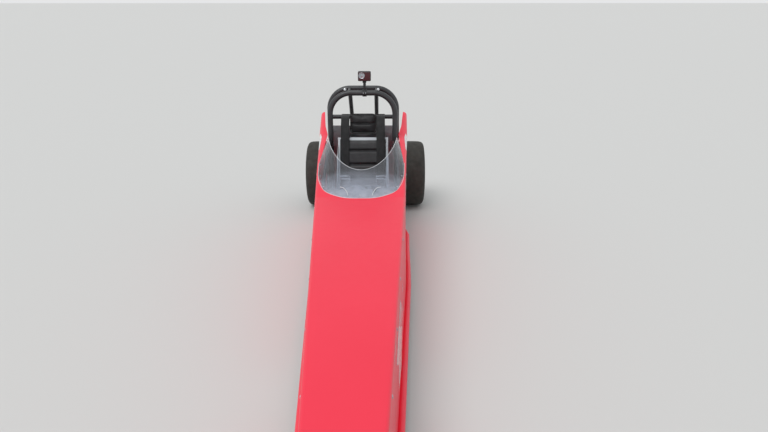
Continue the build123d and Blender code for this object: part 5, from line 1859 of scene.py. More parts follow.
def bent_line(line: Sequence[tuple[float, float]], bend: float,
              step: float = 5.0) -> list[tuple[Vector, Vector]]:
    """Walk a line of (ahead, height) corners with round bends.

    Args:
        line: The corners in millimetres.
        bend: The radius of each bend.
        step: The distance between two points.

    Returns:
        Pairs of a point and its left-hand normal, both two-dimensional.
    """
    corners = [Vector(point) for point in line]
    walked: list[tuple[Vector, Vector]] = []
    start = corners[0]
    for index in range(1, len(corners)):
        here = corners[index]
        run = (here - corners[index - 1]).normalized()
        normal = Vector((run.y, -run.x))
        last = index == len(corners) - 1
        reach = 0.0
        if not last:
            after = (corners[index + 1] - here).normalized()
            turn = run.angle(after)
            reach = bend * math.tan(turn / 2)
        end = here - run * reach
        count = max(2, int((end - start).length / step))
        walked += [(start.lerp(end, k / count), normal) for k in range(count)]
        if last:
            walked.append((end, normal))
            break
        sign = 1.0 if run.x * after.y - run.y * after.x > 0 else -1.0
        inward = Vector((-run.y, run.x)) * sign
        centre = end + inward * bend
        count = max(3, int(bend * turn / step))
        for k in range(count):
            angle = sign * turn * k / count
            radial = Vector((
                -inward.x * math.cos(angle) + inward.y * math.sin(angle),
                -inward.x * math.sin(angle) - inward.y * math.cos(angle)))
            walked.append((centre + radial * bend, -radial if sign < 0 else radial))
        start = here + after * reach
    return walked


def rounded_box(build: bmesh.types.BMesh, place: Matrix, size_mm: tuple[float, float, float], radius: float,
                material: int = 0, steps: int = 3) -> None:
    """Add a block with rounded edges, centred in a placed frame.

    Args:
        build: The bmesh that gets the faces.
        place: The frame it stands in.
        size_mm: Its three sizes in millimetres.
        radius: The rounding of its edges in millimetres.
        material: The faces' material slot.
        steps: How many cuts round each edge.
    """
    made = bmesh.ops.create_cube(build, size=1.0,
                                 matrix=place @ Matrix.Diagonal((*[s * MM for s in size_mm], 1.0)))
    edges = list({edge for vert in made["verts"] for edge in vert.link_edges})
    known = set(build.faces) - {face for vert in made["verts"] for face in vert.link_faces}
    bmesh.ops.bevel(build, geom=edges, offset=radius * MM, segments=steps, profile=0.5, affect="EDGES")
    for face in build.faces:
        if face not in known:
            face.material_index = material


def kept_result(obj: bpy.types.Object) -> None:
    """Keep the result of an object's modifiers as its own mesh, and drop them.

    Args:
        obj: The object to change.
    """
    shown = obj.evaluated_get(bpy.context.evaluated_depsgraph_get())
    data = bpy.data.meshes.new_from_object(shown)
    data.name = obj.name
    obj.modifiers.clear()
    obj.data = data


def swollen(obj: bpy.types.Object, voxel_mm: float, cap_mm: float, pressure: float = 4.0) -> None:
    """Blow a closed form up as stuffed cloth and keep the result.

    Args:
        obj: The slightly small start shape.
        voxel_mm: The size of the grid that it is remeshed to.
        cap_mm: How far a point may move.
        pressure: The air inside it.
    """
    grid = obj.modifiers.new("grid", "REMESH")
    grid.mode = "VOXEL"
    grid.voxel_size = voxel_mm * MM
    kept_result(obj)
    start = [vert.co.copy() for vert in obj.data.vertices]
    cloth = obj.modifiers.new("air", "CLOTH")
    cloth.settings.quality = 5
    cloth.settings.use_pressure = True
    cloth.settings.uniform_pressure_force = pressure
    cloth.settings.effector_weights.gravity = 0.0
    cloth.point_cache.frame_start = 1
    cloth.point_cache.frame_end = CLOTH_FRAMES
    for frame in range(1, CLOTH_FRAMES + 1):
        bpy.context.scene.frame_set(frame)
    kept_result(obj)
    bpy.context.scene.frame_set(1)
    for vert, before in zip(obj.data.vertices, start):
        moved = vert.co - before
        if moved.length > cap_mm * MM:
            vert.co = before + moved.normalized() * cap_mm * MM


@dataclass
class SeatPads:
    """The stitched vinyl liner in the aluminium bucket, and the head rest on the rear hoop."""

    inner_mm: float = 2.0
    channel_mm: float = 15.0
    channel_half_mm: float = 6.5
    channel_pitch_mm: float = 82.0
    voxel_mm: float = 5.5
    rest_size_mm: tuple[float, float, float] = (156.0, 46.0, 120.0)
    rest_ahead_mm: float = 556.2
    rest_height_mm: float = 712.0

    def __post_init__(self) -> None:
        """Walk the seat's line once."""
        self.walk = bent_line(SEAT_LINE, SEAT_BEND, 4.0)
        self.along = [0.0]
        for (first, _), (second, _) in zip(self.walk, self.walk[1:]):
            self.along.append(self.along[-1] + (second - first).length)
        base = (Vector(SEAT_LINE[1]) - Vector(SEAT_LINE[0])).length
        self.corner = base - 12.0
        total = self.along[-1]
        self.channels = [self.corner - self.channel_pitch_mm * k for k in (1, 2)] + [self.corner]
        self.channels += [self.corner + self.channel_pitch_mm * k for k in (1, 2, 3, 4, 5, 6)]
        self.channels = [place for place in self.channels if 30.0 < place < total - 30.0]

    def on_seat(self, along: float, across: float, lift: float) -> Vector:
        """Find a point over the seat.

        Args:
            along: Distance from the seat's front edge along its line, in millimetres.
            across: Distance to the car's left.
            lift: Height over the sheet's middle, on the padded side.

        Returns:
            The point in metres.
        """
        index = min(range(len(self.along)), key=lambda k: abs(self.along[k] - along))
        spot, normal = self.walk[index]
        beyond = along - self.along[index]
        run = Vector((-normal.y, normal.x))
        place = spot + normal * lift + run * beyond
        return at(across, place.x, place.y)

    def liner_shape(self, name: str) -> bpy.types.Object:
        """Build the liner's start shape: a strip with round edges, a little thin.

        Args:
            name: The new object's name.

        Returns:
            The start shape, before it is blown up.
        """
        build = bmesh.new()
        half = PAD_WIDTH / 2 - 1.0
        low, high = self.inner_mm, self.inner_mm + PAD_THICK - 5.0
        ring = softened([(-half, low), (-half, high), (half, high), (half, low)], 8.0, 4, closed=True)
        rings = []
        for index in range(2, len(self.along) - 2, 2):
            rings.append([build.verts.new(self.on_seat(self.along[index], across, lift))
                          for across, lift in ring])
        build.faces.new(rings[0])
        build.faces.new(list(reversed(rings[-1])))
        count = len(ring)
        for first, second in zip(rings, rings[1:]):
            for k in range(count):
                n = (k + 1) % count
                build.faces.new((first[k], second[k], second[n], first[n]))
        return mesh_object(name, build)

    def sewn(self, obj: bpy.types.Object) -> None:
        """Hold the liner in its bucket and draw its channels in.

        Args:
            obj: The liner.
        """
        spots = [(point.x, point.y) for point, _ in self.walk]
        for vert in obj.data.vertices:
            ahead, z = REAR_AXLE_Y - vert.co.y / MM, vert.co.z / MM
            index = min(range(len(spots)), key=lambda k: (spots[k][0] - ahead) ** 2 + (spots[k][1] - z) ** 2)
            spot, normal = self.walk[index]
            away = Vector((ahead, z)) - spot
            lift = away.dot(normal)
            run = Vector((-normal.y, normal.x))
            along = self.along[index] + away.dot(run)
            across = vert.co.x / MM
            top = self.inner_mm + PAD_THICK * 0.5
            kept = max(self.inner_mm, min(lift, self.inner_mm + PAD_THICK + 2.0))
            if lift > top:
                for channel in self.channels:
                    pull = math.exp(-((along - channel) / self.channel_half_mm) ** 2)
                    kept += (self.channel_mm - kept) * pull
            edge = max(0.0, abs(across) - PAD_WIDTH / 2 - 3.0)
            across -= math.copysign(edge, across)
            moved = spot + normal * kept + run * away.dot(run)
            vert.co = at(across, moved.x, moved.y)

    def cover(self, obj: bpy.types.Object, replaces: Sequence[str] = ()) -> None:
        """Round a simulated pad's facets and finish it as vinyl.

        Args:
            obj: The pad.
            replaces: The CAD nodes that it stands in for.
        """
        for face in obj.data.polygons:
            face.use_smooth = True
        rounder = obj.modifiers.new("round", "SUBSURF")
        rounder.levels = rounder.render_levels = 1
        finished(obj, Body.CHASSIS, "seat_vinyl", FINISH.seat_vinyl, replaces=replaces, sharp=None)

    def liner(self, trees: Trees) -> None:
        """Make the liner, its piping and its stitches.

        Args:
            trees: The trees that repeat small pieces.
        """
        obj = self.liner_shape("seat_liner")
        swollen(obj, self.voxel_mm, 6.0)
        self.sewn(obj)
        self.cover(obj, ["seat_pads"])
        build = bmesh.new()
        for side in (1, -1):
            edge = [self.on_seat(along, side * (PAD_WIDTH / 2 - 1.0), self.inner_mm + PAD_THICK - 8.0)
                    for along in self.along[3:-3:3]]
            tube(build, edge, 2.2 * MM, 8)
        piece("seat_liner_piping", build, "seat_vinyl", FINISH.edge_rubber)
        threads = []
        for number, channel in enumerate(self.channels):
            for offset in (-3.6, 3.6):
                line = [self.on_seat(channel + offset, across, self.channel_mm + 1.9)
                        for across in range(-120, 121, 12)]
                threads.append(trees.sew(f"thread_{number}", line, 5.2, 3.8))
        finished(joined("seat_liner_stitches", threads), Body.CHASSIS, "seat_vinyl", FINISH.seam_thread,
                 sharp=None)

    def head_rest(self, trees: Trees) -> None:
        """Make the head rest: a crowned block with a piped seam and a stitched cross.

        Args:
            trees: The trees that repeat small pieces.
        """
        width, thick, height = self.rest_size_mm
        build = bmesh.new()
        place = Matrix.Translation(at(0.0, self.rest_ahead_mm, self.rest_height_mm))
        rounded_box(build, place, (width - 8.0, thick - 7.0, height - 8.0), 14.0, steps=4)
        obj = mesh_object("head_rest_pad", build)
        swollen(obj, 4.0, 6.0)
        rear = (REAR_AXLE_Y - self.rest_ahead_mm + thick / 2) * MM
        front = rear - (thick + 3.0) * MM
        middle = at(0.0, self.rest_ahead_mm, self.rest_height_mm)
        for vert in obj.data.vertices:
            vert.co.y = max(front, min(rear - 0.3 * MM, vert.co.y))
            if vert.co.y < middle.y:
                away = abs(vert.co.z - middle.z) / MM
                pull = math.exp(-(away / 6.0) ** 2)
                vert.co.y += (rear - 30.0 * MM - vert.co.y) * pull * 0.75
            vert.co.x = max(-width / 2 * MM, min(width / 2 * MM, vert.co.x))
        self.cover(obj)
        outline = softened([
            (-width / 2 + 1, -height / 2 + 1), (width / 2 - 1, -height / 2 + 1),
            (width / 2 - 1, height / 2 - 1), (-width / 2 + 1, height / 2 - 1)], 24.0, 6, closed=True)
        path = [middle + Vector((x * MM, (-thick / 2 + 9.0) * MM, z * MM)) for x, z in outline]
        build = bmesh.new()
        tube(build, path + path[:2], 2.4 * MM, 8)
        piece("head_rest_piping", build, "seat_vinyl", FINISH.edge_rubber)
        line = [middle + Vector((x * MM, (-thick / 2 + 2.6) * MM, 0.0)) for x in range(-66, 67, 6)]
        finished(trees.sew("head_rest_stitches", line, 5.0, 3.6), Body.CHASSIS, "seat_vinyl",
                 FINISH.seam_thread, sharp=None)

    def make(self, trees: Trees) -> None:
        """Make the liner and the head rest."""
        self.liner(trees)
        self.head_rest(trees)


def joined(name: str, parts: Sequence[bpy.types.Object]) -> bpy.types.Object:
    """Join plain meshes into one object and drop the separate ones.

    Args:
        name: The new object's name.
        parts: The objects to join.

    Returns:
        The joined object.
    """
    build = bmesh.new()
    for part in parts:
        build.from_mesh(part.data)
    data = bpy.data.meshes.new(name)
    build.to_mesh(data)
    build.free()
    for face in data.polygons:
        face.use_smooth = True
    for part in parts:
        bpy.data.objects.remove(part)
    obj = bpy.data.objects.new(name, data)
    bpy.context.scene.collection.objects.link(obj)
    return obj


def ribbon(build: bmesh.types.BMesh, path: Sequence[Vector], across: Vector, width_mm: float,
           thick_mm: float = 2.2) -> None:
    """Lay webbing along a path, mapped in metres along and across it.

    Args:
        build: The bmesh that gets the faces.
        path: The middle of its underside, in metres.
        across: The direction of its width.
        width_mm: Its width.
        thick_mm: Its thickness.
    """
    layer = build.loops.layers.uv.get("along") or build.loops.layers.uv.new("along")
    across = across.normalized()
    half = width_mm / 2
    section = [(-half, 0.0), (-half - 0.3, 0.5 * thick_mm), (-half + 1.2, thick_mm),
               (-half * 0.5, thick_mm * 1.12), (0.0, thick_mm * 1.18), (half * 0.5, thick_mm * 1.12),
               (half - 1.2, thick_mm), (half + 0.3, 0.5 * thick_mm), (half, 0.0)]
    rings = []
    run_length = 0.0
    lengths = []
    count = len(path)
    for index, spot in enumerate(path):
        if index:
            run_length += (spot - path[index - 1]).length
        lengths.append(run_length)
        run = (path[min(index + 1, count - 1)] - path[max(index - 1, 0)]).normalized()
        up = run.cross(across).normalized()
        rings.append([build.verts.new(spot + across * u * MM + up * v * MM) for u, v in section])
    size = len(section)
    faces = [(build.faces.new(rings[0]), 0), (build.faces.new(list(reversed(rings[-1]))), count - 2)]
    for index in range(count - 1):
        first, second = rings[index], rings[index + 1]
        for k in range(size):
            n = (k + 1) % size
            face = build.faces.new((first[k], second[k], second[n], first[n]))
            values = ((lengths[index], section[k][0]), (lengths[index + 1], section[k][0]),
                      (lengths[index + 1], section[n][0]), (lengths[index], section[n][0]))
            for loop, (u, v) in zip(face.loops, values):
                loop[layer].uv = (u, v * MM)
    for face, index in faces:
        for loop in face.loops:
            loop[layer].uv = (lengths[index], 0.0)


@dataclass
class Harness:
    """The five-point harness: two shoulder straps, two lap straps, a centre strap and a cam buckle."""

    width_mm: float = 50.0
    shoulder_x: float = 106.0
    lift_mm: float = 31.5

    def shoulder(self, seat: SeatPads, side: int) -> list[Vector]:
        """Route one shoulder strap: round the bar, over the seat's top and down its back.

        Args:
            seat: The pads that the straps lie on.
            side: Which side of the car.

        Returns:
            Points along the strap's middle.
        """
        bar = []
        for index in range(9):
            turn = math.radians(-60.0 + index * 25.0)
            radius = CAGE_RADIUS + 1.2
            bar.append(at(side * self.shoulder_x, REAR_HOOP[0] - radius * math.cos(turn),
                          SHOULDER_BAR_HEIGHT + radius * math.sin(turn)))
        end = seat.along[-1]
        over = [
            at(side * self.shoulder_x, 560.0, 756.0), at(side * self.shoulder_x, 598.0, 738.0),
            at(side * self.shoulder_x, 634.0, 702.0),
        ]
        down = [seat.on_seat(end - drop, side * self.shoulder_x, self.lift_mm)
                for drop in (12, 60, 120, 190, 260, 320, 370, 410)]
        return smooth_path(bar + over + down, 5)

    def lap(self, seat: SeatPads, side: int) -> tuple[list[Vector], Vector]:
        """Route one lap strap from the buckle across the base and up the bucket's wing.

        Args:
            seat: The pads that the straps lie on.
            side: Which side of the car.

        Returns:
            Points along the strap's middle, and the direction that it is wide in.
        """
        along = seat.corner - 75.0
        line = [(32.0, self.lift_mm - 2), (70.0, self.lift_mm - 2), (104.0, self.lift_mm),
                (128.0, self.lift_mm + 4), (140.0, self.lift_mm + 15), (143.6, self.lift_mm + 34),
                (143.9, self.lift_mm + 60), (143.9, self.lift_mm + 92)]
        path = [seat.on_seat(along, side * x, lift) for x, lift in line]
        across = seat.on_seat(along + 20.0, 0.0, 0.0) - seat.on_seat(along, 0.0, 0.0)
        return smooth_path(path, 5), across * side

    def slide(self, build: bmesh.types.BMesh, spot: Vector, across: Vector, up: Vector) -> None:
        """Add a three-bar strap adjuster lying on the webbing.

        Args:
            build: The bmesh that gets the faces.
            spot: The middle of the adjuster.
            across: The direction across the strap.
            up: The direction away from it.
        """
        across, up = across.normalized(), up.normalized()
        run = up.cross(across)
        turn = Matrix((across, run, up)).transposed().to_4x4()
        place = Matrix.Translation(spot) @ turn
        for along in (-17.0, 0.0, 17.0):
            rounded_box(build, place @ Matrix.Translation((0, along * MM, 4.4 * MM)), (62.0, 6.0, 3.4), 1.4,
                        steps=2)
        for side in (-1, 1):
            rounded_box(build, place @ Matrix.Translation((side * 29.0 * MM, 0, 4.2 * MM)),
                        (5.0, 40.0, 3.2), 1.4, steps=2)

    def buckle(self, seat: SeatPads) -> None:
        """Build the cam-lock buckle on the lap: body, rotary head and three tongues.

        Args:
            seat: The pads that the straps lie on.
        """
        along = seat.corner - 75.0
        centre = seat.on_seat(along, 0.0, self.lift_mm)
        up = (seat.on_seat(along, 0.0, self.lift_mm + 10.0) - centre).normalized()
        build = bmesh.new()
        frame = aimed(centre, up)
        lathe(build,
              softened([(-1.0, 0.0), (-1.0, 29.0), (6.0, 30.0), (11.0, 27.0), (12.0, 22.5), (12.0, 0.0)],
                       1.6, 3), frame, 48)
        lathe(build,
              softened([(12.0, 0.0), (12.0, 21.0), (16.5, 20.5), (18.0, 17.0), (17.4, 8.0), (16.6, 0.0)],
                       1.2, 3), frame, 40, 1)
        for index in range(2):
            turn = frame @ Matrix.Rotation(index * math.pi / 2, 4, "X")
            rounded_box(build, turn @ Matrix.Translation((17.6 * MM, 0, 0)), (3.0, 34.0, 6.5), 1.2, 1, 2)
        piece("harness_cam_buckle", build, "steel", FINISH.zinc_steel, FINISH.polished_alloy, sharp=35.0)
        run = (seat.on_seat(along + 10.0, 0.0, self.lift_mm) - centre).normalized()
        side = LEFT
        build = bmesh.new()
        for reach in (side, -side, -run):
            spot = centre + reach * 38.0 * MM + up * 2.5 * MM
            turn = Matrix((reach, up.cross(reach), up)).transposed().to_4x4()
            rounded_box(build, Matrix.Translation(spot) @ turn, (30.0, 34.0, 3.0), 1.2, steps=2)
        piece("harness_tongues", build, "steel", FINISH.zinc_steel, sharp=35.0)

    def make(self, seat: SeatPads) -> None:
        """Build the straps and their hardware.

        Args:
            seat: The pads that the straps lie on.
        """
        build = bmesh.new()
        metal = bmesh.new()
        across = LEFT
        for side in (1, -1):
            path = self.shoulder(seat, side)
            ribbon(build, path, across, self.width_mm)
            along = seat.along[-1] - 250.0
            spot = seat.on_seat(along, side * self.shoulder_x, self.lift_mm)
            up = seat.on_seat(along, side * self.shoulder_x, self.lift_mm + 10.0) - spot
            self.slide(metal, spot, across, up)
            tail = [seat.on_seat(along - 6.0 - 8.0 * k, side * self.shoulder_x,
                                 self.lift_mm + 5.0 + 2.2 * math.sin(k * 0.35)) for k in range(14)]
            ribbon(build, tail, across, self.width_mm)
            path, wide = self.lap(seat, side)
            ribbon(build, path, wide, self.width_mm)
        piece("harness_straps", build, "webbing", FINISH.black_webbing, replaces=["harness"], sharp=50.0)
        piece("harness_adjusters", metal, "steel", FINISH.zinc_steel, sharp=35.0)
        build = bmesh.new()
        start = seat.corner - 75.0 - 44.0
        path = [seat.on_seat(along, 0.0, self.lift_mm - 1.0 + lift)
                for along, lift in ((start, 0.0), (start - 30, 0.6), (start - 60, 0.2), (start - 90, -0.6),
                                    (start - 112, -4.0), (start - 122, -12.0))]
        ribbon(build, smooth_path(path, 5), across, 44.0)
        piece("harness_centre_strap", build, "webbing", FINISH.yellow_webbing, sharp=50.0)
        self.buckle(seat)


@dataclass
class SteeringWheel:
    """The butterfly wheel: wrapped grip, sheet plate, hub collar and its fixings."""

    rear: tuple[float, float] = (1075.0, 430.0)
    front: tuple[float, float] = (1420.0, 400.0)
    grip_mm: float = 11.0
    edge: tuple[tuple[float, float], ...] = ((50.0, -52.0), (112.0, -40.0), (104.0, 46.0), (50.0, 26.0))

    def frame(self) -> Matrix:
        """Give the wheel's frame: X to the car's left, Y up the wheel, Z towards the seat.

        Returns:
            The frame, in metres.
        """
        centre = at(0.0, *self.rear)
        axis = (centre - at(0.0, *self.front)).normalized()
        across = LEFT
        up = axis.cross(across)
        turn = Matrix((across, up, axis)).transposed().to_4x4()
        return Matrix.Translation(centre) @ turn

    def make(self, trees: Trees) -> None:
        """Build the wheel in place of its CAD node.

        Args:
            trees: The trees that repeat small pieces.
        """
        frame = self.frame()
        right = [(-x, up) for x, up in self.edge]
        corners = right + list(reversed(self.edge))
        rounded = softened(corners, 22.0, 6)
        path = smooth_path([frame @ Vector((x * MM, y * MM, 0.0)) for x, y in rounded], 3)

        def girth(share: float) -> float:
            """Swell the grip at each hand, with four finger hollows.

            Args:
                share: Where round the wheel, from 0 to 1.

            Returns:
                The radius of the grip there, in metres.
            """
            hand = math.exp(-((share - 0.25) / 0.1) ** 2) + math.exp(-((share - 0.75) / 0.1) ** 2)
            ripple = 0.35 * math.cos(share * 2 * math.pi * 22)
            cap = min(1.0, 0.55 + 22.0 * min(share, 1.0 - share))
            return (self.grip_mm - 0.6 + hand * (0.5 + ripple)) * MM * cap

        build = bmesh.new()
        tube(build, path, girth, 24)
        piece("steering_grip", build, "black_plastic", FINISH.grip_suede, replaces=["steering_wheel"],
              sharp=60.0, body=Body.STEERING)
        seam = [spot + frame.to_3x3() @ Vector((0.0, 0.0, -(self.grip_mm - 0.1) * MM))
                for spot in path[4:-4]]
        finished(trees.sew("steering_grip_stitches", seam, 4.6, 3.2), Body.STEERING, "black_plastic",
                 FINISH.seam_thread, sharp=None)

        build = bmesh.new()
        outline = softened([(-56, -54), (56, -54), (52, -22), (38, 0), (46, 26), (40, 32), (-40, 32),
                            (-46, 26), (-38, 0), (-52, -22)], 9.0, 4, closed=True)
        holes = [(-26.0, -38.0, 8.0), (26.0, -38.0, 8.0)]
        bridge(build, [
            [build.verts.new(frame @ Vector((x * MM, y * MM, level * MM))) for x, y in outline]
            for level in (-6.0, -1.6)])
        plate = mesh_object("steering_plate", build, smooth=False)
        for number, (x, y, radius) in enumerate(holes):
            cut = bmesh.new()
            lathe(cut, [(-12.0, 0.0), (-12.0, radius), (12.0, radius), (12.0, 0.0)],
                  aimed(frame @ Vector((x * MM, y * MM, 0.0)), frame.to_3x3() @ UP), 32)
            drill = mesh_object(f"drill_{number}", cut)
            modifier = plate.modifiers.new("hole", "BOOLEAN")
            modifier.operation = "DIFFERENCE"
            modifier.object = drill
            kept_result(plate)
            bpy.data.objects.remove(drill)
        bevel = plate.modifiers.new("edge", "BEVEL")
        bevel.width = 0.6 * MM
        bevel.segments = 2
        bevel.limit_method = "ANGLE"
        finished(plate, Body.STEERING, "sheet_aluminium", FINISH.rubbed_sheet, sharp=30.0)

        build = bmesh.new()
        axis = frame.to_3x3() @ UP
        hub = aimed(frame @ Vector((0.0, 0.0, 0.0)), axis)
        lathe(build,
              softened([(-37.0, 10.0), (-37.0, 22.0), (-30.0, 22.0), (-29.0, 19.0), (-26.0, 19.0),
                        (-25.0, 22.0), (-8.0, 22.0), (-6.2, 26.0), (-6.2, 10.0)], 0.9, 2, closed=True), hub,
              56, closed=True)
        lathe(build,
              softened([(-1.6, 0.0), (-1.6, 20.0), (1.5, 20.0), (4.5, 17.5), (5.0, 12.0), (3.2, 10.5),
                        (3.2, 0.0)], 0.8, 3), hub, 48)
        piece("steering_quick_release", build, "steel", FINISH.polished_alloy, sharp=35.0,
              body=Body.STEERING)
        spots = [(frame @ Vector((x * MM, y * MM, -1.6 * MM)), axis) for x, y in (
            (-28, 20), (28, 20), (-46, -46), (46, -46), (0, -44))]
        fasten(trees, "steering_plate_screws", Body.STEERING, spots, Fastener.BUTTON_SCREW, 0.85)


# Engine and drive

def loop_round(first: tuple[float, float, float], second: tuple[float, float, float],
               pitch: float) -> list[Spot]:
    """Walk a closed band round two wheels, in (ahead, height).

    Args:
        first: Ahead, height and radius of the first wheel in millimetres.
        second: The same for the second wheel.
        pitch: The wanted distance between two points.

    Returns:
        Pairs of a point and the band's direction there, both two-dimensional.
    """
    a, b = Vector(first[:2]), Vector(second[:2])
    line = b - a
    lean = math.atan2(line.y, line.x)
    open_angle = math.acos((first[2] - second[2]) / line.length)
    straight = math.sqrt(line.length ** 2 - (first[2] - second[2]) ** 2)
    arc_b = 2 * open_angle * second[2]
    arc_a = (2 * math.pi - 2 * open_angle) * first[2]
    total = 2 * straight + arc_a + arc_b
    count = round(total / pitch)
    walked = []
    for index in range(count):
        gone = index * total / count
        if gone < straight:
            angle = lean + open_angle
            run = Vector((math.sin(angle), -math.cos(angle)))
            spot = a + Vector((math.cos(angle), math.sin(angle))) * first[2] + run * gone
        elif gone < straight + arc_b:
            angle = lean + open_angle - (gone - straight) / second[2]
            run = Vector((math.sin(angle), -math.cos(angle)))
            spot = b + Vector((math.cos(angle), math.sin(angle))) * second[2]
        elif gone < 2 * straight + arc_b:
            angle = lean - open_angle
            run = Vector((math.sin(angle), -math.cos(angle)))
            spot = b + Vector((math.cos(angle),
                               math.sin(angle))) * second[2] + run * (gone - straight - arc_b)
        else:
            angle = lean - open_angle - (gone - 2 * straight - arc_b) / first[2]
            run = Vector((math.sin(angle), -math.cos(angle)))
            spot = a + Vector((math.cos(angle), math.sin(angle))) * first[2]
        walked.append((spot, run))
    return walked


@dataclass
class Drive:
    """The roller chain, the cogged belt, and what bolts the axle's and shafts' pieces up."""

    chain_x: float = 62.0
    belt_x: float = 122.0
    jack: tuple[float, float] = (150.0, 320.0)
    crank: tuple[float, float] = (330.0, 212.0)
    belt_outer_mm: tuple[float, float] = (52.0, 78.0)

    def rollers(self) -> list[Vector]:
        """Seat the chain's rollers: one in each tooth gap, evenly along the two straight runs.

        Returns:
            The rollers' middles in order.
        """
        wheels = []
        for centre, teeth in ((AXLE, 60), (self.jack, 12)):
            wheels.append((Vector(centre), CHAIN_PITCH / (2 * math.sin(math.pi / teeth)), teeth))
        (a, big, teeth_a), (b, small, teeth_b) = wheels
        lean = math.degrees(math.atan2(b.y - a.y, b.x - a.x))
        opened = math.degrees(math.acos((big - small) / (b - a).length))

        def seats(centre: Vector, radius: float, teeth: int, start: float, end: float) -> list[Vector]:
            """List the tooth gaps between two angles, going clockwise.

            Args:
                centre: The middle of the sprocket, in millimetres.
                radius: Its pitch radius.
                teeth: How many teeth it has.
                start: The first angle, in degrees.
                end: The last angle, in degrees.

            Returns:
                The gaps' places in order.
            """
            step = 360.0 / teeth
            angle = math.floor(start / step) * step
            found = []
            while angle >= end - 0.01:
                turn = math.radians(angle)
                found.append(centre + Vector((math.cos(turn), math.sin(turn))) * radius)
                angle -= step
            return found

        on_jack = seats(b, small, teeth_b, lean + opened, lean - opened)
        on_axle = seats(a, big, teeth_a, lean - opened, lean + opened - 360.0)
        ring = []
        for first, second in ((on_jack, on_axle), (on_axle, on_jack)):
            ring += first
            gap = second[0] - first[-1]
            count = round(gap.length / CHAIN_PITCH)
            ring += [first[-1] + gap * k / count for k in range(1, count)]
        return ring

    def link_shape(self, half_x: float, thick: float, with_roller: bool) -> bpy.types.Object:
        """Build one link along X: two waisted plates, and its pins or its rollers.

        Args:
            half_x: Half the distance between the plates.
            thick: How thick a plate is.
            with_roller: Whether it carries the rollers.

        Returns:
            The link that the tree repeats.
        """
        build = bmesh.new()
        half = CHAIN_PITCH / 2
        outline = [(-half - 3.4, -2.0), (-half, -3.9), (0.0, -2.7), (half, -3.9), (half + 3.4, -2.0),
                   (half + 3.4, 2.0), (half, 3.9), (0.0, 2.7), (-half, 3.9), (-half - 3.4, 2.0)]
        for side in (1, -1):
            rings = [[build.verts.new(Vector((x, y, side * z)) * MM) for x, y in outline]
                     for z in (half_x, half_x + thick)]
            bridge(build, rings)
        radius, reach = (2.6, half_x) if with_roller else (1.6, half_x + thick + 0.6)
        for side in (1, -1):
            pin = Matrix.Translation((side * half * MM, 0, 0)) @ Matrix.Rotation(math.pi / 2, 4, "Y")
            lathe(build, [(-reach, 0.0), (-reach, radius), (reach, radius), (reach, 0.0)], pin, 8)
        return mesh_object("shape_link", build, smooth=False)

    def chain(self, trees: Trees) -> None:
        """Lay the chain's links in place of the CAD plates.

        Args:
            trees: The trees that repeat small pieces.
        """
        ring = self.rollers()
        count = len(ring)
        kinds: list[list[Spot]] = [[], []]
        for index, here in enumerate(ring):
            after = ring[(index + 1) % count]
            middle, run = (here + after) / 2, (after - here).normalized()
            spot = at(self.chain_x, middle.x, middle.y)
            kinds[index % 2].append((spot, Vector((0.0, -run.x, run.y))))
        parts = []
        for number, (half_x, thick, rolled) in enumerate(((2.55, 1.1, True), (3.75, 1.1, False))):
            spots = kinds[number]
            parts.append(trees.spots.run(
                f"links_{number}", point_source("spots", spots, [LEFT] * len(spots)), FINISH.oiled_steel,
                Fastener=self.link_shape(half_x, thick, rolled), Scale=1.0))
        obj = joined("roller_chain", parts)
        finished(obj, Body.CHASSIS, "steel", FINISH.oiled_steel, replaces=["chain"], sharp=30.0)
        LOG.info("the chain has %d links", count)

    def belt(self, trees: Trees) -> None:
        """Add the cogs on the belt's outside.

        Args:
            trees: The trees that repeat small pieces.
        """
        crank_r, jack_r = self.belt_outer_mm
        walked = loop_round((*self.crank, crank_r - 0.6), (*self.jack, jack_r - 0.6), 11.0)
        shape = bmesh.new()
        lathe(shape, [(-10.0, 0.0), (-10.0, 2.2), (-9.4, 2.8), (9.4, 2.8), (10.0, 2.2), (10.0, 0.0)],
              Matrix.Identity(4), 8)
        spots = [(at(self.belt_x, spot.x, spot.y), LEFT) for spot, _ in walked]
        fasten(trees, "drive_belt_cogs", Body.CHASSIS, spots, mesh_object("shape_cog", shape),
               finish=FINISH.belt_rubber, slot="belt_rubber")

    def make(self, trees: Trees) -> None:
        """Build the drive's looks.

        Args:
            trees: The trees that repeat small pieces.
        """
        self.chain(trees)
        self.belt(trees)
        for name, body, x, centre, ring, count, side, scale in (
                ("sprocket_hub_bolts", Body.REAR_AXLE, 29.9, AXLE, 23.0, 6, -1.0, 0.55),
                ("brake_hub_bolts", Body.REAR_AXLE, -67.4, AXLE, 22.0, 6, 1.0, 0.55),
                ("brake_rotor_buttons", Body.REAR_AXLE, -102.6, AXLE, 52.0, 6, -1.0, 0.55),
                ("left_bearing_bolts", Body.CHASSIS, 183.1, AXLE, 29.0, 4, 1.0, 0.7),
                ("right_bearing_bolts", Body.CHASSIS, -183.1, AXLE, 29.0, 4, -1.0, 0.7),
                ("jackshaft_nut", Body.JACKSHAFT, 149.0, self.jack, 0.0, 1, 1.0, 1.7),
                ("crank_nut", Body.CHASSIS, 146.0, self.crank, 0.0, 1, 1.0, 2.0)):
            fasten(trees, name, body, ring_spots(x, centre, ring, count, side), Fastener.HEX_BOLT, scale)


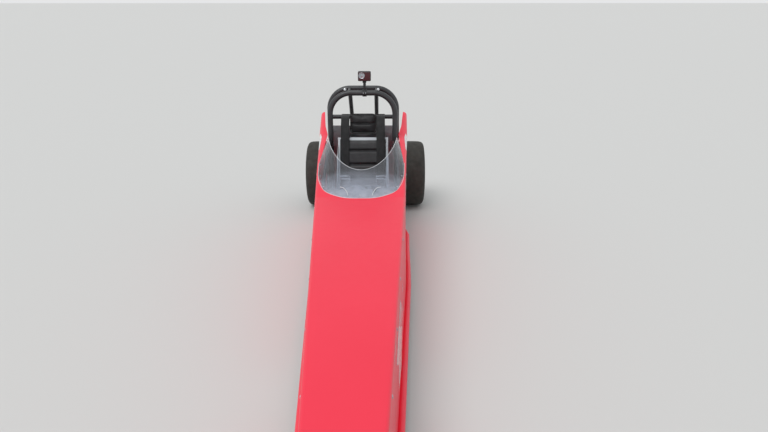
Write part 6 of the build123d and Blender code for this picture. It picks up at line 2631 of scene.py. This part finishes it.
@dataclass
class Engine:
    """What dresses the single-cylinder engine: plug, lead, carburettor, filter, tank, hoses."""

    crank_ahead: float = 330.0
    crank_height: float = 212.0
    cover_x: float = -120.5
    tank_ahead: float = 463.7
    tank_height: float = 600.0
    tank_radius: float = 55.0
    tank_half: float = 115.0

    def carburettor(self) -> None:
        """Build the carburettor and its oiled filter in place of the CAD node."""
        ahead, z = self.crank_ahead, 395.0
        build = bmesh.new()
        axle = placed(0.0, ahead, z)
        lathe(build,
              softened([(-63.7, 16.0), (-63.7, 28.0), (-68.4, 28.0), (-69.0, 21.0), (-78.0, 19.0),
                        (-101.0, 19.5), (-101.0, 12.0)], 1.5, 3), axle, 40)
        rounded_box(build, placed(-118.0, ahead, z + 4.0), (34.0, 46.0, 57.0), 5.0, steps=3)
        rounded_box(build, placed(-118.0, ahead, z + 32.0), (30.0, 30.0, 6.0), 2.0, steps=2)
        bowl = aimed(at(-118.0, ahead, z - 24.0), DOWN)
        lathe(build,
              softened([(-1.0, 21.0), (3.0, 21.0), (3.6, 18.4), (17.0, 17.6), (22.0, 13.0), (22.0, 5.5),
                        (24.6, 5.0), (24.6, 0.0)], 1.4, 3), bowl, 40)
        lathe(build, [(-134.0, 16.0), (-134.0, 24.0), (-137.0, 24.5), (-139.0, 23.0), (-139.0, 14.0)], axle,
              40)
        piece("carburettor_body", build, "cast_alloy", FINISH.cast_alloy, replaces=["carburettor"],
              sharp=35.0)

        build = bmesh.new()
        pleats = 40
        folds = [(28.6 if k % 2 else 25.4, math.pi * k / pleats) for k in range(2 * pleats)]
        rings = []
        for x, swell in ((-138.5, 0.92), (-141.0, 1.0), (-157.0, 1.0), (-159.5, 0.92)):
            rings.append([
                build.verts.new(axle @ Vector((
                    x * MM, radius * swell * MM * math.cos(turn), radius * swell * MM * math.sin(turn))))
                for radius, turn in folds])
        bridge(build, rings)
        piece("intake_filter_gauze", build, "black_plastic", FINISH.filter_gauze, sharp=None, smooth=False)
        build = bmesh.new()
        for start, end in ((-138.0, -141.5), (-156.5, -161.0)):
            lathe(build, softened([(start, 0.0), (start, 29.6), (end, 29.6), (end, 0.0)], 1.2, 3), axle, 44)
        piece("intake_filter_rings", build, "black_plastic", FINISH.edge_rubber, sharp=35.0)

        build = bmesh.new()
        pivot = at(-118.0, ahead + 24.0, z + 10.0)
        lathe(build, softened([(0.0, 0.0), (0.0, 7.0), (3.0, 7.0), (6.0, 4.5), (6.0, 0.0)], 0.6, 2),
              aimed(pivot, FORWARD), 20)
        rounded_box(build, Matrix.Translation(pivot + Vector((0.0, -0.003, 0.012))), (6.0, 2.0, 26.0), 0.8,
                    steps=2)
        for x in (-112.0, -124.0):
            lathe(build, softened([(0.0, 0.0), (0.0, 3.4), (4.0, 3.4), (4.6, 2.8), (4.6, 0.0)], 0.4, 2),
                  aimed(at(x, ahead, z + 34.8), UP), 12)
        piece("throttle_arm", build, "steel", FINISH.turned_brass, sharp=35.0)

    def lines(self) -> None:
        """Run the plug lead, fuel hose, throttle cable and brake line, each held at both ends."""
        ahead = self.crank_ahead
        build = bmesh.new()
        hose(build,
             [(0.0, ahead + 107.0, 476.0), (-6.0, ahead + 121.0, 484.0), (-32.0, ahead + 130.0, 476.0),
              (-66.0, ahead + 122.0, 430.0), (-92.0, ahead + 100.0, 360.0), (-98.0, ahead + 82.0, 312.0),
              (-98.0, ahead + 74.0, 292.0)], 3.5, 12)
        piece("plug_lead", build, "black_plastic", FINISH.plug_lead)
        build = bmesh.new()
        hose(build,
             [(-84.0, self.tank_ahead, 538.0), (-85.0, self.tank_ahead - 2, 520.0),
              (-96.0, self.tank_ahead - 18, 488.0), (-112.0, self.tank_ahead - 62, 446.0),
              (-118.0, self.tank_ahead - 94, 412.0), (-118.0, ahead + 33.0, 388.0),
              (-118.0, ahead + 20.0, 384.0)], 4.6, 12)
        piece("fuel_hose", build, "black_plastic", FINISH.fuel_hose)
        build = bmesh.new()
        hose(build,
             [(-118.0, ahead + 29.0, 428.0), (-119.0, ahead + 48.0, 429.0), (-138.0, ahead + 100.0, 420.0),
              (-158.0, ahead + 150.0, 396.0), (-160.0, ahead + 178.0, 386.0),
              (-160.0, ahead + 188.5, 385.0)], 2.6, 10)
        hose(build,
             [(-100.0, -86.0, 274.0), (-101.0, -84.0, 288.0), (-112.0, -66.0, 297.0),
              (-136.0, -20.0, 268.0), (-146.0, 30.0, 190.0), (-149.0, 90.0, 126.0), (-150.0, 180.0, 108.0),
              (-150.0, 300.0, 107.0), (-150.0, 420.0, 112.0), (-150.0, 490.0, 124.0),
              (-150.0, 518.5, 130.0)], 2.6, 10)
        piece("control_cable_and_brake_line", build, "black_plastic", FINISH.edge_rubber)
        build = bmesh.new()
        for spot, direction in (
                (at(-84.0, self.tank_ahead, 546.0), DOWN),
                (at(-160.0, ahead + 180.0, 386.0), FORWARD),
                (at(-150.0, 510.0, 129.0), FORWARD),
                (at(-100.0, -86.0, 275.0), UP),
                (at(-118.0, ahead + 22.5, 385.0), Vector((0.0, -1.0, 0.35)))):
            lathe(build,
                  softened([(-2.0, 0.0), (-2.0, 6.4), (2.4, 6.4), (2.6, 4.4), (9.0, 4.0), (9.4, 0.0)], 0.5,
                           2), aimed(spot, direction), 16)
        piece("line_fittings", build, "steel", FINISH.turned_brass, sharp=30.0)

    def plug(self) -> None:
        """Build the spark plug, its cap and the coil that feeds it."""
        ahead = self.crank_ahead
        direction = Vector((0.0, -0.82, 0.57)).normalized()
        seat = at(0.0, ahead + 61.0, 444.0)
        build = bmesh.new()
        frame = aimed(seat, direction)
        lathe(build, [(-4.0, 0.0), (-4.0, 10.5), (2.0, 10.5), (2.0, 0.0)], frame, 24)
        hexagon(build, aimed(seat + direction * 2.0 * MM, direction), 18.0, 10.0)
        lathe(build, softened([(11.0, 0.0), (11.0, 6.0), (22.0, 5.2), (26.0, 4.2), (26.0, 0.0)], 0.8, 3),
              frame, 24, 1)
        lathe(build,
              softened([(24.0, 0.0), (24.0, 8.6), (40.0, 8.2), (50.0, 6.4), (56.0, 5.2), (56.0, 0.0)], 1.2,
                       3), frame, 24, 2)
        piece("spark_plug", build, "steel", FINISH.zinc_steel, FINISH.plug_ceramic, FINISH.edge_rubber,
              sharp=35.0)
        build = bmesh.new()
        place = placed(-98.0, ahead + 66.0, 282.0)
        rounded_box(build, place, (34.0, 30.0, 24.0), 5.0, steps=3)
        rounded_box(build, placed(-98.0, ahead + 52.0, 270.0), (40.0, 14.0, 10.0), 1.5, steps=2)
        piece("ignition_coil", build, "black_plastic", FINISH.moulded_nylon, sharp=35.0)

    def cover(self, trees: Trees) -> None:
        """Dress the flywheel cover: louvres, a rolled rim and screws.

        Args:
            trees: The trees that repeat small pieces.
        """
        centre = (self.crank_ahead, self.crank_height)
        build = bmesh.new()
        count = 18
        for index in range(count):
            turn = 2 * math.pi * index / count
            spot = at(self.cover_x - 1.4, centre[0] + 48.0 * math.cos(turn),
                      centre[1] + 48.0 * math.sin(turn))
            place = Matrix.Translation(spot) @ Matrix.Rotation(math.pi - turn, 4, "X")
            rounded_box(build, place, (3.4, 38.0, 4.4), 1.4, steps=2)
        frame = placed(0.0, *centre)
        for radius in (27.0, 70.0, 82.0):
            lathe(build,
                  softened([(self.cover_x + 1.0, radius - 2.6), (self.cover_x - 2.8, radius - 2.0),
                            (self.cover_x - 2.8, radius + 1.4), (self.cover_x + 1.0, radius + 2.0)], 1.0, 3,
                           closed=True), frame, 72, closed=True)
        piece("flywheel_cover_louvres", build, "black_plastic", FINISH.moulded_nylon, sharp=35.0)
        fasten(trees, "flywheel_cover_screws", Body.CHASSIS,
               ring_spots(self.cover_x, centre, 76.0, 6, -1.0, 0.25), Fastener.BUTTON_SCREW, 0.8)

    def tank(self, trees: Trees) -> None:
        """Build the spun tank, its bands and its cap in place of the CAD cylinder.

        Args:
            trees: The trees that repeat small pieces.
        """
        build = bmesh.new()
        frame = placed(0.0, self.tank_ahead, self.tank_height)
        r, half = self.tank_radius, self.tank_half
        profile = [(-half, 0.0), (-half, r - 16.0), (-half + 3.0, r - 8.0), (-half + 8.0, r - 2.4),
                   (-half + 13.0, r - 1.0), (-half + 14.0, r - 0.2), (-half + 17.0, r - 0.2),
                   (-half + 18.0, r - 1.0)]
        lathe(build, profile + [(-x, radius) for x, radius in reversed(profile)], frame, 72)
        piece("spun_fuel_tank", build, "sheet_aluminium", FINISH.polished_alloy, replaces=["fuel_tank"],
              sharp=30.0)
        build = bmesh.new()
        for x in (-72.0, 72.0):
            lathe(build,
                  softened([(x - 9.0, r - 1.0), (x - 9.0, r + 0.6), (x + 9.0, r + 0.6), (x + 9.0, r - 1.0)],
                           0.5, 2, closed=True), frame, 72, closed=True)
            rounded_box(build, placed(x, self.tank_ahead + 40.0, self.tank_height - 44.0),
                        (18.0, 30.0, 9.0), 2.0, steps=2)
        piece("tank_bands", build, "steel", FINISH.zinc_steel, sharp=30.0)
        build = bmesh.new()
        neck = aimed(at(30.0, self.tank_ahead, self.tank_height + r - 3.0), UP)
        rings = []
        ribs = 30
        profile = softened([(0.0, 18.0), (6.0, 18.0), (6.4, 21.5), (17.0, 21.5), (19.5, 18.0), (19.5, 1.0)],
                           1.4, 3)
        for along, radius in profile:
            rings.append([
                build.verts.new(neck @ (Vector((along, size * math.cos(turn), size * math.sin(turn))) * MM))
                for size, turn in ((radius - (0.9 if radius > 21 and k % 2 else 0.0), math.pi * k / ribs)
                                   for k in range(2 * ribs))])
        bridge(build, rings, capped=False)
        build.faces.new(rings[-1])
        piece("tank_filler_cap", build, "black_plastic", FINISH.moulded_nylon, sharp=35.0)
        self.bolts(trees)

    def bolts(self, trees: Trees) -> None:
        """Set the engine's bolts: head, flange, mounts, clutch cover and caliper.

        Args:
            trees: The trees that repeat small pieces.
        """
        ahead = self.crank_ahead
        spots = [(at(x, ahead + run, 450.1), UP) for x in (-56.0, 56.0) for run in (-50.0, 50.0)]
        spots += [(at(x, ahead + run, 110.4), UP) for x in (-104.0, 104.0) for run in (-64.0, 0.0, 64.0)]
        spots += [(at(side * 22.0, 260.6, 392.0 + lift), REARWARD) for side in (1, -1) for lift in (-13, 13)]
        spots += [(at(x, -108.9, 240.6 + lift), REARWARD) for x in (-114.0, -86.0) for lift in (-26, 26)]
        spots += [(at(side * 60.0, ahead + run, 300.1), UP) for side in (1, -1) for run in (-68.0, 68.0)]
        fasten(trees, "engine_bolts", Body.CHASSIS, spots, Fastener.HEX_BOLT, 0.85)

    def exhaust(self) -> None:
        """Bend the open pipe, and add its flange, springs, slip collar and rolled lip."""
        line = [at(0.0, 263.0, 392.0), at(0.0, 244.0, 392.0), at(0.0, 229.0, 392.0), at(-3.0, 216.0, 393.6),
                at(-12.0, 203.0, 399.5), at(-36.0, 181.0, 412.0), at(-60.0, 158.0, 425.0),
                at(-74.0, 143.0, 431.2), at(-84.0, 118.0, 438.0), at(-102.0, 68.0, 453.5),
                at(-119.0, 22.0, 469.0), at(-122.5, 0.0, 475.0), at(-128.0, -46.0, 486.5),
                at(-135.0, -100.0, 500.0)]
        path = smooth_path(line, 4)
        build = bmesh.new()
        tube(build, path, 15.0 * MM, 36)
        mouth = min((face for face in build.faces if len(face.verts) > 4),
                    key=lambda face: (face.calc_center_median() - path[-1]).length)
        bmesh.ops.inset_individual(build, faces=[mouth], thickness=1.8 * MM)
        for first, second in zip(path[:-16:-1], path[-2:-17:-1]):
            mouth = bmesh.ops.extrude_discrete_faces(build, faces=[mouth])["faces"][0]
            bmesh.ops.translate(build, vec=second - first, verts=mouth.verts)
        rounded_box(build, placed(0.0, 263.7, 392.0), (58.0, 6.0, 44.0), 2.4, steps=3)
        piece("bent_exhaust_pipe", build, "steel", FINISH.hot_pipe, replaces=["exhaust_pipe"], sharp=40.0)
        build = bmesh.new()
        collar = at(-12.0, 212.0, 395.0)
        run = (at(-70.0, 150.0, 430.0) - at(0.0, 220.0, 392.0)).normalized()
        lathe(build, softened([(-14.0, 14.6), (-13.0, 16.6), (13.0, 16.6), (14.0, 14.6)], 1.0, 3),
              aimed(collar, run), 40)
        end = at(-135.0, -100.0, 500.0)
        out = (at(-135.0, -100.0, 500.0) - at(-120.0, 20.0, 470.0)).normalized()
        lathe(build, softened([(-5.0, 14.9), (-4.0, 16.4), (0.4, 16.8), (1.2, 15.2), (-1.0, 13.6)], 0.8, 3),
              aimed(end, out), 40)
        piece("exhaust_collar_and_lip", build, "steel", FINISH.hot_pipe, sharp=40.0)
        build = bmesh.new()
        for side in (1, -1):
            start, finish = at(side * 20.0, 262.0, 408.0), at(-12.0 + side * 17.0, 206.0, 404.0)
            axis = (finish - start).normalized()
            across = axis.orthogonal().normalized()
            other = axis.cross(across)
            length = (finish - start).length
            coil = []
            for index in range(97):
                share = index / 96
                turn = share * 2 * math.pi * 12
                radius = (3.2 if 0.08 < share < 0.92 else 1.2) * MM
                coil.append(
                    start + axis * length * share + (
                        across * math.cos(turn) + other * math.sin(turn)) * radius)
            tube(build, coil, 0.8 * MM, 6)
        piece("exhaust_springs", build, "steel", FINISH.zinc_steel, sharp=None)

    def make(self, trees: Trees) -> None:
        """Dress the whole engine.

        Args:
            trees: The trees that repeat small pieces.
        """
        self.carburettor()
        self.plug()
        self.lines()
        self.cover(trees)
        self.tank(trees)
        self.exhaust()


# Front end and camera

@dataclass
class FrontEnd:
    """The nuts at both ends of the two kingpins."""

    kingpin_x: float = 200.0
    kingpin_top: float = 304.5
    kingpin_foot: float = 195.5

    def make(self, trees: Trees) -> None:
        """Build the nuts on both sides.

        Args:
            trees: The trees that repeat small pieces.
        """
        for side, body in ((Side.LEFT, Body.KNUCKLE_LEFT), (Side.RIGHT, Body.KNUCKLE_RIGHT)):
            x = side.value * self.kingpin_x
            spots = [(at(x, WHEELBASE, self.kingpin_top), UP),
                     (at(x, WHEELBASE, self.kingpin_foot), DOWN)]
            fasten(trees, "kingpin_nuts_" + side.name.lower(), body, spots, Fastener.HEX_BOLT, 1.2)


@dataclass
class OnboardCamera:
    """The small camera on the front hoop: bevelled case, dark red face, one lens, a split clamp."""

    x: float = 13.0
    ahead: float = 660.0
    case_z: float = 1006.3
    case_mm: tuple[float, float, float] = (74.0, 40.0, 54.0)
    hoop_z: float = 911.1

    def make(self, trees: Trees) -> None:
        """Build the camera in place of its CAD node.

        Args:
            trees: The trees that repeat small pieces.
        """
        width, depth, height = self.case_mm
        build = bmesh.new()
        rounded_box(build, placed(self.x, self.ahead - 1.5, self.case_z), (width, depth - 4.0, height), 6.0,
                    steps=4)
        rounded_box(build, placed(self.x + 14.0, self.ahead - 4.0, self.case_z + height / 2 - 0.4),
                    (20.0, 10.0, 1.6), 0.6, steps=2)
        rounded_box(build, placed(self.x + width / 2 - 0.4, self.ahead - 3.0, self.case_z + 4.0),
                    (1.6, 9.0, 16.0), 0.6, steps=2)
        rounded_box(build, placed(self.x, self.ahead - 1.0, self.case_z - height / 2 - 4.0),
                    (22.0, 22.0, 9.0), 2.0, steps=2)
        piece("camera_case", build, "black_plastic", FINISH.moulded_nylon, replaces=["onboard_camera"],
              sharp=35.0)
        front = self.ahead + depth / 2
        build = bmesh.new()
        rounded_box(build, placed(self.x, front - 3.4, self.case_z), (width - 7.0, 4.0, height - 7.0), 1.8,
                    steps=3)
        piece("camera_face", build, "black_plastic", FINISH.red_nylon, sharp=35.0)
        build = bmesh.new()
        lens = aimed(at(self.x - 15.2, front - 1.6, self.case_z + 5.0), FORWARD)
        lathe(build, softened([(-2.0, 0.0), (-2.0, 17.6), (3.6, 17.6), (4.4, 16.2), (3.0, 14.4)], 0.8, 3),
              lens, 48)
        lathe(build, [(3.0, 14.6), (2.4, 10.0), (3.4, 6.2), (4.2, 3.0), (4.4, 0.0)], lens, 48, 1)
        piece("camera_lens", build, "black_plastic", FINISH.zinc_steel, FINISH.lens_glass, sharp=40.0)
        build = bmesh.new()
        rounded_box(build, placed(self.x, self.ahead, 951.0), (15.0, 15.0, 46.0), 3.0, steps=3)
        frame = placed(self.x, self.ahead, self.hoop_z)
        lathe(build,
              softened([(-12.0, 16.4), (-12.0, 20.9), (12.0, 20.9), (12.0, 16.4)], 1.4, 3, closed=True),
              frame, 48, closed=True)
        rounded_box(build, placed(self.x, self.ahead - 1.0, 973.5), (20.0, 20.0, 10.0), 2.4, steps=3)
        piece("camera_clamp", build, "black_plastic", FINISH.moulded_nylon, sharp=35.0)
        spots = [(at(self.x + x, self.ahead + 20.4, self.hoop_z + 2.0), Vector((0.0, -1.0, 0.1)))
                 for x in (-6.5, 6.5)]
        spots.append((at(self.x + 7.4, self.ahead, 973.5 - 14.0), LEFT))
        fasten(trees, "camera_clamp_screws", Body.CHASSIS, spots, Fastener.BUTTON_SCREW, 0.6)


# CAD nodes that stay, with the finish each one gets.
KEPT_NODES: dict[str, str] = {
    "hood": "body_paint", "side_panel_left": "body_paint", "side_panel_right": "body_paint",
    "cockpit_side_left": "body_paint", "cockpit_side_right": "body_paint",
    "belly_pan": "rubbed_sheet", "firewall": "rubbed_sheet", "dash_panel": "rubbed_sheet",
    "seat_shell": "rubbed_sheet", "engine_plate": "rubbed_sheet", "axle_carriers": "rubbed_sheet",
    "windscreen": "clear_sheet",
    "frame_rails": "frame_coat", "frame_braces": "frame_coat", "front_hoop": "frame_coat",
    "rear_hoop": "frame_coat", "cage_braces": "frame_coat", "tail_tabs": "frame_coat",
    "front_struts": "frame_coat", "knuckle_left": "zinc_steel", "knuckle_right": "zinc_steel",
    "tie_rod": "zinc_steel", "front_wheel_left": "black_disc", "front_wheel_right": "black_disc",
    "rear_wheels": "polished_alloy", "rear_axle": "zinc_steel", "axle_sprocket": "oiled_steel",
    "brake_caliper": "cast_alloy", "brake_disc": "ground_iron", "crankcase": "cast_alloy",
    "cylinder": "cast_alloy", "flywheel_cover": "moulded_nylon", "drive_clutch": "polished_alloy",
    "driven_pulley": "polished_alloy", "jackshaft": "zinc_steel", "drive_belt": "belt_rubber",
    "steering_shaft": "zinc_steel",
}


def dress_kept_nodes(nodes: dict[str, bpy.types.Object]) -> None:
    """Give each CAD node that stays in view its finish.

    Args:
        nodes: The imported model's objects by node name.
    """
    for name, finish_name in KEPT_NODES.items():
        obj = nodes[name]
        finish = getattr(FINISH, finish_name)
        if not obj.material_slots:
            obj.data.materials.append(finish.material())
        for held in obj.material_slots:
            held.material = finish.material()
        LOG.info("%s keeps its CAD shape in %s", name, finish.name)


def main() -> None:
    """Build the looks in order: stage, running gear, body, cockpit, engine."""
    logging.basicConfig(level=logging.INFO, format="%(name)s: %(message)s")
    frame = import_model()
    trees = Trees()
    Stage().set_up()
    dress_kept_nodes(frame["nodes"])
    RearWheels().make(trees)
    FrontWheels().make(trees)
    BodySkin().make(trees)
    FrameDetail().make(trees)
    seat = SeatPads()
    seat.make(trees)
    Harness().make(seat)
    SteeringWheel().make(trees)
    Drive().make(trees)
    Engine().make(trees)
    FrontEnd().make(trees)
    OnboardCamera().make(trees)
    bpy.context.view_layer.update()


if __name__ == "__main__":
    main()
